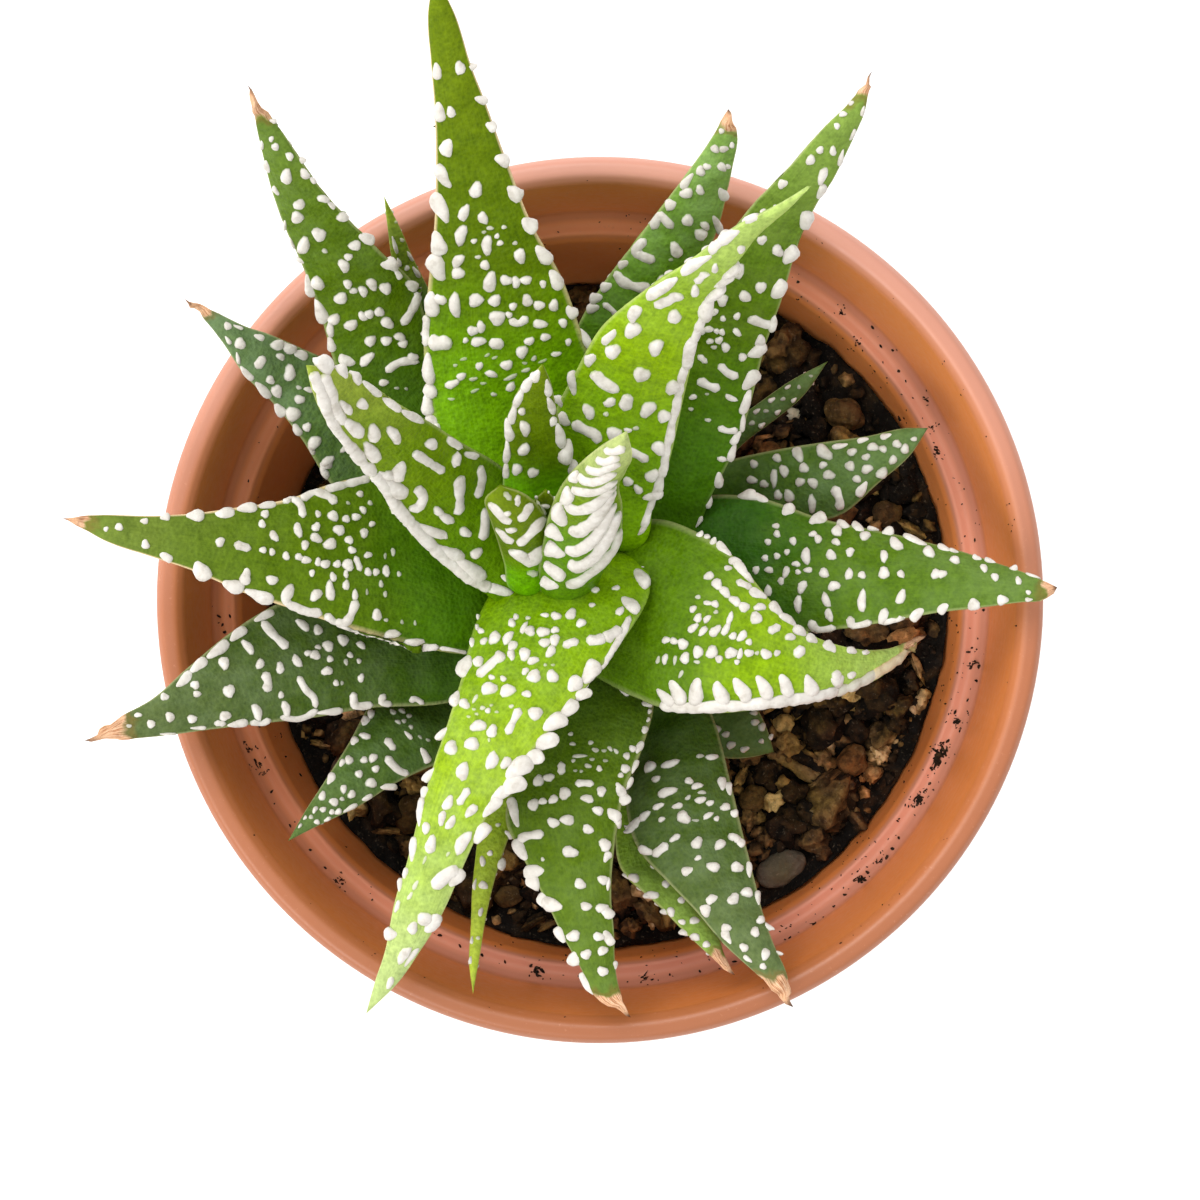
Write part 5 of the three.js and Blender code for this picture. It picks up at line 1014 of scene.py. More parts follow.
               (274, 536, 12, 7, 110), (263, 550, 7, 6, 90), (272, 552, 7, 6, 90), (286, 556, 8, 7, 90), (298, 530, 14, 8, 100),
               (272, 580, 10, 10, 0), (316, 595, 14, 9, 60), (330, 591, 18, 9, 92), (318, 514, 8, 5, 100), (333, 516, 10, 10, 0),
               (316, 527, 9, 8, 90), (339, 530, 11, 10, 30), (346, 519, 8, 7, 0), (356, 517, 8, 8, 0), (360, 494, 7, 6, 0),
               (363, 510, 8, 6, -45), (348, 503, 5, 3, -45), (370, 503, 6, 4, -45), (372, 524, 6, 6, 0), (364, 533, 9, 8, 90),
               (330, 544, 12, 11, 90), (349, 540, 8, 8, 0), (316, 538, 11, 9, 130), (305, 545, 9, 8, 90), (352, 550, 9, 6, -45),
               (368, 555, 8, 6, 0), (299, 557, 8, 7, 0), (306, 560, 9, 8, 0), (318, 562, 8, 6, 90), (325, 564, 9, 9, 0),
               (337, 564, 8, 7, 90), (348, 565, 11, 11, 0), (368, 572, 8, 7, 90), (376, 572, 8, 6, 90), (386, 571, 12, 6, 90),
               (312, 573, 8, 5, 90), (333, 577, 10, 6, 90), (346, 574, 8, 5, 90), (346, 585, 11, 6, 90), (355, 595, 10, 6, 90),
               (377, 615, 13, 8, 90), (381, 584, 8, 4, 90), (399, 574, 6, 4, 90), (385, 594, 6, 4, 90), (367, 592, 6, 3, 90),
               (386, 620, 4, 4, 0), (402, 622, 5, 3, 90), (415, 623, 5, 3, 90), (393, 552, 9, 4, 90), (385, 556, 6, 3, 90),
               (392, 634, 16, 8, 0), (414, 642, 18, 8, 0)]),
    "leaf_05": dict(
        teeth=[(165, 697, 9, 8, 0), (184, 680, 22, 9, 45), (198, 666, 22, 10, 40), (218, 650, 26, 12, 40), (238, 634, 20, 10, 40),
               (264, 616, 22, 9, 25), (238, 724, 20, 8, 10), (198, 728, 16, 4, 0), (168, 734, 16, 3, 0), (330, 712, 26, 7, 5)],
        spots=[(138, 715, 7, 5, 0), (129, 726, 5, 4, 0), (151, 724, 9, 7, 90), (170, 717, 9, 9, 0), (192, 719, 9, 8, 90),
               (195, 685, 9, 8, 90), (197, 694, 7, 7, 0), (224, 663, 12, 10, 90), (229, 691, 13, 10, 110), (248, 647, 16, 8, 125),
               (260, 664, 10, 8, 90), (280, 668, 11, 8, 90), (281, 695, 8, 5, 90), (297, 661, 13, 8, 110), (286, 709, 16, 8, 95),
               (257, 712, 16, 9, 110), (225, 716, 10, 10, 0), (303, 625, 16, 8, 132), (318, 630, 11, 8, 130), (343, 640, 11, 10, 90),
               (328, 646, 11, 10, 0), (361, 645, 9, 7, -45), (315, 655, 10, 9, 90), (308, 653, 7, 6, 0), (318, 647, 6, 5, 0),
               (330, 659, 7, 6, 0), (350, 655, 6, 6, 0), (359, 661, 5, 5, 0), (346, 662, 7, 4, 90), (327, 671, 10, 9, 0),
               (361, 678, 9, 6, 90), (336, 683, 6, 6, 0), (342, 683, 5, 3, 90)],
        ridges=[(9, [(264, 672), (268, 683), (266, 692)]), (8, [(262, 621), (273, 634), (288, 648)]),
                (7, [(298, 676), (306, 690), (314, 698), (316, 708)]), (6, [(280, 717), (300, 719), (318, 710)]),
                (7, [(250, 722), (260, 724), (271, 720)]), (6, [(214, 723), (226, 724)]), (8, [(353, 692), (355, 705), (373, 705)]),
                (7, [(385, 694), (381, 701), (392, 705)]), (6, [(409, 701), (414, 699), (424, 704)])]),
    "leaf_02": dict(
        teeth=[(267, 167, 12, 6, -70), (276, 191, 10, 5, -50), (285, 225, 9, 4, 80), (366, 239, 17, 10, -20), (389, 265, 18, 10, 0),
               (273, 121, 7, 5, 0), (310, 286, 20, 10, 95), (320, 311, 24, 10, -70), (330.5, 329, 16, 8, 90), (331.5, 344, 15, 9, -75),
               (347, 361, 18, 11, -15), (398, 274, 10, 6, -60), (262, 145, 8, 4, 90), (292, 243, 10, 4, -70), (299, 261, 8, 4, -60),
               (304, 160, 7, 4, -60), (313, 180, 7, 5, -50), (331, 205, 9, 5, -40)],
        spots=[(271.3, 139, 5, 5, 0), (275.3, 146.7, 8, 6, -25), (289.6, 156.4, 8, 7, 0), (304.7, 174, 9, 9, 0), (286.4, 176.7, 12, 11, 0),
               (323.3, 198.7, 11, 7, 0), (299.3, 204.3, 11, 9, 0), (297.3, 217, 12, 9, 10), (342.7, 217, 11, 9, 0), (319, 234.3, 13, 10, 10),
               (303.5, 245.5, 15, 11, 30), (324.7, 250.7, 6, 4, 0), (354.8, 245.3, 11, 10, 30), (348.2, 256.7, 8, 6, 0),
               (344, 265.5, 11, 10, 20), (317.6, 283, 13, 11, 0), (347.7, 283.8, 9, 7, -30), (353.5, 290.4, 8, 5, 0), (363, 291, 9, 9, 0),
               (371.9, 284, 10, 10, 0), (385.4, 288.2, 10, 11, 0), (412, 285.6, 13, 9, 0), (340.8, 297.7, 12, 10, 15), (334, 319, 12, 10, 0),
               (351, 324.9, 15, 8, 20), (363, 316, 9, 8, 0), (369, 314, 9, 8, 0), (379.2, 311.7, 9, 9, 0), (387.3, 322.7, 11, 10, 0),
               (370.4, 340.6, 13, 8, 20), (386.2, 340.6, 10, 9, 30), (399.7, 336.6, 10, 8, 0), (403, 343.5, 9, 8, 0), (366.7, 359.3, 19, 8, 35),
               (413, 357, 10, 8, 0), (383.6, 382.5, 10, 6, 0), (396.8, 388, 5, 3, 0), (406.3, 388.7, 4, 3, 0)],
        ridges=[(8, [(421, 288), (416, 302), (409, 315), (402, 325)]), (7, [(386, 372), (393, 366), (401, 362), (412, 361), (419, 362)])]),
    "leaf_24": dict(
        teeth=[(394.7, 245, 16, 4, -75), (410, 256, 10, 4, -60), (416, 272, 12, 5, -55), (399, 262, 8, 4, -70)],
        spots=[(396, 222, 3, 3, 0), (402, 240, 4, 4, 0), (407, 268, 5, 5, 0)]),
    "leaf_03": dict(
        teeth=[(259, 337, 10, 6, -20), (246.7, 373.6, 17, 8, -50), (263, 389.7, 20, 9, -45), (279.7, 409.5, 16, 10, -65),
               (296.6, 429.3, 14, 8, -65), (311.3, 449, 12, 6, -65), (323.7, 469.7, 18, 7, -70), (288, 348, 14, 10, -40),
               (300.3, 354.5, 14, 10, -10), (238, 327, 10, 4, -20), (228, 340, 9, 4, -50), (238, 358, 12, 4, -80)],
        spots=[(227.7, 326, 8, 7, 0), (240, 343.5, 12, 9, 70), (280.5, 356.7, 7, 7, 0), (277.5, 345, 12, 10, 0), (289.3, 372.9, 15, 10, 75),
               (270.2, 379.8, 9, 7, 90), (276.8, 391.2, 13, 9, 90), (299.5, 399.3, 9, 9, 0), (309, 389.7, 8, 6, 0), (298.8, 387.5, 6, 4, 0),
               (293, 414, 16, 12, 25), (306.9, 427, 9, 8, 0), (314.2, 442.5, 14, 11, 60), (327.4, 461, 14, 8, 40), (345.7, 447.7, 12, 6, 40)],
        ridges=[(9, [(256, 368), (260, 363), (264, 356)]), (8, [(332, 461), (323, 468), (327, 479)])]),
    "leaf_06": dict(
        teeth=[(365, 721, 10, 9, 60), (354, 741, 9, 8, 60), (342, 763, 8, 6, 60), (331, 779, 13, 8, 70), (315, 810, 8, 5, 60),
               (327.4, 819.4, 8, 4, 30), (350, 808, 16, 5, 30), (367, 798, 12, 6, 25), (389, 787, 16, 7, 0), (425, 755, 18, 8, -60),
               (408, 735, 12, 4, -45), (305, 818, 5, 3, 50), (300, 826, 6, 3, 50), (338, 812, 8, 6, 30)],
        spots=[(365, 736, 12, 6, -10), (349, 760, 9, 8, 90), (373, 758, 9, 8, 0), (364, 760, 8, 6, 0), (375.6, 769, 8, 7, 90),
               (359, 774, 8, 7, 0), (371, 783, 10, 10, 0), (343.6, 789, 8, 7, 90), (351.6, 794.4, 8, 8, 0), (322.4, 796, 9, 7, 90),
               (334, 802, 9, 8, 0), (342, 799, 5, 4, 0), (323, 809.5, 6, 6, 0), (317, 822, 6, 5, 0), (311, 817, 5, 4, 0), (332, 812, 6, 5, 0),
               (371, 714, 8, 8, 0), (393, 712, 8, 4, -30), (402, 711, 8, 4, -20), (409, 716, 6, 4, 0), (398, 722, 6, 4, -30),
               (404, 721, 5, 4, 0), (411, 727, 5, 4, -40), (420, 737, 5, 3, -40), (428, 740, 5, 3, -40)],
        ridges=[(7, [(386, 738), (390, 744), (395, 750)]), (7, [(386, 756), (392, 764), (400, 771), (409, 774)])]),
    "leaf_20": dict(
        teeth=[(646, 688, 26, 12, 95), (625, 689, 15, 12, -10), (647, 703, 12, 9, 0), (649.3, 712, 5, 4, 60), (648, 720, 5, 4, 60),
               (644.7, 730, 8, 7, 60), (639.3, 747.3, 14, 7, 60), (634.7, 766.7, 15, 6, 65), (629.3, 783.3, 14, 5, 60),
               (620, 789.3, 18, 9, -55), (625.3, 799, 18, 8, 60), (613.3, 814.7, 18, 11, -45), (618, 822, 14, 8, -70), (514, 812, 30, 10, 105),
               (520, 850, 24, 13, -60), (534, 871, 22, 15, 10), (532, 882, 24, 8, -55), (552, 905, 22, 14, -15), (542, 900, 20, 7, -50),
               (560.7, 934.7, 18, 11, -60), (572.7, 960, 20, 9, -55), (586.7, 984, 26, 9, -60), (606, 911, 20, 11, -40), (608, 884, 14, 5, 90),
               (608, 938, 18, 10, -60), (615.3, 965.3, 9, 5, 90), (607, 857, 12, 8, 60)],
        spots=[(548.7, 777.7, 12, 7, 0), (538.7, 781, 11, 10, 90), (579.3, 756, 14, 4, 0), (573.3, 760.7, 4, 4, 0), (601.3, 791.3, 10, 9, -50),
               (599.3, 768.7, 7, 5, -50), (588, 766, 8, 4, -10), (592, 759.3, 6, 3, 0), (605.3, 760.7, 6, 3, 0), (575.3, 770.7, 4, 3, 0),
               (581.3, 771.3, 4, 3, 0), (570.7, 734, 5, 4, 0), (572.7, 744, 6, 4, 0), (590.7, 742.7, 6, 4, 0), (595.3, 750, 8, 4, -20),
               (604, 750.7, 6, 3, 0), (610, 748.7, 6, 4, -40), (616, 751.3, 6, 4, -40), (632.7, 748.7, 8, 6, -50), (626.7, 756, 8, 6, -60),
               (625.3, 768.7, 10, 8, -50), (620.7, 775.3, 6, 5, -40), (564.7, 793.3, 12, 11, -20), (553.3, 799.3, 10, 8, 15),
               (542.7, 801.3, 8, 7, 0), (533.3, 804.7, 12, 10, 20), (587.3, 798.7, 14, 7, -20), (598, 810.7, 10, 9, -20),
               (553.3, 822.7, 12, 9, 0), (567.3, 820, 15, 9, -15), (588, 829.3, 12, 8, -20), (605, 845, 12, 12, 0), (570, 852, 15, 11, 0),
               (580, 884, 11, 10, 0), (586, 906.4, 10, 9, 0), (573.3, 936, 13, 11, 0), (603, 880, 10, 9, 0), (602, 908, 12, 9, 0),
               (598.7, 936.7, 12, 8, 0), (586, 954.4, 10, 10, 0), (602.7, 950.7, 10, 9, 0), (602.7, 971.3, 10, 10, 0), (542.7, 859.3, 4, 4, 0)],
        ridges=[(9, [(561, 762), (561.5, 768), (561, 775)]), (7, [(575, 783.5), (585, 783), (594, 784)]),
                (9, [(518, 841), (524, 837), (533, 835), (544, 834)])]),
    "leaf_21": dict(
        teeth=[(722, 784, 14, 9, 90), (729, 789, 14, 7, -80), (734, 813.6, 9, 8, 0), (749, 870, 17, 6, 95), (758, 898, 15, 6, 95),
               (769, 926, 11, 6, -65), (778.6, 952, 9, 5, 90), (748, 959, 11, 5, -40), (687.6, 870.6, 13, 8, 25), (712, 899, 13, 9, 25),
               (706, 911, 13, 11, 100), (727, 937, 16, 8, -60), (740, 842, 12, 8, -60), (636, 822, 14, 8, 55)],
        spots=[(650, 767, 14, 8, 30), (670, 764, 18, 7, 20), (667, 792, 18, 9, 20), (700, 756, 8, 4, 0), (712, 757, 12, 6, 0),
               (656, 779, 10, 5, 30), (689, 781, 9, 6, 0), (697, 786, 11, 6, 10), (702, 792.4, 8, 4, 0), (688, 797.6, 7, 4, 30),
               (700.4, 800, 12, 6, 20), (710, 803, 9, 5, 10), (725.4, 807, 11, 7, 0), (658, 806.4, 11, 6, 25), (677.6, 806, 10, 6, 15),
               (644.4, 816, 13, 7, 35), (661.6, 819.4, 7, 5, 15), (683.6, 817.4, 13, 12, 0), (695.6, 820.4, 7, 3, 0), (708, 815.6, 12, 5, 25),
               (716.6, 818.6, 6, 5, 0), (675, 838, 11, 6, 30), (697, 843, 12, 10, 25), (645, 850.6, 14, 9, -10), (720, 844.6, 13, 8, 25),
               (698, 858, 7, 5, 15), (713.4, 867, 12, 10, 0), (737, 867.4, 12, 10, 10), (726, 928, 9, 9, 0), (733.4, 899, 12, 10, 10),
               (747, 892.4, 11, 10, 0), (760.6, 920, 9, 7, 0), (755, 932, 9, 9, 0), (744, 947.6, 9, 8, 0), (765.6, 954, 11, 9, 90),
               (763, 966.4, 7, 6, 0)],
        ridges=[(8, [(621, 830), (629, 829), (635, 822)]), (9, [(653, 856), (660, 850), (668, 844)]),
                (9, [(728, 838), (734, 837), (740, 842)])]),
    "leaf_22": dict(
        teeth=[(686, 889, 15, 12, -10), (666, 870.7, 20, 7, -18), (705, 905, 8, 4, -60), (626, 876, 8, 3, -45), (645, 897, 8, 3, -45),
               (662, 913, 8, 3, -45), (682, 934, 9, 3, -45)],
        spots=[(634, 878, 10, 9, 0), (653, 895, 11, 8, 0), (671, 912, 9, 8, 90), (682, 922, 8, 5, 0), (666, 884, 8, 7, 90),
               (681.6, 900, 7, 7, 0), (654, 866.4, 7, 5, 0), (694.4, 920.6, 9, 7, 0), (695, 937, 9, 8, 0), (706.4, 944.4, 7, 7, 0)]),
    "leaf_23": dict(
        teeth=[(475, 884, 12, 3, 80), (472, 940, 8, 3, 85), (470.5, 960, 8, 3, 85), (500.7, 863, 12, 9, 60), (509, 834, 12, 6, -40)],
        spots=[(482.7, 861.3, 9, 6, 100), (490, 853.3, 6, 5, 0), (483.3, 885.3, 9, 8, 0), (480.7, 912, 8, 5, 80), (478, 938, 4, 4, 0),
               (498, 825, 5, 4, 0)]),
    "leaf_25": dict(
        teeth=[(770, 736, 7, 5, 90), (761, 741, 6, 5, 0), (745, 749, 10, 6, 20)],
        spots=[(715, 729, 11, 10, 0), (731, 745, 9, 8, 0), (726, 734.4, 8, 6, 0), (755, 722.4, 8, 7, 0), (762, 727, 9, 7, 90),
               (709, 741, 9, 7, 0), (754, 713, 8, 5, 0)]),
    "leaf_15": dict(
        teeth=[(757, 411, 8, 5, 35), (772, 400, 8, 5, 35), (788, 387, 7, 4, 35), (762, 425, 8, 5, 35), (778, 412, 7, 5, 38), (794, 400, 7, 4, 38)],
        spots=[(752, 423, 6, 5, 0), (766, 411, 5, 4, 0), (783, 399, 5, 4, 0), (799, 387, 4, 4, 0), (811, 376, 4, 3, 0)]),
}


def dress_leaf(name, skin, build):
    """Puts the tubercles, ridges and teeth of one leaf on its surface."""
    i_ = skin.info
    rng = random.Random(int(name[-2:]) * 101 + 7)
    data = BUMPS.get(name, {})
    for x, y, l, w, a in data.get("spots", ()):
        got = skin.hit(x, y)
        if got is None or got[1][2] < 0.05:
            tooth(skin, build, x, y, l, w, a)
            continue
        p, n, idx = got
        A, B = tangent_axes(n, l, w, a, (VIEW_Z - p[2]) / VIEW_F)
        size = min(np.linalg.norm(A), np.linalg.norm(B))
        small = min(l, w)
        white = 0.52 if small <= 3 else 0.66 if small <= 4 else 0.86 if small <= 5 else 1.0
        white = min(white, {"leaf_15": 0.60, "leaf_16": 0.74, "leaf_25": 0.68, "leaf_06": 0.84}.get(name, 1.0))
        dome(build, skin, p, n, A, B, min(0.50, (0.72 if small > 5 else 0.6) * size), 12 if small > 8 else 10, idx=idx, white=white)
    for w, line, *tint in data.get("ridges", ()):
        pts = []
        for x, y in line:
            got = skin.hit(x, y)
            if got is not None:
                pts.append(got[0])
            else:
                p, f, o, u, k = skin.margin(x, y)
                pts.append(sight(x, y, p[2]))
        if len(pts) > 1:
            scale = (VIEW_Z - pts[0][2]) / VIEW_F
            ridge(build, skin, pts, w * scale, min(0.50, 0.34 * w * scale), *tint, links=0.0 if w < 8 or name in ("leaf_09", "leaf_11") else 4.4 if name == "leaf_07" else 2.1)
    for t in data.get("teeth", ()):
        tooth(skin, build, *t)
    if not data:
        margin_teeth(skin, build, rng, (-1, 1), 0.2, 0.95)
        face_scatter(skin, build, rng, 1, 0.35, 0.93)
    back_scatter(skin, build, rng, name)


def tooth(skin, build, x, y, l, w, a, taper=0.36):
    """One tooth, where it is seen: standing on the face, or grown out of the margin to where its point is seen."""
    p, f, o, u, k = skin.margin(x, y)
    n = u if u[2] > 0 else -u
    got = skin.hit(x, y)
    on_face = got is not None and got[1][2] > 0.2
    q = got[0] if on_face else sight(x, y, p[2])
    if on_face:
        n = unit(got[1] + 0.4 * n)
    A, B = tangent_axes(n, l, w, a, (VIEW_Z - q[2]) / VIEW_F)
    small = min(np.linalg.norm(A), np.linalg.norm(B))
    thick = max(0.32, 0.7 * small)
    flat = np.array([o[0], o[1], 0.0])
    reach = np.linalg.norm(flat)
    if on_face:
        if np.dot(A, f * 0.3 - o) < 0:
            A = -A
    elif reach > 0.25:
        flat /= reach
        away = float(np.dot(q - p, flat))
        ext = math.hypot(np.dot(A, flat), np.dot(B, flat))
        if away > 0.2 * ext:
            run = max(0.34, 0.8 * math.hypot(np.dot(A, f), np.dot(B, f)))
            outer = min(away + ext, 1.9)
            half = 0.5 * (outer + 0.55)
            q = p + f * float(np.dot(q - p, f)) + flat * (outer - half)
            A = flat * half + f * (0.30 * half)
            B = f * run
            thick = max(0.30, 0.5 * run)
        elif np.dot(A, f * 0.7 + o) < 0:
            A = -A
    bean(build, q - n * 0.08, A, B, n * thick, taper, along=float(i_along(skin, k)))


def i_along(skin, k):
    return skin.info["length"][k] / skin.info["total"]


def margin_teeth(skin, build, rng, sides, lo, hi):
    i_ = skin.info
    for side in sides:
        d = lo * i_["total"] + rng.random() * 0.8
        while d < hi * i_["total"]:
            k = int(np.searchsorted(i_["length"], d))
            k = min(k, len(i_["length"]) - 2)
            w = i_["width"][k]
            cols = slice(0, 3) if side < 0 else slice(3, 6)
            p = i_["rows"][k][cols]
            out = i_["adir"][k] * side
            f = i_["fdir"][k]
            size = (0.42 + 0.25 * rng.random()) * min(1.0, 0.45 + w / 9.0)
            A = unit(f + out * 0.45) * size * 1.25
            B = unit(np.cross(i_["up"][k], A)) * size * 0.75
            bean(build, p - out * size * 0.15, A, B, i_["up"][k] * size * 0.62, 0.2, segs=8, rings=5,
                 along=i_["length"][k] / i_["total"])
            d += size * 2.1 + 0.3 + rng.random() * 0.7


def surface_point(skin, s, u, top=True):
    """A point of the face (top) or back at length s mm and across u."""
    i_ = skin.info
    k = min(int(np.searchsorted(i_["length"], s)), len(i_["length"]) - 2)
    w = i_["width"][k]
    q = i_["mids"][k] + i_["adir"][k] * u * w * 0.5 + i_["up"][k] * ((1 if top else -1) * (0.25 * w + 1.0))
    d = Vector(-i_["up"][k] if top else i_["up"][k])
    loc, nor, idx, dist = skin.tree.ray_cast(Vector(q), d)
    if loc is None:
        return None
    return np.array(loc), np.array(nor), idx, k


def face_scatter(skin, build, rng, side, lo, hi):
    i_ = skin.info
    s = lo * i_["total"]
    while s < hi * i_["total"]:
        k = min(int(np.searchsorted(i_["length"], s)), len(i_["length"]) - 2)
        w = i_["width"][k]
        n_across = max(1, int(w * 0.72 / 1.9))
        for j in range(n_across):
            u = ((j + 0.5) / n_across * 2 - 1) * 0.78 + (rng.random() - 0.5) * 0.22
            got = surface_point(skin, s + (rng.random() - 0.5) * 0.9, u, side > 0)
            if got is None:
                continue
            p, n, idx, k2 = got
            size = (0.26 + 0.24 * rng.random()) * min(1.0, 0.55 + w / 12)
            f = i_["fdir"][k2]
            A = unit(np.cross(n, f) + f * (rng.random() - 0.5) * 0.5)
            A = unit(A - n * np.dot(A, n)) * size * (1.05 + 0.5 * rng.random())
            B = unit(np.cross(n, A)) * size
            dome(build, skin, p, n, A, B, size * 0.85, segs=8, idx=idx)
        s += 1.75 + rng.random() * 0.5


def back_scatter(skin, build, rng, name):
    """The back of a leaf carries its tubercles in bands across it."""
    i_ = skin.info
    lo, hi = 0.30, 0.94
    if name in ("leaf_11", "leaf_09", "leaf_10"):
        return
    s = lo * i_["total"]
    while s < hi * i_["total"]:
        k = min(int(np.searchsorted(i_["length"], s)), len(i_["length"]) - 2)
        w = i_["width"][k]
        n_across = max(2, int(w / 1.75))
        for j in range(n_across):
            u = ((j + 0.5) / n_across * 2 - 1) * 0.86 + (rng.random() - 0.5) * 0.12
            got = surface_point(skin, s + (rng.random() - 0.5) * 0.5 + abs(u) * 0.9, u, False)
            if got is None:
                continue
            p, n, idx, k2 = got
            size = (0.34 + 0.2 * rng.random()) * min(1.0, 0.5 + w / 12)
            f = i_["fdir"][k2]
            A = unit(np.cross(n, f) + f * (rng.random() - 0.5) * 0.3)
            A = unit(A - n * np.dot(A, n)) * size * (1.2 + 0.9 * rng.random())
            B = unit(np.cross(n, A)) * size * 0.85
            dome(build, skin, p, n, A, B, size * 0.8, segs=8, idx=idx)
        s += 2.3 + rng.random() * 0.5


total_tris = 0
SKINS = {}
for leaf_name, leaf in LEAVES.items():
    V, F, A, info = leaf_mesh(leaf_name, leaf)
    skin = Skin(V, F, A, info)
    SKINS[leaf_name] = skin
    build = Build(KEYS)
    build.add(V, F, 0, **A)
    dress_leaf(leaf_name, skin, build)
    slot = LEAF_SLOT[leaf_name]
    piece = build.object("haworthia_" + leaf_name, [LEAF_SHADES.get(leaf_name, LEAF_MATERIALS[slot])])
    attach(piece, "root")
    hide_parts(leaf_name)
    total_tris += build.tris()
print("leaf triangles", total_tris)

# ---------------------------------------------------------------- pot
RIM_PROFILE = [
    # radius, height: up the inside, over the rim, down the outside, under the foot
    (0.0, 3.8), (28.0, 3.8), (29.33, 5.4), (38.25, 63.0), (38.9, 64.7), (39.98, 64.5), (41.1, 65.7),
    (42.2, 79.0), (43.0, 80.0), (44.3, 80.0), (45.0, 79.2), (44.9, 76.4), (43.9, 75.4), (42.9, 65.1),
    (42.3, 64.1), (40.05, 62.8), (30.1, 1.4), (29.6, 0.0), (26.4, 0.0), (25.8, 2.0), (11.6, 2.0), (11.0, 0.0), (0.0, 0.0),
]


def round_profile(points, radius=0.45, arc=4, longest=3.0):
    """Rounds each corner of a profile a little and splits long runs."""
    P = [np.array(p, float) for p in points]
    out = [P[0]]
    for a, b, c in zip(P[:-2], P[1:-1], P[2:]):
        r = min(radius, 0.35 * np.linalg.norm(b - a), 0.35 * np.linalg.norm(c - b))
        if b[1] <= 0.001:                              # the standing faces stay flat and sharp enough to stand on
            r = min(r, 0.12)
        s, e = b + unit(a - b) * r, b + unit(c - b) * r
        for t in np.linspace(0, 1, arc + 1):
            out.append((1 - t) ** 2 * s + 2 * t * (1 - t) * b + t * t * e)
    out.append(P[-1])
    dense = [out[0]]
    for a, b in zip(out[:-1], out[1:]):
        n = max(1, int(math.ceil(np.linalg.norm(b - a) / longest)))
        for i in range(1, n + 1):
            dense.append(a + (b - a) * i / n)
    return dense


def lathe(profile, segs):
    ring_pts = [p for p in profile[1:-1]]
    verts = []
    for r, z in ring_pts:
        for k in range(segs):
            t = 2 * math.pi * k / segs
            verts.append((r * math.cos(t), r * math.sin(t), z))
    verts.append((0, 0, profile[0][1]))
    verts.append((0, 0, profile[-1][1]))
    a0, a1 = len(verts) - 2, len(verts) - 1
    faces = []
    for i in range(len(ring_pts) - 1):
        for k in range(segs):
            a, b = i * segs + k, i * segs + (k + 1) % segs
            faces.append((a, a + segs, b + segs, b))
    last = (len(ring_pts) - 1) * segs
    for k in range(segs):
        faces.append((a0, k, (k + 1) % segs))
        faces.append((last + (k + 1) % segs, last + k, a1))
    return verts, faces


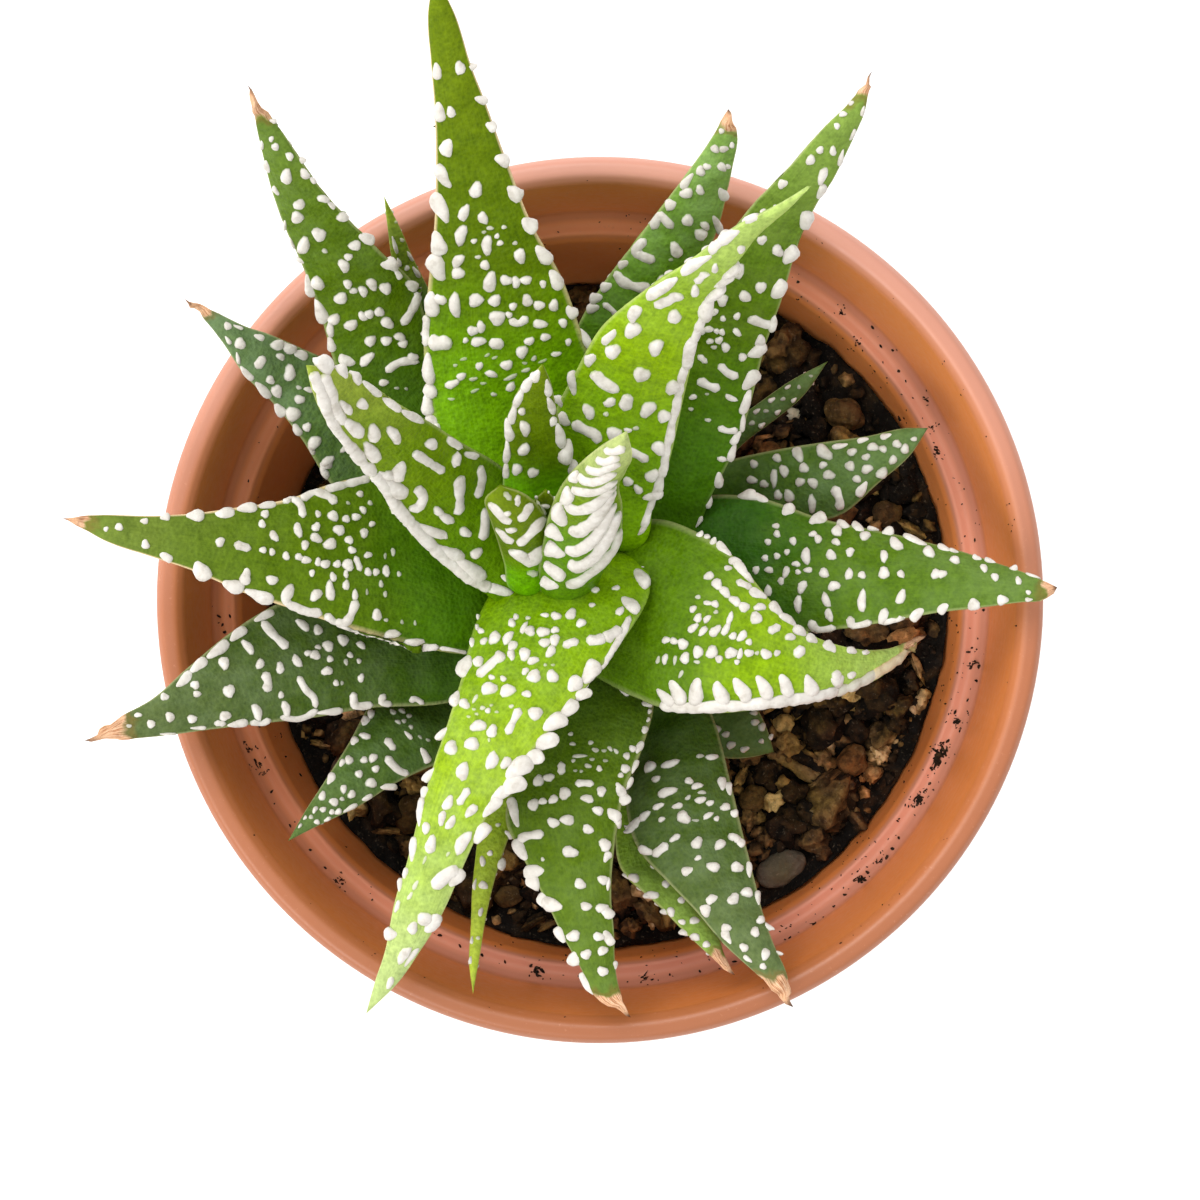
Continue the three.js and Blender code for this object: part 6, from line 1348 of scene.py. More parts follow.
def pot_material():
    m, nt, bsdf = new_material("pot_plastic")
    k = Nodes(nt)
    co = k.coords()
    xyz = k.split(co)
    radius = k.math("SQRT", k.math("ADD", k.math("MULTIPLY", xyz[0], xyz[0]), k.math("MULTIPLY", xyz[1], xyz[1])))
    # flow of the moulding: faint rings and slow patches
    ringv = k.noise(k.combine(k.math("MULTIPLY", radius, 2400.0), k.math("MULTIPLY", xyz[2], 2400.0), 0.0), 1.0, 2, 0.5)
    patch = k.noise(co, 45, 3, 0.6)
    tone = k.math("ADD", k.math("MULTIPLY", patch, 0.7), k.math("MULTIPLY", ringv, 0.3))
    color = k.ramp(tone, [(0.3, (0.325, 0.100, 0.033)), (0.5, (0.370, 0.116, 0.040)), (0.72, (0.415, 0.134, 0.049))])
    inside = k.attr("inside")
    # painted light: the inner wall and collar get a brighter copy of the plastic colour, standing in for light inside
    # the pot
    inner_painted_light = k.ramp(tone, [(0.3, (0.74, 0.227, 0.057)), (0.5, (0.81, 0.260, 0.070)), (0.72, (0.87, 0.295, 0.088))])
    color = k.mix(inside, color, inner_painted_light)
    # painted light: the inner wall on the far (+y) side is brightened further
    far_wall_painted_light = k.math("MULTIPLY", inside, k.span(xyz[1], -0.008, 0.030, 0.0, 0.8))
    color = k.mix(far_wall_painted_light, color, (0.95, 0.35, 0.105))
    high = k.math("MULTIPLY", k.span(xyz[2], 0.0636, 0.0642), k.span(xyz[2], 0.0659, 0.0672, 1.0, 0.0))
    crest = k.math("MULTIPLY", k.math("MULTIPLY", k.span(radius, 0.0380, 0.0388), k.span(radius, 0.0409, 0.0416, 1.0, 0.0)), high)
    # painted sheen: the crest of the inner ledge is tinted pale pink, most on one side
    lean = k.math("SUBTRACT", k.math("MULTIPLY", xyz[0], 0.8), k.math("MULTIPLY", xyz[1], 0.6))
    crest_painted_sheen = k.span(lean, -0.020, 0.012, 0.30, 0.68)
    color = k.mix(k.math("MULTIPLY", crest, crest_painted_sheen), color, (0.64, 0.285, 0.225))
    # painted shade: the groove in the inner ledge is darkened
    groove_painted_shade = k.math("MULTIPLY", k.math("MULTIPLY", k.span(radius, 0.0402, 0.0406), k.span(radius, 0.0411, 0.0414, 1.0, 0.0)), high)
    color = k.mix(k.math("MULTIPLY", k.math("MULTIPLY", groove_painted_shade, inside), 0.30), color, (0.36, 0.13, 0.08))
    # painted sheen: the top of the rim is made paler, most on one side
    top = k.math("MULTIPLY", k.span(xyz[2], 0.0782, 0.0794), k.span(radius, 0.0418, 0.0430))
    side = k.math("ADD", xyz[1], k.math("MULTIPLY", xyz[0], 0.05))
    rim_painted_sheen = k.span(k.math("ADD", side, k.math("MULTIPLY", patch, 0.012)), 0.002, 0.048, 0.06, 0.98)
    color = k.mix(k.math("MULTIPLY", top, rim_painted_sheen), color, (0.62, 0.285, 0.205))
    # painted shade: the top of the rim is darkened on the other (-y) side
    rim_painted_shade = k.span(side, -0.042, -0.006, 0.60, 0.0)
    color = k.mix(k.math("MULTIPLY", top, rim_painted_shade), color, (0.31, 0.105, 0.040))
    dust = k.span(k.noise(co, 1900, 3, 0.7), 0.62, 0.74, 0.0, 0.35)
    color = k.mix(dust, color, (0.60, 0.27, 0.16))
    stain = k.span(k.noise(co, 900, 4, 0.7), 0.66, 0.76, 0.0, 0.5)
    low = k.span(xyz[2], 0.052, 0.062, 1.0, 0.0)
    color = k.mix(k.math("MULTIPLY", stain, k.math("ADD", k.math("MULTIPLY", low, 0.8), 0.25)), color, srgb(98, 54, 32))
    k.link(color, bsdf.inputs["Base Color"])
    gloss = k.span(k.noise(co, 1400, 3, 0.6), 0.3, 0.7, 0.30, 0.42)
    k.link(k.math("ADD", gloss, k.math("MULTIPLY", crest, 0.16)), bsdf.inputs["Roughness"])
    n1 = k.bump(k.noise(co, 2600, 2, 0.5), 0.10, 0.00012)
    n2 = k.bump(ringv, 0.16, 0.00008, n1)
    k.link(n2, bsdf.inputs["Normal"])
    bsdf.inputs["Specular IOR Level"].default_value = 0.5
    return m


POT_MAT = pot_material()
prof = round_profile(RIM_PROFILE)
pv, pf = lathe(prof, 224)
pot_obj = make_object("pot_shell", pv, pf, [POT_MAT])
# drainage holes
cut_v, cut_f = [], []
for i in range(6):
    t0 = math.radians(30 + 60 * i)
    cx, cy = 19 * math.cos(t0), 19 * math.sin(t0)
    base = len(cut_v)
    S = 40
    for z, r in ((-1.0, 3.1), (5.2, 3.1)):
        for k in range(S):
            t = 2 * math.pi * k / S
            cut_v.append((cx + r * math.cos(t), cy + r * math.sin(t), z))
    for k in range(S):
        a, b = base + k, base + (k + 1) % S
        cut_f.append((a, b, b + S, a + S))
    cut_f.append(tuple(base + k for k in reversed(range(S))))
    cut_f.append(tuple(base + S + k for k in range(S)))
cutter = make_object("cutter", cut_v, cut_f, [POT_MAT], shade=False)
mod = pot_obj.modifiers.new("holes", "BOOLEAN")
mod.operation = "DIFFERENCE"
mod.solver = "MANIFOLD"
mod.object = cutter
bpy.context.view_layer.objects.active = pot_obj
dg = bpy.context.evaluated_depsgraph_get()
cut_mesh = bpy.data.meshes.new_from_object(pot_obj.evaluated_get(dg), depsgraph=dg)
pot_obj.modifiers.clear()
pot_obj.data = cut_mesh


def inner_side(p):
    """1 on the pot's inner wall and collar, 0 outside it and below."""
    r, z = math.hypot(p[0], p[1]), p[2]
    if z > 64.3:
        return (1.0 - float(smooth((r - (41.75 + 0.07 * (z - 65.0))) / 0.7))) * (1.0 - 0.75 * float(smooth((z - 78.4) / 0.8)))
    return 1.0 if z > 3.0 and r < 39.15 - 0.158 * (63.0 - z) else 0.0


inner_attr = cut_mesh.attributes.new("inside", "FLOAT", "POINT")
inner_attr.data.foreach_set("value", [inner_side(v.co / MM) for v in cut_mesh.vertices])
bpy.data.objects.remove(cutter)
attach(pot_obj, "root")
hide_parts("pot")
print("pot triangles", sum(len(p.vertices) - 2 for p in pot_obj.data.polygons), "z", min(v.co.z for v in pot_obj.data.vertices))

# ---------------------------------------------------------------- potting mix
EDGE_DEPTH = [(0, 22.5), (20, 22.5), (40, 24), (58, 26.5), (90, 35), (120, 36.5), (150, 36), (190, 28),
              (230, 25.5), (260, 22.5), (305, 22), (340, 22.3), (360, 22.5)]


def soil_top(x, y):
    """Height of the mix: low at the back left, higher towards the right, shallow dip round the stem."""
    r = math.hypot(x, y)
    h = math.degrees(math.atan2(y, x)) % 360
    for (h0, d0), (h1, d1) in zip(EDGE_DEPTH[:-1], EDGE_DEPTH[1:]):
        if h0 <= h <= h1:
            t = (h - h0) / (h1 - h0)
            edge = d0 + (d1 - d0) * t * t * (3 - 2 * t)
            break
    t = min(r / 36.0, 1.0)
    s = t * t * (3 - 2 * t)
    return 80.0 - (26.0 + (edge - 26.0) * s) + 0.35 * math.sin(0.9 * x + 1) * math.cos(0.8 * y)


def pot_inner(z):
    return 38.25 - 0.155 * (63.0 - z)


def fbm(x, y, z, octaves=4, gain=0.5):
    total, amp, f = 0.0, 1.0, 1.0
    for _ in range(octaves):
        total += amp * noise.noise(Vector((x * f, y * f, z * f)))
        amp *= gain
        f *= 2.03
    return total


def crust_height(x, y):
    n = fbm(x * 0.32, y * 0.32, 3.1, 5, 0.58)
    clods = 1.0 - abs(noise.noise(Vector((x * 0.55, y * 0.55, 9.7)))) * 2.2
    return soil_top(x, y) + 1.0 + 0.95 * n + 0.45 * max(0.0, clods)


def mix_material(name, stops, rough=(0.72, 0.95), wet=0.16, gloom=0.75):
    m, nt, bsdf = new_material(name)
    k = Nodes(nt)
    co = k.coords()
    tone = k.attr("tone")
    v = k.math("ADD", tone, k.math("MULTIPLY", k.math("SUBTRACT", k.noise(co, 420, 4, 0.65), 0.5), 0.5))
    color = k.ramp(v, stops, "LINEAR")
    # some of it is greener, some redder
    hue = k.noise(co, 130, 2, 0.5)
    color = k.mix(k.span(hue, 0.44, 0.58, 0.0, 0.8), color, k.mix(1.0, color, (0.98, 1.06, 0.66), "MULTIPLY"))
    color = k.mix(k.span(hue, 0.44, 0.34, 0.0, 0.7), color, k.mix(1.0, color, (1.30, 0.86, 0.62), "MULTIPLY"))
    specks = k.span(k.noise(co, 2300, 3, 0.7), 0.60, 0.70, 0.0, 0.7)
    color = k.mix(specks, color, k.mix(0.35, color, (0.38, 0.30, 0.20)))
    dark = k.span(k.noise(co, 1200, 3, 0.65), 0.40, 0.56, gloom, 0.0)
    color = k.mix(dark, color, k.mix(0.75, color, (0.004, 0.003, 0.002)))
    k.link(color, bsdf.inputs["Base Color"])
    k.link(k.span(k.noise(co, 500, 3, 0.6), 0.35, 0.65, rough[0], rough[1]), bsdf.inputs["Roughness"])
    h = k.math("ADD", k.math("MULTIPLY", k.noise(co, 1500, 4, 0.65), 0.6), k.math("MULTIPLY", k.voronoi(co, 1100), 0.5))
    n1 = k.bump(h, 0.9, 0.0005)
    k.link(n1, bsdf.inputs["Normal"])
    bsdf.inputs["Specular IOR Level"].default_value = wet
    return m


SOIL_MAT = mix_material("potting_mix", [(0.0, srgb(6, 4, 3)), (0.45, srgb(19, 13, 8)), (0.7, srgb(54, 38, 22)), (1.0, srgb(112, 84, 52))])
LUMP_MAT = mix_material("mix_lump", [(0.0, srgb(17, 11, 6)), (0.28, srgb(62, 44, 26)), (0.6, srgb(124, 95, 57)),
                                     (0.85, srgb(178, 139, 91)), (1.0, srgb(222, 184, 138))], gloom=0.66)
BARK_MAT = mix_material("bark", [(0.0, srgb(40, 28, 16)), (0.5, srgb(104, 80, 46)), (1.0, srgb(164, 130, 84))], (0.65, 0.9), gloom=0.5)
STONE_MAT = mix_material("pebble", [(0.0, srgb(70, 62, 52)), (0.5, srgb(118, 106, 90)), (1.0, srgb(204, 194, 180))], (0.5, 0.75), 0.3, 0.25)

SOIL_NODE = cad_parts["soil"]
SOIL_NODE.data.materials.clear()
SOIL_NODE.data.materials.append(SOIL_MAT)

# the crust: fines and small clods over the bed, a closed sheet that fits the pot's wall
RINGS, SPOKES = ((84, 330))
cv, ct = [], []
for i in range(RINGS + 1):
    for j in range(SPOKES):
        t = 2 * math.pi * j / SPOKES
        f = (i / RINGS) ** 0.8
        edge = pot_inner(soil_top(37 * math.cos(t), 37 * math.sin(t)) + 1.0) - 0.12
        r = max(0.4, f * edge)
        x, y = r * math.cos(t), r * math.sin(t)
        z = crust_height(x, y)
        if f > 0.93:                                   # the mix clings to the wall in an uneven line
            z += (f - 0.93) / 0.07 * (0.9 + 1.3 * noise.noise(Vector((x * 0.5, y * 0.5, 5.5))))
        cv.append((x, y, z))
        ct.append(0.32 + 0.5 * noise.noise(Vector((x * 0.45, y * 0.45, 1.3))) + 0.25 * noise.noise(Vector((x * 1.7, y * 1.7, 4.3))))
cf = []
for i in range(RINGS):
    for j in range(SPOKES):
        a, b = i * SPOKES + j, i * SPOKES + (j + 1) % SPOKES
        cf.append((a, a + SPOKES, b + SPOKES, b))
base = len(cv)
for j in range(SPOKES):
    x, y, z = cv[RINGS * SPOKES + j]
    cv.append((x * 0.998, y * 0.998, soil_top(x, y) + 0.25))
    ct.append(0.2)
INNER = 24
for i in range(1, INNER + 1):
    for j in range(SPOKES):
        x, y, z = cv[RINGS * SPOKES + j]
        f = max(0.012, 1 - i / INNER)
        cv.append((x * f, y * f, soil_top(x * f, y * f) + 0.25))
        ct.append(0.2)
for i in range(INNER + 1):
    for j in range(SPOKES):
        a0 = RINGS * SPOKES + j if i == 0 else base + (i - 1) * SPOKES + j
        b0 = RINGS * SPOKES + (j + 1) % SPOKES if i == 0 else base + (i - 1) * SPOKES + (j + 1) % SPOKES
        a1, b1 = base + i * SPOKES + j, base + i * SPOKES + (j + 1) % SPOKES
        cf.append((a0, a1, b1, b0))
cf.append(tuple(range(SPOKES))[::-1] if False else tuple(reversed(range(SPOKES))))
lastring = base + INNER * SPOKES
cf.append(tuple(lastring + j for j in range(SPOKES)))
crust = make_object("soil_crust", cv, cf, [SOIL_MAT], {"tone": ct})
bm = bmesh.new()
bm.from_mesh(crust.data)
bmesh.ops.triangulate(bm, faces=[f for f in bm.faces if len(f.verts) > 4])
bmesh.ops.recalc_face_normals(bm, faces=bm.faces)
bm.to_mesh(crust.data)
bm.free()
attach(crust, "root")


def ico(subdiv):
    b = bmesh.new()
    bmesh.ops.create_icosphere(b, subdivisions=subdiv, radius=1.0)
    vs = np.array([v.co[:] for v in b.verts])
    fs = [tuple(v.index for v in f.verts) for f in b.faces]
    b.free()
    return vs, fs


ICO = {n: ico(n) for n in (1, 2, 3)}


def lump(build, center, half, seed, detail=2, rough=0.22, turn=None, tone=0.5, angular=0.0):
    """An irregular grain: noise on a ball, some of its sides knocked flat."""
    vs, fs = ICO[detail]
    rng = random.Random(seed)
    R = Matrix.Rotation(rng.random() * 6.28, 3, "Z") @ Matrix.Rotation(rng.random() * (0.6 if turn is None else 0.15), 3, "X")
    if turn is not None:
        R = Matrix.Rotation(turn, 3, "Z")
    planes = [(unit(np.array([rng.gauss(0, 1), rng.gauss(0, 1), rng.gauss(0, 1)])), 0.62 + 0.25 * rng.random()) for _ in range(5)]
    out, tones_with_painted_shade = [], []
    off = rng.random() * 50
    for v in vs:
        p = Vector(v)
        knob = 0.32 - abs(noise.noise(p * 2.2 + Vector((0, off, 0))))
        k = 1.0 + rough * noise.noise(p * 1.1 + Vector((off, 0, 0))) + 1.1 * rough * knob \
            + (0.34 if detail > 2 else 0.14) * rough * noise.noise(p * 5.0 + Vector((0, 0, off)))
        q = np.array(v) * k
        if angular:
            for n, d in planes:
                over = q.dot(n) - d
                if over > 0:
                    q = q - n * over * angular
        q = np.array(R @ Vector((q[0] * half[0], q[1] * half[1], q[2] * half[2])))
        out.append(q + center)
        # painted shade: on top of its own tone, each grain is lighter on top and on its knobs, darker on its underside
        # and in the creases between knobs
        tones_with_painted_shade.append(tone + 0.60 * knob + 0.30 * v[2] - 0.12)
    build.add(out, fs, 0, tone=tones_with_painted_shade)


leaf_tree = BVHTree.FromPolygons(
    [Vector(v) for s in SKINS.values() for v in s.V],
    [tuple(i + off for i in f) for s, off in
     zip(SKINS.values(), np.concatenate([[0], np.cumsum([len(s.V) for s in SKINS.values()])[:-1]]).tolist()) for f in s.F])


def clear_above(x, y, z, need):
    loc, nor, idx, dist = leaf_tree.ray_cast(Vector((x, y, z)), Vector((0, 0, 1)))
    return loc is None or dist > need


rng = random.Random(42)
LITTER_SPOTS = [(20.2, -30.0, 4.6), (21.0, 20.2, 1.2), (21.6, -18.4, 2.4), (14.2, -24.8, 2.2), (27.2, -17.4, 2.2), (20.0, -13.4, 1.6),
                (16.6, -21.4, 1.8), (26.6, 20.2, 2.6), (31.0, 9.4, 2.1), (-20.4, -23.2, 2.6), (-10.0, -32.0, 1.9), (-27.4, -18.4, 2.6)]
placed = list(LITTER_SPOTS)


def place(r, keep):
    for _ in range(30):
        t = rng.random() * 2 * math.pi
        d = 37.0 * math.sqrt(0.08 + 0.92 * rng.random())
        x, y = d * math.cos(t), d * math.sin(t)
        z = crust_height(x, y)
        if d + r > pot_inner(z) - 0.3:
            continue
        corner = x > 8 and y > -7                      # fewer lumps there, and mostly fines along the wall
        if rng.random() < (0.85 if d + r > pot_inner(z) - (4.2 if corner else 1.5) else 0.42 if corner else 0.0):
            continue
        if any((x - a) ** 2 + (y - b) ** 2 < (keep * (r + c)) ** 2 for a, b, c in placed):
            continue
        if not clear_above(x, y, z, r * 1.6 + 0.3):
            continue
        placed.append((x, y, r))
        return x, y, z
    return None


grit_tris = 0
for part_name, sizes in (("grit_coarse", ((210, 1.45, 2.5, 0.76), (330, 0.95, 1.5, 0.72))),
                         ("grit_small", ((640, 0.62, 1.0, 0.68), (900, 0.36, 0.66, 0.66)))):
    grit = Build(("tone",))
    for n_lump, lo, hi, keep in sizes:
        for i in range(n_lump):
            r = lo + (hi - lo) * rng.random() ** 1.5
            at = place(r, keep)
            if at is None:
                continue
            x, y, z = at
            half = (r * (0.95 + 0.35 * rng.random()), r * (0.78 + 0.3 * rng.random()), r * (0.66 + 0.3 * rng.random()))
            tone = rng.choice((-0.16, -0.06, 0.02, 0.10, 0.18, 0.28, 0.40, 0.54, 0.76)) + 0.1 * rng.random()
            if x > 8 and y > -7:                       # painted shade: lumps in the deep corner under the tall leaves are darkened
                tone -= 0.24
            if r > 1.5:                                # only the smaller ones are pale
                tone = min(tone, 0.34)
            if rng.random() < 0.14:                    # a bit of root or bark among them
                half = (r * 1.7, r * 0.42, r * 0.42)
            lump(grit, np.array([x, y, z + half[2] * (0.35 + 0.55 * rng.random())]), half, i * 7 + int(lo * 100), 3 if r > 0.95 else 2 if r > 0.5 else 1,
                 0.76, None, tone, 0.25)
    grit_obj = grit.object(part_name, [LUMP_MAT])
    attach(grit_obj, "root")
    grit_tris += grit.tris()
print("grit triangles", grit_tris, "crust", sum(len(p.vertices) - 2 for p in crust.data.polygons))

fines = Build(("tone",))
for i in range(900):
    t = rng.random() * 2 * math.pi
    d = 37.4 * math.sqrt(rng.random())
    x, y = d * math.cos(t), d * math.sin(t)
    z = crust_height(x, y)
    if d > pot_inner(z) - 0.5 or not clear_above(x, y, z, 1.0):
        continue
    r = 0.18 + 0.34 * rng.random() ** 2
    long_ = rng.random() < 0.12
    half = (r * (3.2 if long_ else 1.2), r * (0.55 if long_ else 1.0), r * (0.5 if long_ else 0.8))
    lump(fines, np.array([x, y, z + r * 0.35]), half, i + 5000, 1, 0.35, None, rng.choice((0.1, 0.25, 0.4, 0.6, 0.95)), 0.4)
fines_obj = fines.object("fine_grains", [SOIL_MAT])
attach(fines_obj, "root")

# ---------------------------------------------------------------- the loose stones, bark and lumps that the frame places
LITTER_LOOK = {
    "pebble_grey_oval": (STONE_MAT, "pebble", 0.20, 0.05, 0.0), "pebble_pale": (STONE_MAT, "pebble", 0.92, 0.06, 0.0),
    "pebble_left": (STONE_MAT, "pebble", 0.30, 0.08, 0.1), "bark_chip_long": (BARK_MAT, "bark", 0.72, 0.22, 0.3),
    "bark_chip_wall": (BARK_MAT, "bark", 0.30, 0.25, 0.3), "lump_olive": (LUMP_MAT, "mix_lump", 0.50, 0.24, 0.3),
    "lump_tan": (LUMP_MAT, "mix_lump", 0.92, 0.20, 0.2), "lump_brown": (LUMP_MAT, "mix_lump", 0.42, 0.26, 0.3),
    "lump_upper": (LUMP_MAT, "mix_lump", 0.40, 0.26, 0.3), "lump_right": (LUMP_MAT, "mix_lump", 0.36, 0.24, 0.3),
    "lump_low_left": (LUMP_MAT, "mix_lump", 0.30, 0.26, 0.3), "lump_bottom": (LUMP_MAT, "mix_lump", 0.40, 0.26, 0.3),
}
for n_, (name, (mat, slot, tone, rough, angular)) in enumerate(LITTER_LOOK.items()):
    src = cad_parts[name].data
    b = bmesh.new()
    b.from_mesh(src)
    bmesh.ops.remove_doubles(b, verts=b.verts, dist=1e-6)
    bmesh.ops.subdivide_edges(b, edges=b.edges, cuts=3, use_grid_fill=True, smooth=0.7)
    b.normal_update()
    off = 3.7 * (n_ + 1)
    amp = rough * 2.0
    moves = []
    for v in b.verts:
        p = v.co / MM
        d = fbm(p[0] * 0.55 + off, p[1] * 0.55, p[2] * 0.55, 4, 0.55) * amp * 0.5
        if slot == "bark":
            d += 0.16 * noise.noise(Vector((p[0] * 3.0, p[1] * 0.9, p[2] * 3.0 + off)))
        moves.append((v, v.normal.copy() * (d - 0.15 * amp) * MM))
    for v, d in moves:
        v.co += d
    mesh = bpy.data.meshes.new(name + "_look")
    b.to_mesh(mesh)
    b.free()
    mesh.materials.append(mat)
    mesh.polygons.foreach_set("use_smooth", np.ones(len(mesh.polygons), bool))
    a = mesh.attributes.new("tone", "FLOAT", "POINT")
    a.data.foreach_set("value", np.full(len(mesh.vertices), tone, np.float32))
    o = bpy.data.objects.new("loose_" + name, mesh)
    bpy.context.scene.collection.objects.link(o)
    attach(o, "root")
    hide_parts(name)

# ---------------------------------------------------------------- crumbs of mix left on the pot's ledges
CRUMB_MAT = mix_material("crumbs", [(0.0, srgb(18, 12, 9)), (0.5, srgb(34, 24, 18)), (1.0, srgb(70, 48, 34))])
LEDGE = BVHTree.FromPolygons([Vector(v) for v in pv], [tuple(f) for f in pf])
crumbs = Build(("tone",))


def crumb(px, py, size, seed, drawn=1.0):
    eye = Vector((0, 0, VIEW_Z))
    d = (Vector(sight(px, py, 0.0)) - eye).normalized()
    if leaf_tree.ray_cast(eye, d)[0] is not None:
        return
    loc, nor, idx, dist = LEDGE.ray_cast(eye, d)
    if loc is None or nor.z < 0.15 or loc.z > 79.7 or loc.z < 58:
        return
    r = size * 0.5 * (VIEW_Z - loc.z) / VIEW_F
    g = random.Random(seed)
    half = (r * (0.9 + 0.7 * g.random()) * drawn ** 0.8, r * (0.6 + 0.3 * g.random()) / drawn ** 0.6, r * 0.55 / drawn ** 0.5)
    lump(crumbs, np.array(loc) + np.array(nor) * r * 0.3, half, seed, 2 if size > 6 else 1, 0.4, None, 0.2 + 0.5 * g.random(), 0.4)


CRUMBS = [  # pixel of the view from above and size in px
    (975, 665, 9), (977, 681, 4), (968, 652, 3), (972, 648, 3), (958, 720, 8), (955, 712, 4), (945, 752, 9), (938, 760, 12), (941, 744, 5),
    (931, 768, 5), (948, 741, 4), (920, 800, 10), (925, 790, 5), (914, 806, 5), (930, 784, 4), (880, 862, 7), (887, 858, 4), (860, 880, 9),
    (868, 873, 4), (815, 925, 6), (806, 930, 4), (537, 972, 9), (531, 966, 4), (645, 978, 6), (652, 980, 3), (980, 440, 5), (977, 450, 4),
    (984, 446, 3), (937, 452, 6), (932, 427, 5), (936, 447, 3), (900, 418, 4), (248, 750, 6), (244, 742, 3), (258, 765, 6), (255, 761, 4),
    (338, 880, 6), (342, 884, 3), (440, 935, 4), (926, 399, 5), (881, 346, 4), (873, 327, 4), (857, 343, 6), (841, 312, 5), (798, 282, 4),
    (893, 350, 3), (899, 371, 4), (920, 470, 3), (928, 486, 4), (915, 430, 3), (986, 512, 3), (975, 540, 3), (962, 590, 3),
    (984, 610, 4), (950, 618, 3), (968, 700, 3), (960, 731, 3), (893, 849, 4), (899, 838, 3), (845, 895, 4), (834, 907, 3), (790, 938, 3),
    (770, 952, 3), (735, 962, 4), (700, 972, 3), (670, 975, 3), (610, 978, 3), (580, 976, 3), (505, 962, 3), (482, 955, 4), (460, 946, 3),
    (420, 925, 3), (395, 912, 3), (372, 900, 3), (325, 868, 3), (310, 850, 3), (290, 826, 3), (271, 792, 4), (262, 774, 5), (236, 745, 4),
    (219, 577, 6), (218, 616, 4), (224, 632, 4), (222, 625, 3), (230, 616, 3), (210, 614, 3), (282, 735, 5), (285, 757, 3), (308, 762, 4),
    (300, 775, 3),
]
for i, (x, y, s) in enumerate(CRUMBS):
    bits = random.Random(300 + i)
    if s < 5:
        crumb(x, y, s * 1.05, 900 + i)
        continue
    for b in range(int(3 + s * 0.9)):
        t, d = bits.random() * 6.28, s * 0.62 * bits.random() ** 0.7
        crumb(x + d * math.cos(t), y + d * 0.8 * math.sin(t), s * (0.24 + 0.34 * bits.random()), 5000 + i * 20 + b,
              2.6 if bits.random() < 0.3 else 1.0)
    for b in range(4):
        t, d = bits.random() * 6.28, s * (0.9 + 0.9 * bits.random())
        crumb(x + d * math.cos(t), y + d * math.sin(t), 1.1 + 1.3 * bits.random(), 7000 + i * 20 + b)
g = random.Random(77)
for i in range(420):              # the finest dust, densest at the lower right
    a = g.gauss(-0.35, 1.15) if g.random() < 0.72 else g.random() * 6.28
    rr = g.choice((g.uniform(372, 392), g.uniform(352, 372), g.uniform(392, 425)))
    crumb(600 + rr * math.cos(a), 600 - rr * math.sin(a), g.uniform(1.0, 2.4), 2000 + i)
crumb_obj = crumbs.object("soil_crumbs", [CRUMB_MAT])
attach(crumb_obj, "root")
print("crumb triangles", crumbs.tris())


# ---------------------------------------------------------------- stem and roots keep their frame shapes
def tissue_material(name, stops):
    m, nt, bsdf = new_material(name)
    k = Nodes(nt)
    co = k.coords()
    color = k.ramp(k.noise(co, 320, 4, 0.65), stops)
    dirt = k.span(k.noise(co, 900, 4, 0.7), 0.55, 0.68, 0.0, 0.8)
    color = k.mix(dirt, color, srgb(60, 42, 28))
    k.link(color, bsdf.inputs["Base Color"])
    k.link(k.span(k.noise(co, 600, 3, 0.6), 0.3, 0.7, 0.5, 0.75), bsdf.inputs["Roughness"])
    k.link(k.bump(k.noise(co, 1400, 4, 0.6), 0.6, 0.0003), bsdf.inputs["Normal"])
    return m


STEM_MAT = tissue_material("stem_tissue", [(0.3, srgb(110, 112, 56)), (0.5, srgb(134, 138, 76)), (0.7, srgb(160, 152, 98))])
ROOT_MAT = tissue_material("root_tissue", [(0.3, srgb(188, 160, 112)), (0.5, srgb(214, 190, 146)), (0.7, srgb(228, 210, 172))])
for n_ in ["stem"] + ["root_%d" % i for i in range(1, 7)]:
    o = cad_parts[n_]
    o.data.materials.clear()
    o.data.materials.append(STEM_MAT if n_ == "stem" else ROOT_MAT)

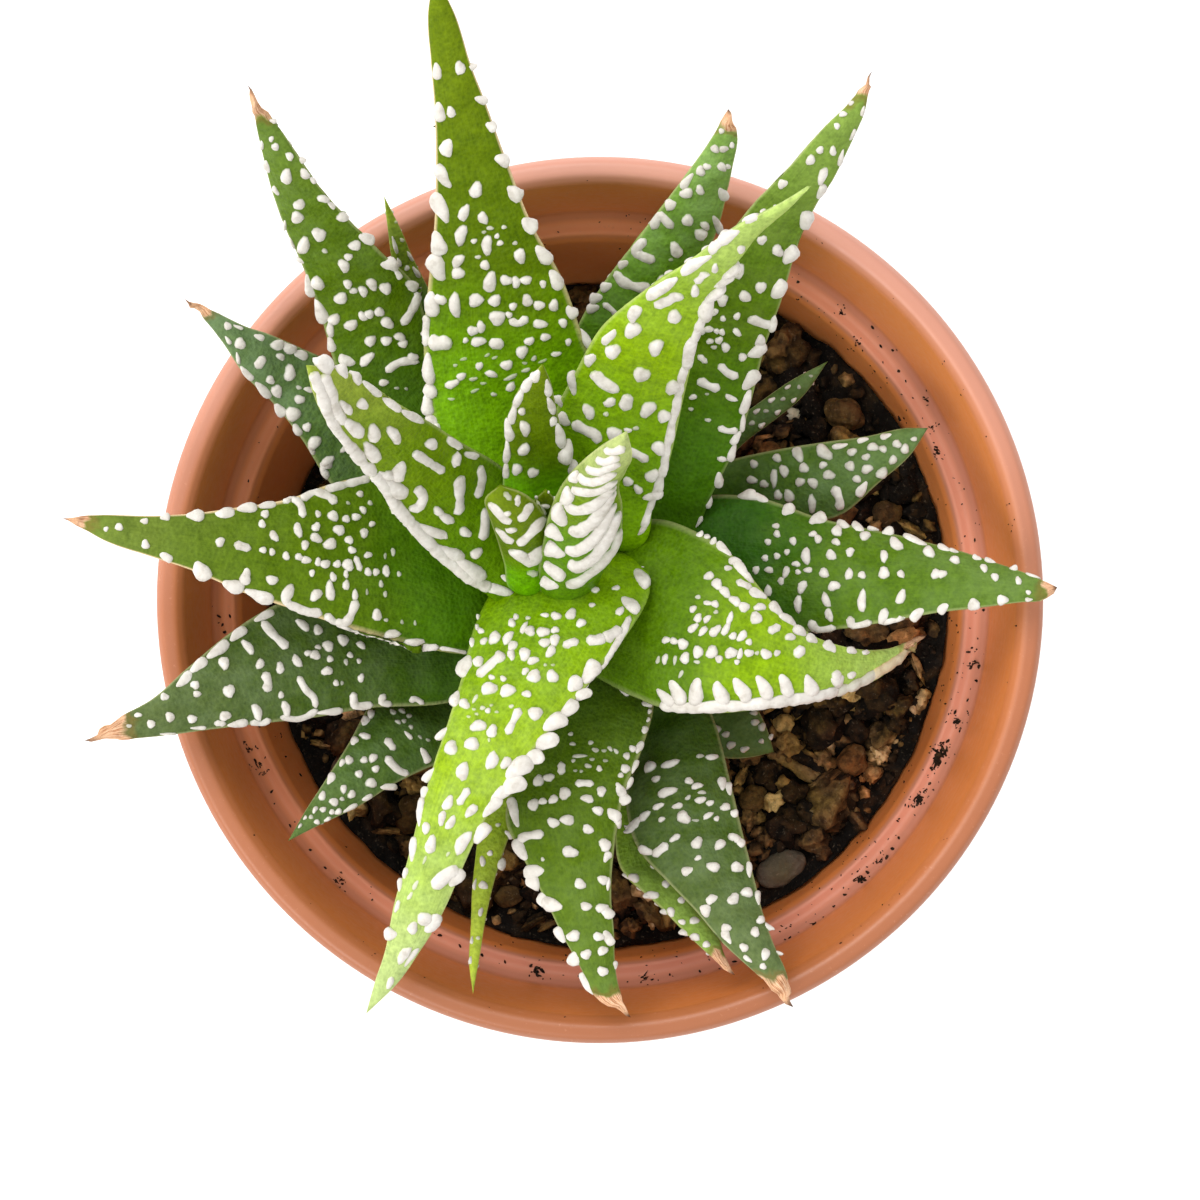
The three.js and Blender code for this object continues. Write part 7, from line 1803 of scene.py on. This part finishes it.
# ---------------------------------------------------------------- stage, light
def floor_material():
    m, nt, bsdf = new_material("floor")
    k = Nodes(nt)
    co = k.coords()
    color = k.ramp(k.noise(co, 3, 3, 0.5), [(0.3, (0.86, 0.86, 0.86)), (0.7, (0.89, 0.89, 0.885))])
    k.link(color, bsdf.inputs["Base Color"])
    k.link(k.span(k.noise(co, 60, 2, 0.5), 0.3, 0.7, 0.72, 0.82), bsdf.inputs["Roughness"])
    bsdf.inputs["Specular IOR Level"].default_value = 0.2
    bsdf.inputs["Emission Color"].default_value = (1.0, 1.0, 1.0, 1.0)
    bsdf.inputs["Emission Strength"].default_value = 0.2
    return m


fv, ff = [], []
N = 24
for i in range(N + 1):
    for j in range(N + 1):
        fv.append(((i / N - 0.5) * 14000, (j / N - 0.5) * 14000, -0.02))
for i in range(N):
    for j in range(N):
        a = i * (N + 1) + j
        ff.append((a, a + N + 1, a + N + 2, a + 1))
floor = make_object("floor", fv, ff, [floor_material()])

world = bpy.data.worlds.new("studio")
bpy.context.scene.world = world
world.use_nodes = True
bg = world.node_tree.nodes["Background"]
bg.inputs["Color"].default_value = (1.0, 1.0, 1.0, 1.0)
bg.inputs["Strength"].default_value = 0.90


def soft_light(name, at, aim, size, power, color=(1, 1, 1)):
    d = bpy.data.lights.new(name, "AREA")
    d.shape = "RECTANGLE"
    d.size, d.size_y = size
    d.energy = power
    d.color = color
    o = bpy.data.objects.new(name, d)
    o.location = at
    o.rotation_euler = (Vector(aim) - Vector(at)).to_track_quat("-Z", "Y").to_euler()
    bpy.context.scene.collection.objects.link(o)
    return o


soft_light("key", (-0.30, 0.50, 0.92), (0, 0, 0.06), (0.72, 0.72), 6.2, (1.0, 0.985, 0.965))
soft_light("fill", (-0.50, -0.58, 0.74), (0, 0, 0.06), (0.7, 0.7), 5.2, (1.0, 0.99, 0.98))
soft_light("side", (-0.85, 0.25, 0.42), (0, 0, 0.06), (0.7, 0.5), 2.2, (1.0, 0.99, 0.98))

view = bpy.context.scene.view_settings
view.view_transform = "Standard"
view.look = "None"
view.exposure = 0.0
view.gamma = 1.0

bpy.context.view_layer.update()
